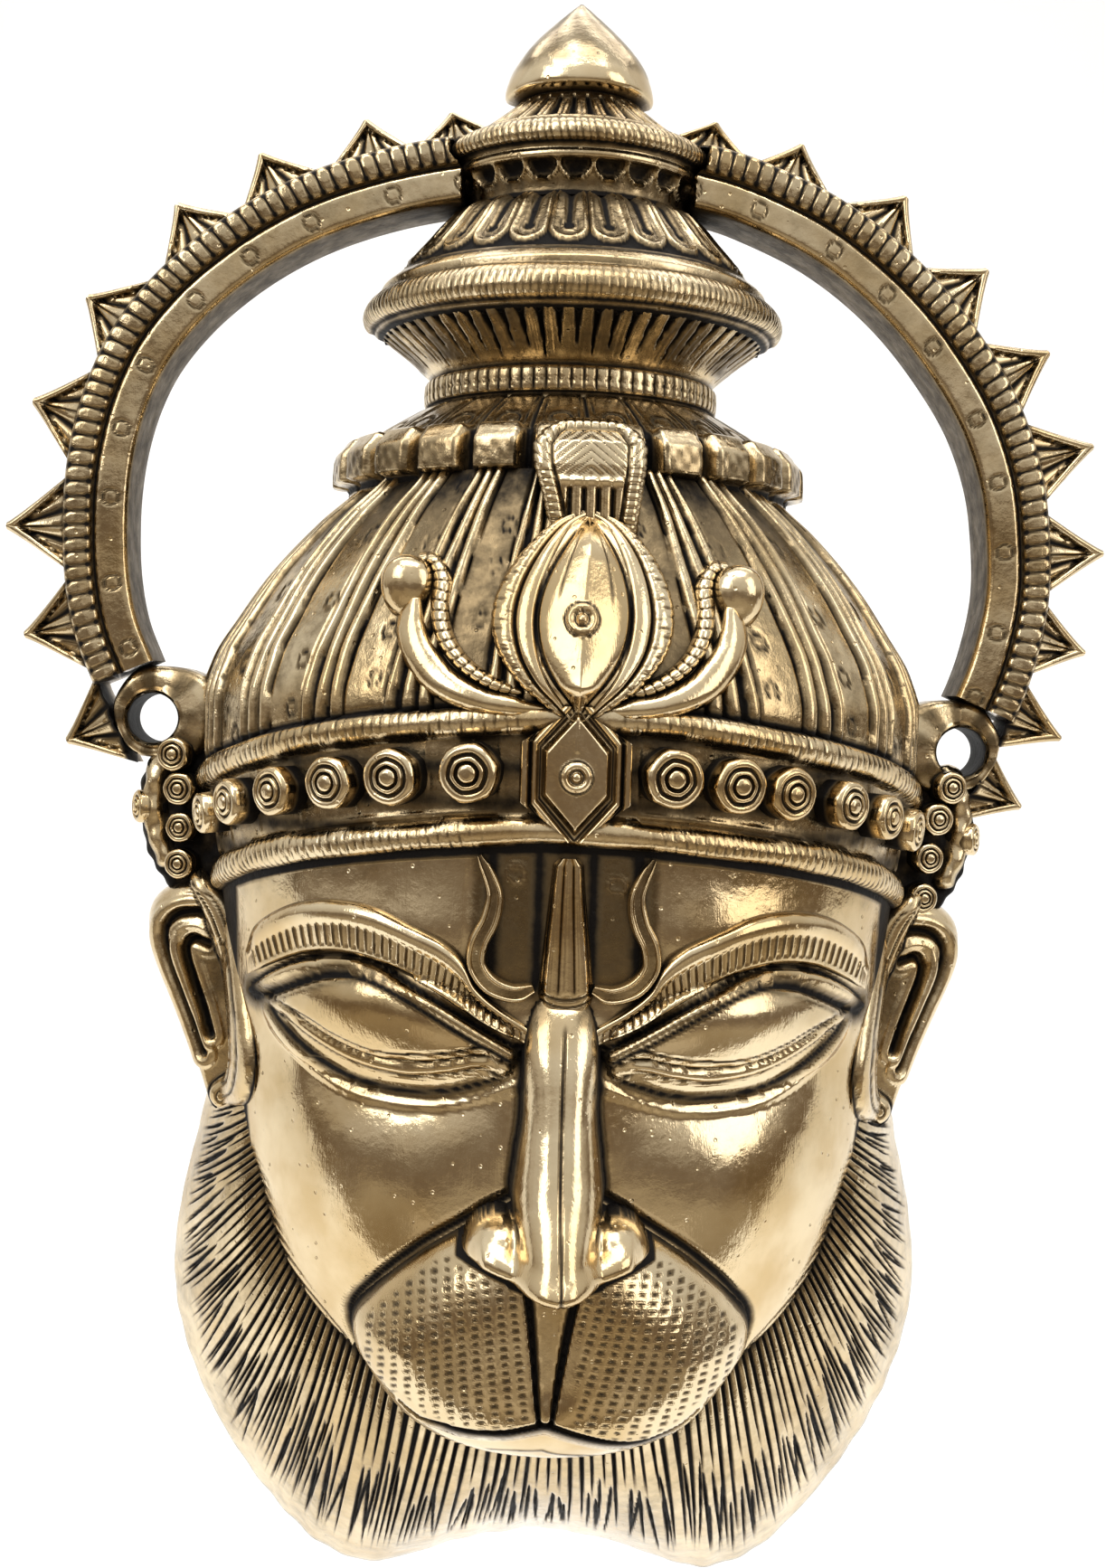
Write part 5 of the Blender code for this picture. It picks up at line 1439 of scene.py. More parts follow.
def face_swell(x: Grid, z: Grid) -> Grid:
    """Brow, socket, lids, cheeks and the root of the nose: how far they stand out of the plain head."""
    side = np.abs(x)
    swell = -3.4 * bell(side - 29.0, z + 62.0, 20.0, 9.0)
    swell = swell + 1.6 * bell(side - 34.0, z + 38.0, 24.0, 7.0)
    tilt = 0.10 * (side - 31.0)
    ball = ((side - 30.5) / 23.5) ** 2 + ((z + 56.0 - tilt) / 11.0) ** 2
    swell = swell + 6.6 * np.clip(1.0 - ball, 0.0, 1.0) ** 0.62
    swell = swell + 2.4 * bell(side - 33.0, z + 86.0, 17.0, 14.0)
    root = 4.2 * np.exp(-((side / 7.5) ** 2)) * ease(z, -50.0, -58.0) * ease(z, -122.0, -104.0)
    return swell + root


def face_out(x: Grid, z: Grid) -> Grid:
    """Depth of the face with its large forms."""
    fade = np.clip((1.0 - np.abs(x) / HEAD.at(z, 0)) * 5.0, 0.0, 1.0)
    return head_out(x, z) + fade * face_swell(x, z)


def muzzle_inside(x: Grid, z: Grid) -> Grid:
    """Distance of a place inside the muzzle's outline, less than nought outside it."""
    distance, _, side = MUZZLE_EDGE.measure(np.abs(x), z, 40.0)
    return distance * np.where(side < 0, 1.0, -1.0)


def muzzle_swell(inside: Grid) -> Grid:
    """How far the muzzle stands out of the plain head at a distance inside its outline."""
    return 11.6 * np.sqrt(np.clip(1.0 - (1.0 - np.clip(inside / 14.0, 0.0, 1.0)) ** 2, 0.0, 1.0))


def muzzle_ground(x: Grid, z: Grid) -> Grid:
    """Depth that the muzzle's outline lies at."""
    return 57.4 - 0.0095 * x**2 - 1.6 * ease(z, -112.0, -129.0)


def wing_reach(side: Grid, z: Grid) -> Grid:
    """Squared distance from the middle of the nose's wing: one at its outline."""
    return ((side - 9.5 - 0.1 * (-84.0 - z)) / 5.9) ** 2 + ((z + 90.2) / 6.6) ** 2


def under_nose(side: Grid, z: Grid) -> Grid:
    """Height of a place over the wide edge that runs from the wings down to the nose's tip."""
    return z + 96.6 - 0.33 * side


def set_back(skin: Skin, ground: Grid, rows: int, columns: int) -> Grid:
    """A coarse sheet behind a form: on its ground, but over the hollow and never through the skin.

    Args:
        skin: The form's front.
        ground: Depths that the back should lie at.
        rows: Rows of the back.
        columns: Columns of the back.

    Returns:
        Its points, rows by columns by three.
    """
    few_rows, few = sparse(ground.shape[0], rows), sparse(ground.shape[1], columns)
    back = skin.points[few_rows][:, few].copy()
    kept = np.maximum(ground[few_rows][:, few], hollow_depth(back[:, :, 0], back[:, :, 2], LINING_SPARE))
    back[:, :, 1] = -np.minimum(kept, -back[:, :, 1] - 0.2)
    return back


def line_hollow(skin: Skin, rows: int, columns: int) -> Grid:
    """A coarse sheet behind a deep form, on the hollow's wall.

    Args:
        skin: The form's front.
        rows: Rows of the sheet.
        columns: Columns of the sheet.

    Returns:
        Its points, rows by columns by three.
    """
    few_rows, few = sparse(skin.points.shape[0], rows), sparse(skin.points.shape[1], columns)
    back = skin.points[few_rows][:, few].copy()
    inner = hollow_depth(back[:, :, 0], back[:, :, 2], LINING_SPARE) + 0.2
    back[:, :, 1] = -np.minimum(inner, -back[:, :, 1] - 0.3)
    return back


def strip(line: Grid, half: Grid, rows: int, base: callable, lift: callable, sink: float = 1.0,
          thick: float = 2.2) -> tuple[Skin, Grid]:
    """A ridge along a line on the carving.

    Args:
        line: Places along it, across and up.
        half: Its half width at each.
        rows: Rows across it.
        base: Depth of what it stands on, from places across and levels.
        lift: How far it stands out, from the share along and the place across between one and minus one.
        sink: How deep its edges are buried.
        thick: How far behind the base its back lies.

    Returns:
        The skin and its coarse back.
    """
    ahead = np.gradient(line, axis=0)
    ahead /= np.maximum(np.linalg.norm(ahead, axis=1, keepdims=True), 1e-9)
    normal = np.stack([-ahead[:, 1], ahead[:, 0]], axis=1)
    place = np.linspace(1.0, -1.0, rows)[:, None]
    across = line[None, :, 0] + normal[None, :, 0] * half[None, :] * place
    up = line[None, :, 1] + normal[None, :, 1] * half[None, :] * place
    share = np.linspace(0, 1, len(line))[None, :] + 0 * across
    ground = base(across, up)
    out = ground - sink * np.abs(place) ** 8 + lift(share, place + 0 * across)
    skin = Skin(across, out, up)
    return skin, set_back(skin, ground - thick, 4, max(6, len(line) // 6))


def between(top: Grid, low: Grid, rows: int, base: callable, lift: callable, sink: float = 1.0,
            thick: float = 2.2) -> tuple[Skin, Grid]:
    """A raised form between two edge lines, as strip does for a ridge along one line."""
    place = np.linspace(0.0, 1.0, rows)[:, None]
    across = top[None, :, 0] + (low - top)[None, :, 0] * place
    up = top[None, :, 1] + (low - top)[None, :, 1] * place
    share = np.linspace(0, 1, len(top))[None, :] + 0 * across
    ground = base(across, up)
    edge = np.maximum(np.abs(2 * place - 1), 0.0) ** 10
    out = ground - sink * edge + lift(share, 1 - 2 * place + 0 * across)
    skin = Skin(across, out, up)
    return skin, set_back(skin, ground - thick, 5, max(6, len(top) // 6))


def mirrored(skin: Skin, back: Grid) -> tuple[Skin, Grid]:
    """The same form on the mask's other side."""
    other = Skin.__new__(Skin)
    other.points = skin.points[:, ::-1].copy()
    other.points[:, :, 0] *= -1
    other.patina_and_shade = skin.patina_and_shade[:, ::-1].copy()
    turned = back[:, ::-1].copy()
    turned[:, :, 0] *= -1
    return other, turned


@dataclass
class Face:
    """Forehead, eyes, cheeks, nose, muzzle, brows and the forehead's mark."""

    foundry: Foundry
    brow_tick: float = 1.4
    punch: tuple = (1.42, 1.36)

    def levels(self, rows: int, turns: Grid) -> Grid:
        """Levels of the face's rows, bowed under the headband and level at the mouth."""
        middle = np.linspace(-22.2, -121.0, rows)[:, None]
        share = np.clip((middle + 64.0) / (-22.2 + 64.0), 0.0, 1.0) ** 0.9
        return middle - share * bow(np.sin(turns))[None, :]

    def build_skin(self) -> None:
        """Forehead, lids and cheeks."""
        rows, columns = 160, 300
        turns = bunched(columns, 90.0, 1.16)
        levels = self.levels(rows, turns)
        ends = np.minimum(np.where(levels > -60.0, 200.0, BEARD_EDGE.at(levels) + 5.0), HEAD.at(levels, 0))
        limit = np.arcsin(np.clip(ends / HEAD.at(levels, 0), 0.0, 1.0)) / (math.pi / 2)
        turn = turns[None, :] * limit
        across = HEAD.at(levels, 0) * np.sin(turn)
        plain = HEAD.at(levels, 1) * np.maximum(np.cos(turn), 0.0) ** HEAD.at(levels, 2)
        fade = np.clip((1.0 - np.abs(across) / HEAD.at(levels, 0)) * 5.0, 0.0, 1.0)
        skin = Skin(across, plain + fade * face_swell(across, levels), levels)
        rise, patina_and_shade = self.chasing(across, levels)
        skin.chase(rise, patina_and_shade)
        few_rows = sparse(rows, 24)
        few = sparse(columns, 44)
        low, angle = levels[few_rows][:, few], turn[few_rows][:, few]
        wide = np.minimum(CASTING.at(low, 0) - RIM_WALL + 1.4, HEAD.at(low, 0) - 1.5)
        x = np.clip(HEAD.at(low, 0) * np.sin(angle), -wide, wide)
        out = hollow_depth(x, low, HIDDEN_SPARE) + 0.2
        front = -skin.points[few_rows][:, few][:, :, 1]
        back = np.stack([x, -np.minimum(out, np.maximum(front - 0.8, 0.1)), low], axis=2)
        self.foundry.shell("face", skin, back, Finish.BRIGHT)

    def chasing(self, x: Grid, z: Grid) -> tuple[Grid, Grid]:
        """Lines cut into the face: lids, creases, folds and the dark round what stands on it."""
        side = np.abs(x)
        rise, patina_and_shade = np.zeros(x.shape), np.zeros(x.shape)
        edge, along, hand = EYELID_EDGE.measure(side, z)
        below = hand > 0
        crease, crease_along, crease_hand = EYE_CREASE.measure(side, z)
        in_eye = below & (crease_hand < 0) & (side > 7.0) & (side < 53.5) & (edge < 9.0) & (crease < 9.0)
        ends = ease(along, 0.0, 0.12) * ease(along, 1.0, 0.90)
        rise = rise - 1.5 * in_eye * ease(edge, 0.0, 0.5) * ease(crease, 0.0, 1.0) * ends
        lip = hill(edge - 0.9, 0.75) * in_eye
        fold, fold_along, _ = EYE_FOLD.measure(side, z)
        ridge = hill(fold, 0.95) * ease(fold_along, 0.0, 0.1) * ease(fold_along, 1.0, 0.9)
        rise = rise + 0.75 * lip * ends + 0.9 * ridge * in_eye
        for distance, half, deep, dark in ((edge, 0.42, 0.7, 0.95), (np.abs(fold - 1.35), 0.5, 0.45, 0.9)):
            cut = notch(distance, half) * in_eye
            rise, patina_and_shade = rise - deep * cut, np.maximum(patina_and_shade, dark * cut)
        cut = notch(edge, 0.55) * ends
        rise, patina_and_shade = rise - 0.4 * cut, np.maximum(patina_and_shade, cut)
        cut = notch(crease, 0.95, 1.1) * ease(crease_along, 0.0, 0.05) * ease(crease_along, 1.0, 0.92)
        rise, patina_and_shade = rise - 1.1 * cut, np.maximum(patina_and_shade, cut)
        roll = hill(crease - 1.7, 1.0) * (crease_hand > 0) * ease(crease_along, 0.02, 0.2)
        rise = rise + 0.55 * roll
        top, top_along, top_hand = EYELID_TOP.measure(side, z)
        cut = notch(top - 0.2, 0.95, 1.0) * ease(top_along, 1.0, 0.96)
        rise, patina_and_shade = rise - 1.2 * cut, np.maximum(patina_and_shade, cut)
        rim = notch(top - 1.7, 1.0) * (top_hand > 0)
        patina_and_shade = np.maximum(patina_and_shade, 0.34 * rim)
        fold, fold_along, fold_hand = BROW_FOLD.measure(side, z)
        ridge = hill(fold, 1.0)
        rise = rise + 1.3 * ridge
        patina_and_shade = np.where(ridge > 0.5, np.minimum(patina_and_shade, 0.30), patina_and_shade)
        gap = notch(fold - 1.5, 0.8, 0.9)
        rise, patina_and_shade = rise - 0.9 * gap * (fold_hand < 0), np.maximum(patina_and_shade, gap * (fold > 0.9))
        corner = bell(side - 55.0, z + 52.6, 3.0, 3.0)
        patina_and_shade = np.maximum(patina_and_shade, 0.95 * corner)
        # Under the headband's lower rope: a dark joint, then a soft painted shadow of the rope that fades a
        # few units down the face.
        below_rope = z + bow(np.clip(side / HEAD.at(z, 0), 0.0, 1.0))
        patina_and_shade = np.maximum(patina_and_shade, ease(below_rope, -24.6, -23.7))
        patina_and_shade = np.maximum(patina_and_shade, 0.14 * ease(below_rope, -29.0, -24.5))
        patina_and_shade = np.maximum(patina_and_shade, 0.95 * ease(side, 58.4, 60.4) * ease(z, -96.0, -84.0))
        mark = ease(side, 17.0, 14.5) * ease(z, -51.0, -45.0) * ease(z, -22.0, -24.0)
        patina_and_shade = np.maximum(patina_and_shade, (0.44 + 0.5 * notch(side - 4.6, 2.0) + 0.5 * notch(side - 12.4, 2.2))
                           * mark)
        rise = rise - 0.5 * mark
        for spot in ((-8.4, -27.6), (8.6, -29.2)):
            ring = np.abs(np.hypot(x - spot[0], z - spot[1]) - 1.5)
            rise = rise + 0.4 * notch(ring, 0.45)
            patina_and_shade = np.where(ring < 0.3, 0.25, patina_and_shade)
        nose_side = side - NOSE_WIDTH.at(z)
        beside = notch(nose_side - 0.5, 1.3, 0.9) * ease(z, -52.0, -58.0) * ease(z, -84.0, -80.0)
        rise, patina_and_shade = rise - 0.6 * beside, np.maximum(patina_and_shade, beside)
        inside = muzzle_inside(x, z)
        around = notch(inside + 0.6, 1.2, 0.8)
        rise, patina_and_shade = rise - 0.9 * around, np.maximum(patina_and_shade, around)
        rim = BEARD_EDGE.at(z) + 2.6 - side
        by_beard = ease(z, -64.0, -70.0) * ease(rim, 1.4, 0.2)
        hairs = notch(wave((z - 0.9 * side) / 1.9), 0.3) * ease(rim, 5.2, 2.6) * ease(z, -80.0, -90.0)
        patina_and_shade = np.maximum(patina_and_shade, np.maximum(by_beard, 0.5 * hairs * (rim > 0)))
        return rise - 0.25 * hairs, patina_and_shade

    def build_brows(self) -> None:
        """Brows: a bright rounded upper edge over a band of upright cuts, with a lip below."""
        columns, rows = 310, 26
        top, low = even_line(BROW_TOP, columns), even_line(BROW_LOW, columns)

        def lift(share: Grid, place: Grid) -> Grid:
            """A roll above a narrow lip, both thinner towards the brow's ends."""
            width = ease(share, 0.0, 0.08) * ease(share, 1.0, 0.8) * 0.75 + 0.25
            roll = 1.0 * hill(place - 0.62, 0.5) + 0.35 * hill(place + 0.86, 0.2)
            return width * (1.5 * rounded(place, 4) + roll)

        skin, back = between(top, low, rows, face_out, lift, 1.4)
        share = np.linspace(0, 1, columns)[None, :]
        place = np.linspace(1.0, -1.0, rows)[:, None]
        arc = share * Route(BROW_LOW).length
        band = ease(place, 0.22, 0.10) * ease(place, -0.70, -0.60) * ease(share, 0.03, 0.06) * ease(share,
                                                                                                    0.97, 0.9)
        cut = notch(wave(arc / self.brow_tick + 0.1 * place) * self.brow_tick, 0.26, 0.8) * band
        lip = notch(place + 0.72, 0.09) * ease(share, 0.05, 0.1)
        ends = notch(place - 0.98, 0.10) + notch(place + 0.98, 0.10)
        skin.chase(-0.42 * cut - 0.2 * lip, np.maximum(np.maximum(0.7 * cut, 0.35 * lip), 0.95 * ends))
        self.foundry.gather("brows", self.foundry.pair("brow", skin, back), Finish.BRIGHT, 70.0)

    def build_nose(self) -> None:
        """Nose: a long split bridge, round wings and an undercut tip."""
        rows, columns = 130, 116
        across = np.linspace(-19.5, 19.5, columns)[None, :] + np.zeros((rows, 1))
        up = np.linspace(-47.5, -100.0, rows)[:, None] + np.zeros((1, columns))
        side = np.abs(across)
        bridge = NOSE_BRIDGE.at(up) * hill(side, NOSE_WIDTH.at(up) + 0.5, 2.6)
        lobe = wing_reach(side, up)
        wing = np.where(lobe < 1.0, 4.0 + 9.6 * np.sqrt(np.clip(1 - lobe, 0, 1)), 0.0)
        vee = under_nose(side, up)
        under = ease(vee, -0.9, 1.6)
        skirt = (18.5 - 0.5 * side) * np.sqrt(np.clip(1 - ((vee - 2.2) / 4.2) ** 2, 0, 1)) * ease(side, 14.8,
                                                                                                  12.0)
        swell = (bridge**5 + wing**5 + skirt**5) ** 0.2 * under
        inside = (swell > 0.4) & (vee > -0.7)
        plain = head_out(across, up)
        hidden = hollow_depth(across, up, HIDDEN_SPARE) + 0.4
        face = np.minimum(face_out(across, up), plain + 8.0)
        out = np.where(inside, plain + swell, np.minimum(hidden, face - 1.5))
        skin = Skin(across, out, up)
        split = notch(across - 0.35 - 0.25 * np.sin(up * 0.11), 0.5, 0.8) * ease(up, -51.5,
                                                                                 -55.0) * ease(vee, 0.6, 3.0)
        flank = notch(side - NOSE_WIDTH.at(up) - 0.3, 1.0, 0.8) * (lobe > 1.0)
        meet = np.exp(-(((bridge - wing) / 2.2) ** 2)) * (lobe < 1.0) * ease(up, -90.0, -85.0)
        rim = notch(np.sqrt(lobe) - 1.0, 0.10) * ease(vee, 6.0, 8.0) * (bridge < 3.0)
        patina_and_shade = np.maximum(np.maximum(0.85 * split, flank), np.maximum(0.7 * meet, rim))
        # Painted shade on the nose's underside, below its lower edge.
        patina_and_shade = np.maximum(patina_and_shade, ease(vee, 0.0, -0.6))
        patina_and_shade = np.maximum(patina_and_shade, 0.5 * ease(up, -56.0, -50.0) * ease(side, 1.0, 4.0))
        rise = -0.45 * split - 0.5 * meet
        skin.chase(np.where(inside, rise, 0.0), np.where(inside, patina_and_shade, 1.0))
        self.foundry.shell("nose", skin, line_hollow(skin, 12, 10), Finish.BRIGHT, 80.0)

    def build_muzzle(self) -> None:
        """Muzzle: two punched lobes, the cleft over the mouth, the mouth line and the lower lip."""
        rows, columns = 170, 248
        across = np.linspace(-37.5, 37.5, columns)[None, :] + np.zeros((rows, 1))
        up = np.linspace(-79.5, -131.0, rows)[:, None] + np.zeros((1, columns))
        side = np.abs(across)
        inside = muzzle_inside(across, up)
        swell = muzzle_swell(inside)
        line, along, hand = MOUTH.measure(across, up, 30.0)
        below = hand < 0
        lip = ease(line * below, 0.5, 2.2)
        swell = swell - 2.6 * lip
        dent = 1.5 * np.exp(-((side / 3.4) ** 2)) * ease(up, -119.0, -112.0)
        hidden = hollow_depth(across, up, HIDDEN_SPARE) + 0.4
        edge = muzzle_ground(across, up)
        sunk = np.maximum(np.minimum(hidden, head_out(across, up) - 1.5),
                          hollow_depth(across, up, LINING_SPARE) + 0.4)
        out = np.where(inside > 0.0, edge + swell - dent - 1.4 * notch(inside, 0.8), sunk)
        skin = Skin(across, out, up)
        rise, patina_and_shade = np.zeros(up.shape), np.zeros(up.shape)
        width = 1.35 * ease(along, 0.0, 0.2) * ease(along, 1.0, 0.8) + 0.25
        cut = np.clip(1 - line / width, 0, 1) ** 0.7
        rise, patina_and_shade = rise - 1.7 * cut, np.maximum(patina_and_shade,
                                                   np.clip(cut * 1.3, 0, 1) * (0.75 + 0.25 * (line > 0.5)))
        for hand_side, top in ((-1, -5.2), (1, 4.4)):
            middle = top + (-1.1 + 0.95 * hand_side - top) * np.clip((-94.0 - up) / 25.0, 0, 1) ** 0.6
            half = 1.15 - 0.65 * np.clip((-94.0 - up) / 25.0, 0, 1)
            cleft = np.clip(1 - np.abs(across - middle) / half, 0, 1) ** 0.6 * ease(up, -119.8, -118.6)
            rise, patina_and_shade = rise - 1.5 * cleft, np.maximum(patina_and_shade, np.clip(1.3 * cleft, 0, 1))
        angle = np.where(across < 0, -0.10, 0.20)
        a = across * np.cos(angle) - up * np.sin(angle) + 0.012 * up * across * 0.3
        b = across * np.sin(angle) + up * np.cos(angle) + 0.006 * across**2 * np.where(across < 0, 1, -0.6)
        far = np.maximum(np.abs(wave(a / self.punch[0])) * self.punch[0],
                         np.abs(wave(b / self.punch[1])) * self.punch[1])
        size = 0.40 + 0.07 * np.sin(np.round(a / self.punch[0]) * 2.3 + np.round(b / self.punch[1]) * 1.7)
        punched = np.clip(1 - far / size, 0, 1) ** 0.55
        where = ease(inside, 1.6, 2.6) * ease(line, 1.5, 2.4) * (1 - below) * ease(side, 3.2, 4.6)
        lobe = np.sqrt(wing_reach(side, up))
        vee = under_nose(side, up)
        from_nose = np.where(vee > 0, (lobe - 1.0) * 6.2, np.maximum(-vee, (lobe - 1.0) * 6.2))
        punched = punched * where * ease(from_nose, 1.0, 1.8) * ease(inside, 1.6, 2.4)
        rise, patina_and_shade = rise - 0.28 * punched, np.maximum(patina_and_shade, 0.75 * punched)
        patina_and_shade = np.maximum(patina_and_shade, notch(inside, 1.0, 0.7))
        # Painted shadow of the nose on the muzzle: dark below the nose's lower edge, and darker still under
        # its middle; round the wings' outline it is a dark joint.
        patina_and_shade = np.maximum(patina_and_shade, ease(from_nose, 1.1, 0.4))
        under_nose_shadow = np.abs(across) < NOSE_WIDTH.at(up) + 1.0
        patina_and_shade = np.maximum(patina_and_shade, 0.9 * under_nose_shadow * ease(vee, -1.6, -0.8))
        lip_edge = notch(line - 4.6 - 1.2 * ease(side, 8.0, 0.0), 0.6) * below * ease(side, 12.0, 9.0)
        patina_and_shade = np.maximum(patina_and_shade, 0.6 * lip_edge)
        skin.chase(np.where(inside > 0, rise, 0.0), np.where(inside > 0, patina_and_shade, 1.0))
        self.foundry.shell("muzzle", skin, line_hollow(skin, 12, 18), Finish.BRIGHT, 80.0)

    def build_mark(self) -> None:
        """The forehead's mark: a fluted stem between two channelled arms."""
        length, rows = 120, 22
        arm = even_line(((14.6, -24.6), (12.9, -28.0), (11.9, -31.4), (12.6, -35.4), (14.4, -39.4),
                         (14.6, -43.2), (12.2, -46.4), (8.2, -47.7), (5.0, -46.6)), length)
        half = np.interp(np.linspace(0, 1, length), (0, 0.06, 0.3, 0.75, 0.93, 1.0),
                         (0.5, 1.1, 1.8, 2.0, 1.7, 0.9))

        def arm_lift(_: Grid, place: Grid) -> Grid:
            """A flat arm with a raised line along each edge."""
            edges = 0.75 * (hill(place - 0.66, 0.30) + hill(place + 0.66, 0.30))
            return 1.5 * rounded(place, 6) + edges

        skin, back = strip(arm, half, rows, face_out, arm_lift, 1.4)
        place = np.linspace(1, -1, rows)[:, None] + np.zeros((1, length))
        skin.chase(0 * place, 0.95 * notch(np.abs(place) - 1.0, 0.10) + 0.3 * ease(np.abs(place), 0.5, 0.2))
        arms = self.foundry.pair("mark", skin, back)
        length, rows = 130, 40
        stem = even_line(((0.3, -24.6), (0.3, -32.0), (0.4, -40.0), (0.5, -47.0), (0.6, -52.6)), length)
        reach = np.linspace(0, 1, length)
        half = np.interp(reach, (0, 0.04, 0.2, 0.5, 0.82, 0.92, 0.97, 1.0),
                         (1.6, 2.7, 3.1, 4.0, 4.9, 4.2, 2.8, 0.8))

        def stem_lift(share: Grid, place: Grid) -> Grid:
            """A fluted stem that is smooth below its two rings."""
            flutes = 0.42 * np.abs(np.cos(place * math.pi * 1.75)) * ease(share, 0.86, 0.80)
            return 1.9 * rounded(place, 4) + flutes

        skin, back = strip(stem, half, rows, face_out, stem_lift, 1.4)
        place = np.linspace(1, -1, rows)[:, None] + np.zeros((1, length))
        share = reach[None, :] + 0 * place
        flute = notch(wave(place * 1.75 + 0.5), 0.13) * ease(share, 0.84, 0.78) * ease(share, 0.02, 0.06)
        curve = share + 0.05 * (1 - place**2) * -1
        lines = (notch(curve - 0.80, 0.016) + notch(curve - 0.845, 0.014)) * (np.abs(place) < 0.9)
        edge = 0.95 * notch(np.abs(place) - 1.0, 0.10)
        skin.chase(-0.25 * flute - 0.3 * lines, np.maximum(np.maximum(0.6 * flute, 0.8 * lines), edge))
        middle = self.foundry.close("mark_stem", skin, back)
        self.foundry.gather("forehead_mark", [*arms, middle], Finish.BRIGHT, 70.0)

    def build(self) -> None:
        """Skin first, then what stands on it."""
        self.build_skin()
        self.build_brows()
        self.build_nose()
        self.build_muzzle()
        self.build_mark()


@dataclass
class Ears:
    """Leaf-shaped ears with a triple strand in front, and the plates between ear and lug."""

    foundry: Foundry
    outer: tuple = ((63.0, -33.6), (70.0, -34.6), (76.0, -36.6), (79.4, -40.6), (79.6, -46.0), (77.2, -52.4),
                    (74.2, -59.0), (71.4, -65.6), (68.9, -72.0), (66.6, -77.6), (64.8, -79.0))
    inner: tuple = ((60.0, -37.0), (59.0, -41.0), (58.0, -45.4), (56.8, -50.0), (55.6, -55.0), (54.6, -60.0),
                    (54.0, -65.0), (54.0, -70.0), (55.4, -74.6), (58.6, -77.8), (62.4, -79.2))

    def ground(self, x: Grid, z: Grid) -> Grid:
        """Depth that the ear stands on: a slope from the head down to its outer rim."""
        over_face = 2.3 * np.clip(62.0 - x, 0.0, 7.0) * ease(z, -37.0, -42.0)
        return 13.2 - 0.26 * (x - 66.0) + 0.05 * (z + 55.0) + over_face

    def build_ears(self) -> None:
        """One leaf, cut with two dark channels, and its mirror image."""
        columns, rows = 120, 62
        outer, inner = even_line(self.outer, columns), even_line(self.inner, columns)

        def lift(_: Grid, place: Grid) -> Grid:
            """The leaf's thickness, rounded off at its rim."""
            return 1.6 * rounded(place, 6)

        skin, back = between(outer, inner, rows, self.ground, lift, 4.0, 9.0)
        x, z = skin.points[:, :, 0], skin.points[:, :, 2]
        rise, patina_and_shade = np.zeros(x.shape), np.zeros(x.shape)
        leaf = Route(((65.6, -41.6), (69.0, -40.6), (73.2, -41.4), (75.6, -44.2), (75.2, -49.0),
                      (72.6, -55.4), (69.8, -62.0), (67.6, -68.0)))
        core = Route(((66.8, -46.6), (69.8, -45.8), (71.2, -48.0), (69.8, -53.0), (67.6, -59.0),
                      (66.0, -64.4)))
        strand = Route(((69.4, -34.6), (65.6, -38.6), (63.4, -43.0), (61.0, -50.0), (59.2, -58.0),
                        (58.2, -66.0), (59.4, -72.4), (63.0, -75.8)), 60)
        for route, half in ((leaf, 1.05), (core, 0.95)):
            distance, _, _ = route.measure(x, z)
            cut = notch(distance, half, 0.8)
            rise, patina_and_shade = rise - 1.9 * cut, np.maximum(patina_and_shade, cut)
            roll = hill(distance - half - 1.0, 1.1)
            rise = rise + 0.7 * roll * (1 - cut)
        distance, along, hand = strand.measure(x, z)
        taper = ease(along, 0.0, 0.15) * 0.5 + 0.5
        place = distance * hand / (2.9 * taper)
        body = rounded(place, 2)
        lines = notch(wave(place * 1.5 + 0.5), 0.16) * (np.abs(place) < 0.95)
        on = np.abs(place) < 1.0
        rise = np.where(on, 2.2 * body - 0.55 * lines, rise)
        patina_and_shade = np.where(on, 0.8 * lines, np.maximum(patina_and_shade, notch(np.abs(place) - 1.12, 0.2)))
        rough = ease(x, 70.0, 64.0) * ease(z, -66.0, -50.0) * (1 - on)
        patina_and_shade = np.maximum(patina_and_shade, 0.4 * rough)
        skin.chase(rise, patina_and_shade)
        self.foundry.gather("ears", self.foundry.pair("ear", skin, back), Finish.CHASED, 75.0)

    def build_plates(self) -> None:
        """Lumpy plates that carry the small studs."""
        columns, rows = 70, 32
        outer = even_line(((76.0, -9.6), (80.2, -12.6), (82.4, -18.0), (81.8, -25.0), (79.6, -31.6),
                           (75.6, -37.0), (70.6, -38.6)), columns)
        inner = even_line(((64.0, -8.0), (63.0, -13.0), (62.8, -19.0), (62.2, -25.0), (61.4, -31.0),
                           (60.6, -36.0), (60.6, -38.4)), columns)

        def lift(_: Grid, place: Grid) -> Grid:
            """The plate's thickness, rounded off at its rim."""
            return 1.2 * rounded(place, 4)

        skin, back = between(outer, inner, rows, lambda x, z: 9.6 - 0.10 * (x - 70.0) + 0 * z, lift, 3.4, 7.0)
        x, z = skin.points[:, :, 0], skin.points[:, :, 2]
        bar = Route(((75.6, -9.0), (78.0, -14.0), (78.6, -20.0), (77.8, -26.0), (75.8, -31.0)))
        distance, _, _ = bar.measure(x, z)
        ridge = hill(distance, 2.0)
        lumps = 0.35 * np.sin(x * 1.3 + 1.0) * np.sin(z * 1.1)
        cut = notch(distance - 2.3, 0.9)
        skin.chase(1.7 * ridge + lumps - 0.8 * cut, np.maximum(cut, 0.75 * (1 - ridge)))
        self.foundry.gather("temple_plates", self.foundry.pair("plate", skin, back), Finish.CHASED, 75.0)

    def build(self) -> None:
        """Ears and plates."""
        self.build_ears()
        self.build_plates()


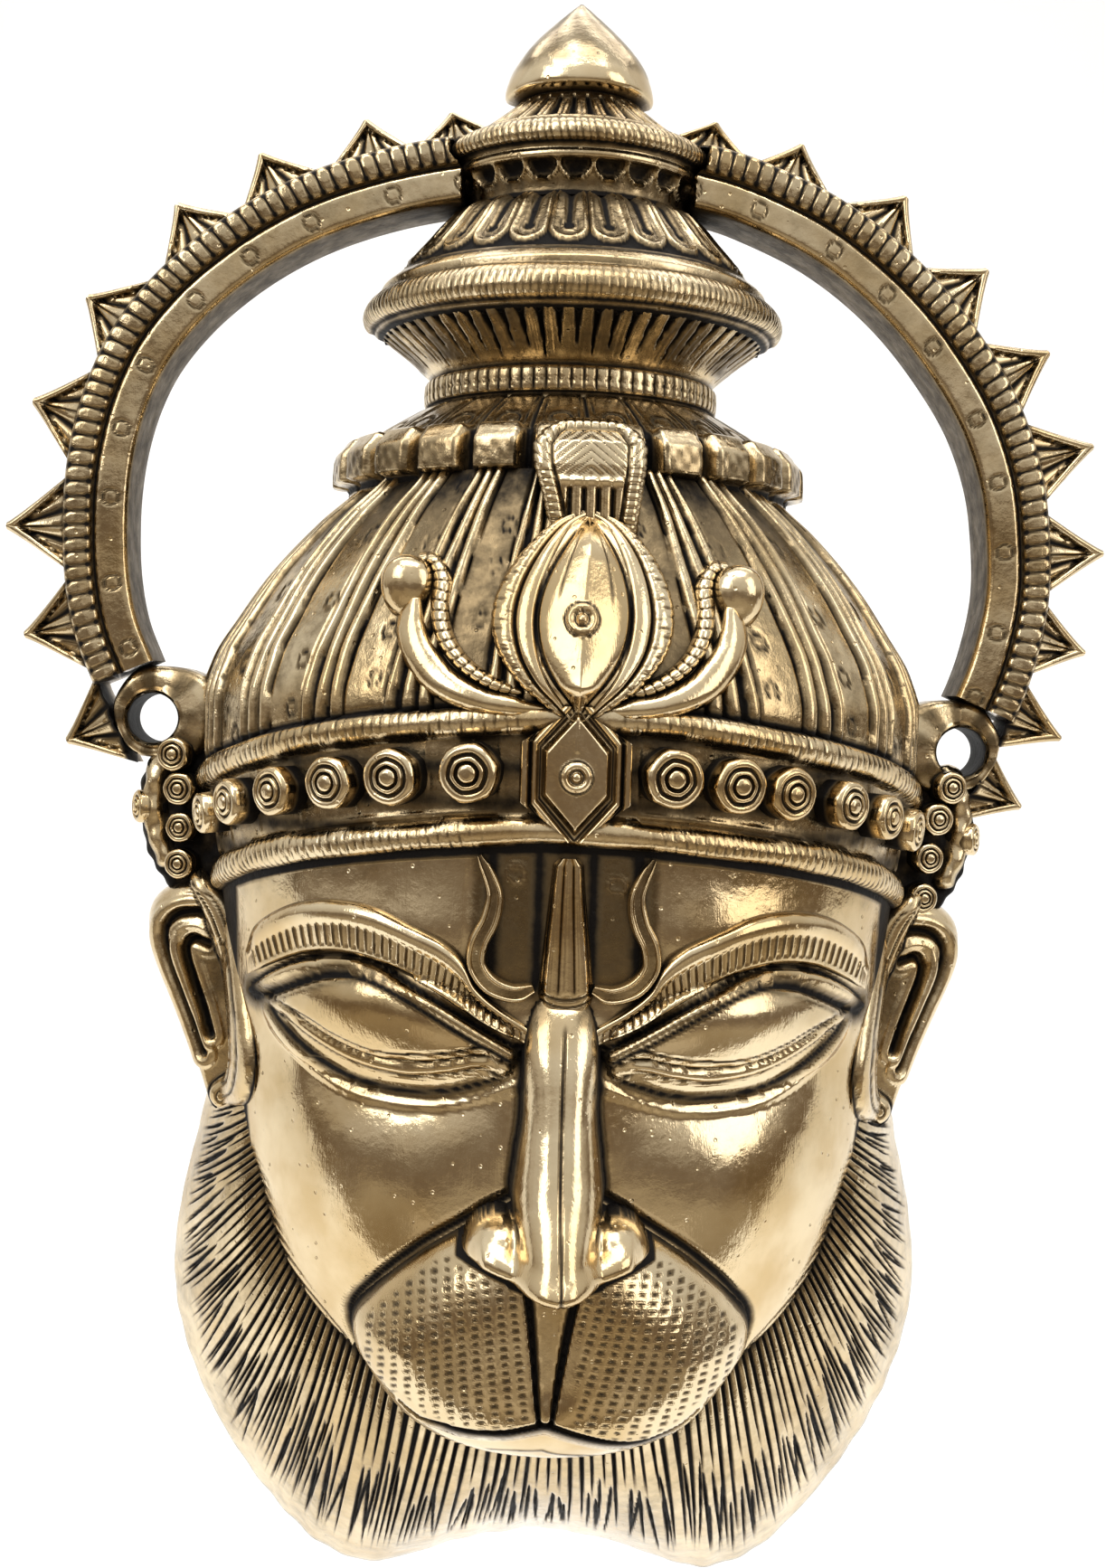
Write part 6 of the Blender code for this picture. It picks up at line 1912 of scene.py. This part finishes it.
@dataclass
class Crest:
    """Strap, medallion, scrolls and jewel on the front of the dome and headband."""

    foundry: Foundry
    rope_pitch: float = 1.45

    def ring_dot(self, x: Grid, z: Grid, spot: tuple[float, float], size: float) -> tuple[Grid, Grid]:
        """A raised ring round a dot, with dark cuts between."""
        away = np.hypot(x - spot[0], z - spot[1])
        rise = 0.7 * hill(away - 1.75 * size, 0.5 * size) + 0.8 * hill(away, 0.8 * size)
        patina_and_shade = 0.9 * np.maximum(notch(away - 1.05 * size, 0.3 * size), notch(away - 2.5 * size, 0.3 * size))
        return rise, patina_and_shade

    def build_medallion(self) -> None:
        """Ticked border, plain ring and a pointed boss that meet above and below."""
        columns, rows = 146, 98
        left = even_line(((1.9, 33.4), (-3.6, 31.2), (-8.8, 26.2), (-12.4, 20.4), (-13.6, 14.8), (-12.2, 9.2),
                          (-8.6, 4.4), (-4.2, 1.2), (-0.6, -1.4)), rows)
        right = even_line(((2.9, 33.4), (8.4, 31.2), (13.2, 26.2), (16.0, 20.4), (16.8, 14.8), (15.2, 9.2),
                           (11.2, 4.4), (6.6, 1.2), (2.6, -1.4)), rows)
        share = np.linspace(0.0, 1.0, columns)[None, :]
        across = left[:, :1] + (right - left)[:, :1] * share
        up = left[:, 1:] + (right - left)[:, 1:] * share
        place = 2 * share - 1 + 0 * across
        reach = np.linspace(0, 1, rows)[:, None] + 0 * across
        ground = head_out(across, up)
        far = np.abs(place)
        dome = 3.2 * np.sqrt(np.clip(1 - far**3, 0, 1)) * (0.55 + 0.45 * ease(reach, 0.0, 0.25)
                                                           * ease(reach, 1.0, 0.8))
        pod = 0.50 * np.clip(1 - (2 * reach - 1.04) ** 2, 0.02, 1) ** 0.62
        boss = 3.4 * np.clip(1 - far / pod, 0, 1) ** 0.55 * ease(reach, 0.0, 0.3) * ease(reach, 1.0, 0.8)
        out = ground + 0.4 + dome + boss
        edge = far > 0.985
        out = np.where(edge, ground - 1.0, out)
        skin = Skin(across, out, up)
        arc = reach * Route(((-3.6, 31.2), (-13.6, 14.8), (-0.6, -1.4))).length * 1.02
        rope = hill(far - 0.885, 0.11, 2.4)
        tick = notch(wave(arc / self.rope_pitch + far * 1.6), 0.2) * (far > 0.77) * ease(reach, 0.12, 0.2)
        ring = hill(far - 0.64, 0.10)
        gap = notch(far - 0.765, 0.035) + notch(far - pod * 1.05, 0.04) + 0.8 * notch(far - 0.54, 0.02)
        gap = gap * ease(reach, 0.1, 0.2)
        rise = 1.0 * rope * (1 - 0.35 * tick) + 0.55 * ring - 0.7 * gap
        patina_and_shade = np.maximum(np.maximum(0.6 * tick * rope, gap), notch(far - 1.0, 0.03))
        cross = notch(far - 0.62 * pod, 0.03) * ease(reach, 0.12, 0.25) * ease(reach, 0.5, 0.4)
        rise, patina_and_shade = rise - 0.3 * cross, np.maximum(patina_and_shade, 0.7 * cross)
        lift, dark = self.ring_dot(across, up, (1.2, 14.9), 1.15)
        skin.chase(rise + lift, np.maximum(patina_and_shade, dark))
        self.close_piece("crest_medallion", skin, ground, Finish.BRIGHT)

    def close_piece(self, name: str, skin: Skin, ground: Grid, finish: Finish) -> None:
        """Closes and dresses a form of the crest over the ground that it stands on."""
        rows, columns = ground.shape
        back = set_back(skin, ground - 2.2, max(6, rows // 9), max(6, columns // 9))
        self.foundry.shell(name, skin, back, finish, 75.0)

    def build_jewel(self) -> None:
        """Six-sided jewel between the ropes: a double frame round a plateau with ring and dot."""
        rows, columns = 92, 84
        level = np.linspace(0.6, -21.8, rows)
        half = np.interp(level, (-21.8, -20.6, -15.4, -5.4, -0.8, 0.6), (1.2, 2.0, 9.4, 9.4, 2.0, 3.2))
        place = np.linspace(-1, 1, columns)[None, :] + np.zeros((rows, 1))
        across = 1.0 + place * half[:, None]
        up = np.broadcast_to(level[:, None], across.shape)
        ground = head_out(across, up)
        hexed = np.maximum(np.abs(across - 1.0) / 9.4,
                           np.abs(across - 1.0) / 9.4 * 0.62 + np.abs(up + 10.4) / 17.4)
        plateau = 2.2 * np.clip((0.60 - hexed) / 0.08, 0, 1)
        frame_out = 1.5 * hill(hexed - 0.92, 0.09) + 1.3 * hill(hexed - 0.74, 0.06)
        out = ground + 2.2 + plateau + frame_out - 1.2 * ease(hexed, 0.97, 1.02)
        out = np.where(np.abs(place) > 0.985, ground - 0.6, out)
        skin = Skin(across, out, up)
        gap = notch(hexed - 0.83, 0.04) + notch(hexed - 0.64, 0.035) + notch(hexed - 1.02, 0.05)
        lift, dark = self.ring_dot(across, up, (1.0, -11.0), 1.1)
        keel = notch(across - 1.0, 0.4) * (np.abs(up + 10.4) > 3.6) * (hexed < 0.55)
        skin.chase(lift + 0.2 * keel, np.maximum(np.clip(gap, 0, 1), dark))
        self.close_piece("crest_jewel", skin, ground, Finish.BRIGHT)

    def build_strap(self) -> None:
        """Strap over the brim: a roped border, a gabled cap and five pleats."""
        rows, columns = 82, 78
        level = np.linspace(50.6, 28.6, rows)
        middle = np.interp(level, (28.6, 36.0, 43.0, 50.6), (3.2, 2.9, 2.3, 2.3))
        half = np.interp(level, (28.6, 33.0, 38.0, 42.0, 45.5, 48.0, 49.8, 50.6),
                         (7.4, 7.7, 8.6, 9.5, 9.6, 8.2, 5.0, 1.6))
        place = np.linspace(-1, 1, columns)[None, :] + np.zeros((rows, 1))
        across = middle[:, None] + place * half[:, None]
        up = np.broadcast_to(level[:, None], across.shape)
        body = np.interp(up, (28.6, 33.0, 38.0, 42.0, 46.0, 49.0, 50.6),
                         (50.6, 51.4, 51.6, 51.8, 51.0, 47.6, 44.0))
        ground = np.maximum(head_out(across, up), np.interp(up, (36, 40, 50.6), (0, 43.0, 38.0)))
        out = body - 0.020 * (across - 2.4) ** 2
        far = np.abs(place)
        dist_edge = np.minimum((1 - far) * half[:, None], (50.6 - up) * 1.4)
        out = np.where(far > 0.98, body - 6.5, out)
        skin = Skin(across, out, up)
        rope = hill(dist_edge - 1.35, 1.3)
        around = np.arctan2(across - 2.4, up - 36.0) * 12.0
        tick = notch(wave(np.where(up > 42.0, around, up * 1.0) / 1.35 + 0.3 * place), 0.2) * (rope > 0.2)
        rise, patina_and_shade = 0.9 * rope - 0.3 * tick, 0.55 * tick
        gap = notch(dist_edge - 2.9, 0.5)
        patina_and_shade, rise = np.maximum(patina_and_shade, 0.9 * gap), rise - 0.5 * gap
        field_inside = ease(dist_edge, 3.0, 3.4)
        cap = ease(up, 39.4, 40.2)
        gable = notch(wave((np.abs(across - 2.4) * 0.8 + (up - 40.0)) / 1.5), 0.2) * cap * field_inside
        eave = notch(up - 39.2, 0.8) * field_inside
        pleats = np.abs(np.cos((across - 2.6) / 2.5 * math.pi)) * (1 - cap) * field_inside
        dark = notch(wave((across - 2.6) / 2.5 + 0.5), 0.24, 0.8) * (1 - cap) * field_inside * ease(up, 38.6,
                                                                                                    37.6)
        rise = rise + 0.3 * eave - 0.25 * gable + 0.4 * pleats - 0.8 * dark
        patina_and_shade = np.maximum(np.maximum(patina_and_shade, 0.5 * gable), dark)
        patina_and_shade = np.maximum(patina_and_shade, notch(far - 1.0, 0.05))
        skin.chase(rise, patina_and_shade)
        self.close_piece("crest_strap", skin, np.minimum(ground, out - 2.0), Finish.BRIGHT)

    def build_scrolls(self) -> None:
        """Side scrolls: a smooth stem, a roped strand inside it, and an egg that the strand hooks over."""
        stem_length, strand_length, rows = 130, 170, 20
        stem = even_line(((4.6, 0.0), (10.0, 0.3), (16.0, 1.5), (21.6, 4.2), (25.6, 8.6), (27.4, 13.4),
                          (27.2, 18.4)), stem_length)
        stem_half = np.interp(np.linspace(0, 1, stem_length), (0, 0.15, 0.6, 0.85, 1.0),
                              (0.8, 2.1, 3.3, 2.9, 1.8))
        strand = even_line(((8.4, 2.6), (13.6, 4.2), (18.6, 7.6), (21.6, 12.0), (22.6, 17.0), (22.4, 21.6),
                            (24.0, 25.0), (26.6, 25.4)), strand_length)
        strand_half = np.interp(np.linspace(0, 1, strand_length), (0, 0.1, 0.5, 0.8, 1.0),
                                (0.6, 1.3, 1.7, 1.9, 1.3))
        parts = []
        for name, line, half, height in (("stem", stem, stem_half, 2.8),
                                         ("strand", strand, strand_half, 3.2)):
            def lift(share: Grid, place: Grid, high: float = height) -> Grid:
                """A round strand that grows out of the medallion's foot."""
                grow = ease(share, 0.0, 0.2) * 0.6 + 0.4
                return high * grow * rounded(place, 2)

            skin, back = strip(line, half, rows, head_out, lift, 0.8)
            place = np.linspace(1, -1, rows)[:, None]
            arc = np.linspace(0, Route(tuple(map(tuple, line[::8]))).length, len(line))[None, :]
            if name == "strand":
                tick = notch(wave(arc / 1.75 + 0.15 * place), 0.17) * (np.abs(place) < 0.85)
                skin.chase(-0.34 * tick, 0.6 * tick)
            skin.chase(0 * place + 0 * arc, notch(np.abs(place) - 1.0, 0.14) + 0 * arc)
            parts += self.foundry.pair(name, skin, back)
        for side in (-1, 1):
            bpy.ops.object.select_all(action="DESELECT")
            bpy.ops.mesh.primitive_uv_sphere_add(segments=40, ring_count=24, radius=1.0, location=(0, 0, 0))
            egg = bpy.context.object
            plain = np.array([v.co for v in egg.data.vertices])
            fat = 1 + 0.12 * plain[:, 2] - 0.10 * np.clip(plain[:, 0] * side, 0, 1)
            x = side * 28.4 + 5.0 * plain[:, 0] * fat
            z = 20.2 + 5.6 * plain[:, 2]
            out = float(head_out(np.array(28.4), np.array(20.2))) + 1.0 - 4.0 * plain[:, 1] * fat
            place_points(egg, x, out, z)
            stain_points(egg, ease(plain[:, 1], -0.25, 0.15))
            parts.append(egg)
        self.foundry.gather("crest_scrolls", parts, Finish.BRIGHT, 70.0)

    def build(self) -> None:
        """Crest from the top down."""
        self.build_strap()
        self.build_medallion()
        self.build_scrolls()
        self.build_jewel()


@dataclass
class Inside:
    """The rough inside of the casting and the flat rim that lies on the wall."""

    foundry: Foundry

    def build(self) -> None:
        """A shell between the hollow and just under the outer skin."""
        rows, columns = 90, 72
        levels = np.linspace(HOLLOW_TOP, HOLLOW_LOW, rows)
        turn = np.linspace(-math.pi / 2, math.pi / 2, columns)[None, :]
        close_in = np.sqrt(np.clip(1 - (1 - ease(levels, HOLLOW_TOP, HOLLOW_TOP - 5.0)) ** 2, 0.0004, 1))
        close_in = close_in * np.sqrt(np.clip(1 - (1 - ease(levels, HOLLOW_LOW, HOLLOW_LOW + 3.0)) ** 2,
                                              0.0004, 1))
        wide = (CASTING.at(levels, 0) - RIM_WALL) * close_in
        deep = (CASTING.at(levels, 1) - WALL) * close_in
        full = CASTING.at(levels, 2)[:, None]
        across = wide[:, None] * np.sin(turn)
        out = deep[:, None] * np.maximum(np.cos(turn), 0.0) ** full
        lumps = 0.35 * np.sin(across * 0.31 + levels[:, None] * 0.17) * np.sin(levels[:, None] * 0.29)
        skin = Skin(across, np.where(out > 1.0, out + lumps, out),
                    np.broadcast_to(levels[:, None], across.shape))
        skin.patina_and_shade = 0.25 + 0.3 * np.abs(lumps)
        stretch = levels + np.interp(levels, (HOLLOW_LOW, HOLLOW_LOW + 20, HOLLOW_TOP - 10, HOLLOW_TOP),
                                     (-1.0, 0, 0, 3.2))
        pick = sparse(rows, 40)
        thin = np.linspace(-math.pi / 2, math.pi / 2, 34)[None, :]
        outer_wide = (CASTING.at(stretch, 0) - 1.0)[pick][:, None]
        outer_deep = (CASTING.at(stretch, 1) - 2.6)[pick][:, None]
        fullness = CASTING.at(stretch, 2)[pick][:, None]
        outer = np.stack([outer_wide * np.sin(thin), -outer_deep * np.maximum(np.cos(thin), 0.0) ** fullness,
                          np.broadcast_to(stretch[pick][:, None], (40, 34))], axis=2)
        self.foundry.shell("cast_inside", skin, outer, Finish.INSIDE, 50.0)


# The stage


@dataclass
class Stage:
    """Plain pale floor and backdrop, soft studio light, and the camera of the photograph."""

    position: tuple[float, float, float] = (-0.0103, -0.360, -0.104)
    yaw: float = -1.45
    pitch: float = -2.36
    roll: float = 1.69
    focal_pixels: float = 1991.0
    frame_pixels: tuple[int, int] = (1223, 1734)
    floor_drop: float = 0.45
    floor_front: float = -0.30
    floor_flat: float = 1.75
    bend_radius: float = 1.2

    def build_camera(self) -> None:
        """The camera, fitted to mirrored points of the mask."""
        yaw, pitch, roll = (math.radians(a) for a in (self.yaw, self.pitch, self.roll))
        right = Vector((math.cos(yaw), math.sin(yaw), 0.0))
        ahead = Vector((-math.sin(yaw) * math.cos(pitch), math.cos(yaw) * math.cos(pitch), math.sin(pitch)))
        up = right.cross(ahead)
        right_turned = right * math.cos(roll) + up * math.sin(roll)
        up_turned = up * math.cos(roll) - right * math.sin(roll)
        data = bpy.data.cameras.new("photo_camera")
        data.sensor_fit = "VERTICAL"
        data.sensor_height = 24.0
        data.lens = self.focal_pixels / self.frame_pixels[1] * data.sensor_height
        data.clip_start, data.clip_end = 0.01, 50.0
        camera = bpy.data.objects.new("photo_camera", data)
        bpy.context.collection.objects.link(camera)
        turned = Matrix((right_turned, up_turned, -ahead)).transposed().to_4x4()
        camera.matrix_world = Matrix.Translation(self.position) @ turned
        bpy.context.scene.camera = camera

    def build_floor(self) -> None:
        """A pale floor that curves up into a backdrop."""
        bpy.ops.object.select_all(action="DESELECT")
        bpy.ops.mesh.primitive_grid_add(x_subdivisions=2, y_subdivisions=60, size=1.0, location=(0, 0, 0))
        floor = bpy.context.object
        floor.name = "studio_floor"
        plain = np.array([v.co for v in floor.data.vertices])
        level = CAD_LOW.z - self.floor_drop
        reach = (plain[:, 1] + 0.5) * 11.0
        radius = self.bend_radius
        angle = np.clip((reach - self.floor_flat) / radius, 0.0, math.pi / 2)
        beyond = np.maximum(reach - self.floor_flat - radius * math.pi / 2, 0.0)
        y = self.floor_front + np.minimum(reach, self.floor_flat) + radius * np.sin(angle)
        z = level + radius * (1 - np.cos(angle)) + beyond
        placed = np.stack([plain[:, 0] * 14.0, y, z], axis=1)
        floor.data.vertices.foreach_set("co", placed.astype(np.float32).ravel())
        bpy.ops.object.shade_smooth()
        paint = bpy.data.materials.new("pale_paper")
        paint.use_nodes = True
        shader = paint.node_tree.nodes["Principled BSDF"]
        grain = paint.node_tree.nodes.new("ShaderNodeTexNoise")
        grain.inputs["Scale"].default_value = 3.0
        tone = paint.node_tree.nodes.new("ShaderNodeMix")
        tone.data_type = "RGBA"
        tone.inputs[6].default_value = (0.93, 0.93, 0.925, 1.0)
        tone.inputs[7].default_value = (0.90, 0.90, 0.895, 1.0)
        paint.node_tree.links.new(grain.outputs["Fac"], tone.inputs[0])
        paint.node_tree.links.new(tone.outputs[2], shader.inputs["Base Color"])
        shader.inputs["Roughness"].default_value = 0.9
        shader.inputs["Emission Color"].default_value = (1.0, 1.0, 0.99, 1.0)
        shader.inputs["Emission Strength"].default_value = 0.2
        floor.data.materials.append(paint)

    def build_lights(self) -> None:
        """Large soft panels of studio light."""
        for name, spot, size, power, colour in (
            ("left_panel", (-0.75, -0.75, 0.62), (0.7, 0.9), 5.0, (1.0, 0.985, 0.95)),
            ("right_panel", (0.85, -0.60, 0.30), (0.5, 0.9), 2.6, (1.0, 0.97, 0.92)),
            ("top_panel", (0.0, -0.35, 1.05), (1.1, 0.6), 6.0, (1.0, 1.0, 0.98)),
            ("low_panel", (0.0, -0.85, -0.80), (1.2, 0.35), 0.25, (1.0, 0.93, 0.80)),
            ("backdrop_light", (0.0, 0.9, 1.6), (2.6, 1.0), 16.0, (1.0, 1.0, 1.0)),
        ):
            data = bpy.data.lights.new(name, "AREA")
            data.shape = "RECTANGLE"
            data.size, data.size_y = size
            data.energy = power
            data.color = colour
            lamp = bpy.data.objects.new(name, data)
            bpy.context.collection.objects.link(lamp)
            target = Vector((0.0, 1.6, -0.1)) if name == "backdrop_light" else Vector((0.0, -0.03, -0.12))
            way = target - Vector(spot)
            lamp.matrix_world = Matrix.Translation(spot) @ way.to_track_quat("-Z", "Y").to_matrix().to_4x4()

    def build_sky(self) -> None:
        """Daylight from above, warmer and darker low down and behind the camera."""
        world = bpy.data.worlds.new("studio_daylight")
        bpy.context.scene.world = world
        world.use_nodes = True
        tree = world.node_tree
        place = tree.nodes.new("ShaderNodeTexCoord").outputs["Generated"]
        parts = tree.nodes.new("ShaderNodeSeparateXYZ")
        tree.links.new(place, parts.inputs["Vector"])
        clouds = Brass.noise(tree, place, 2.3, 3.0, 0.55)
        height = Brass.math(tree, "ADD", parts.outputs["Z"], Brass.math(
            tree, "MULTIPLY", Brass.math(tree, "SUBTRACT", clouds, 0.5), 0.55))
        ramp = tree.nodes.new("ShaderNodeValToRGB")
        stops = ((0.0, (0.26, 0.21, 0.15)), (0.30, (0.42, 0.355, 0.26)), (0.42, (0.20, 0.155, 0.115)),
                 (0.50, (0.24, 0.20, 0.16)), (0.56, (0.52, 0.48, 0.43)), (0.66, (0.66, 0.65, 0.63)),
                 (1.0, (0.95, 0.96, 0.97)))
        while len(ramp.color_ramp.elements) < len(stops):
            ramp.color_ramp.elements.new(0.5)
        for element, (spot, colour) in zip(ramp.color_ramp.elements, stops):
            element.position = spot
            element.color = (*colour, 1.0)
        scaled = Brass.math(tree, "ADD", Brass.math(tree, "MULTIPLY", height, 0.5), 0.5)
        tree.links.new(scaled, ramp.inputs["Fac"])
        shown = tree.nodes.new("ShaderNodeLightPath").outputs["Is Camera Ray"]
        colour = Brass.blend(tree, shown, ramp.outputs["Color"], (0.95, 0.95, 0.95))
        background = tree.nodes["Background"]
        tree.links.new(colour, background.inputs["Color"])
        background.inputs["Strength"].default_value = 1.0

    def build(self) -> None:
        """Camera, floor, lights and sky."""
        bpy.context.scene.view_settings.view_transform = "Standard"
        self.build_camera()
        self.build_floor()
        self.build_lights()
        self.build_sky()


def main() -> None:
    """Builds the mask, its stage, its lights and its camera."""
    logging.basicConfig(level=logging.INFO, format="%(message)s")
    foundry = Foundry()
    Crown(foundry).build()
    Dome(foundry).build()
    Headband(foundry).build()
    Arch(foundry).build()
    Beard(foundry).build()
    Face(foundry).build()
    Ears(foundry).build()
    Crest(foundry).build()
    Inside(foundry).build()
    Stage().build()


if __name__ == "__main__":
    main()
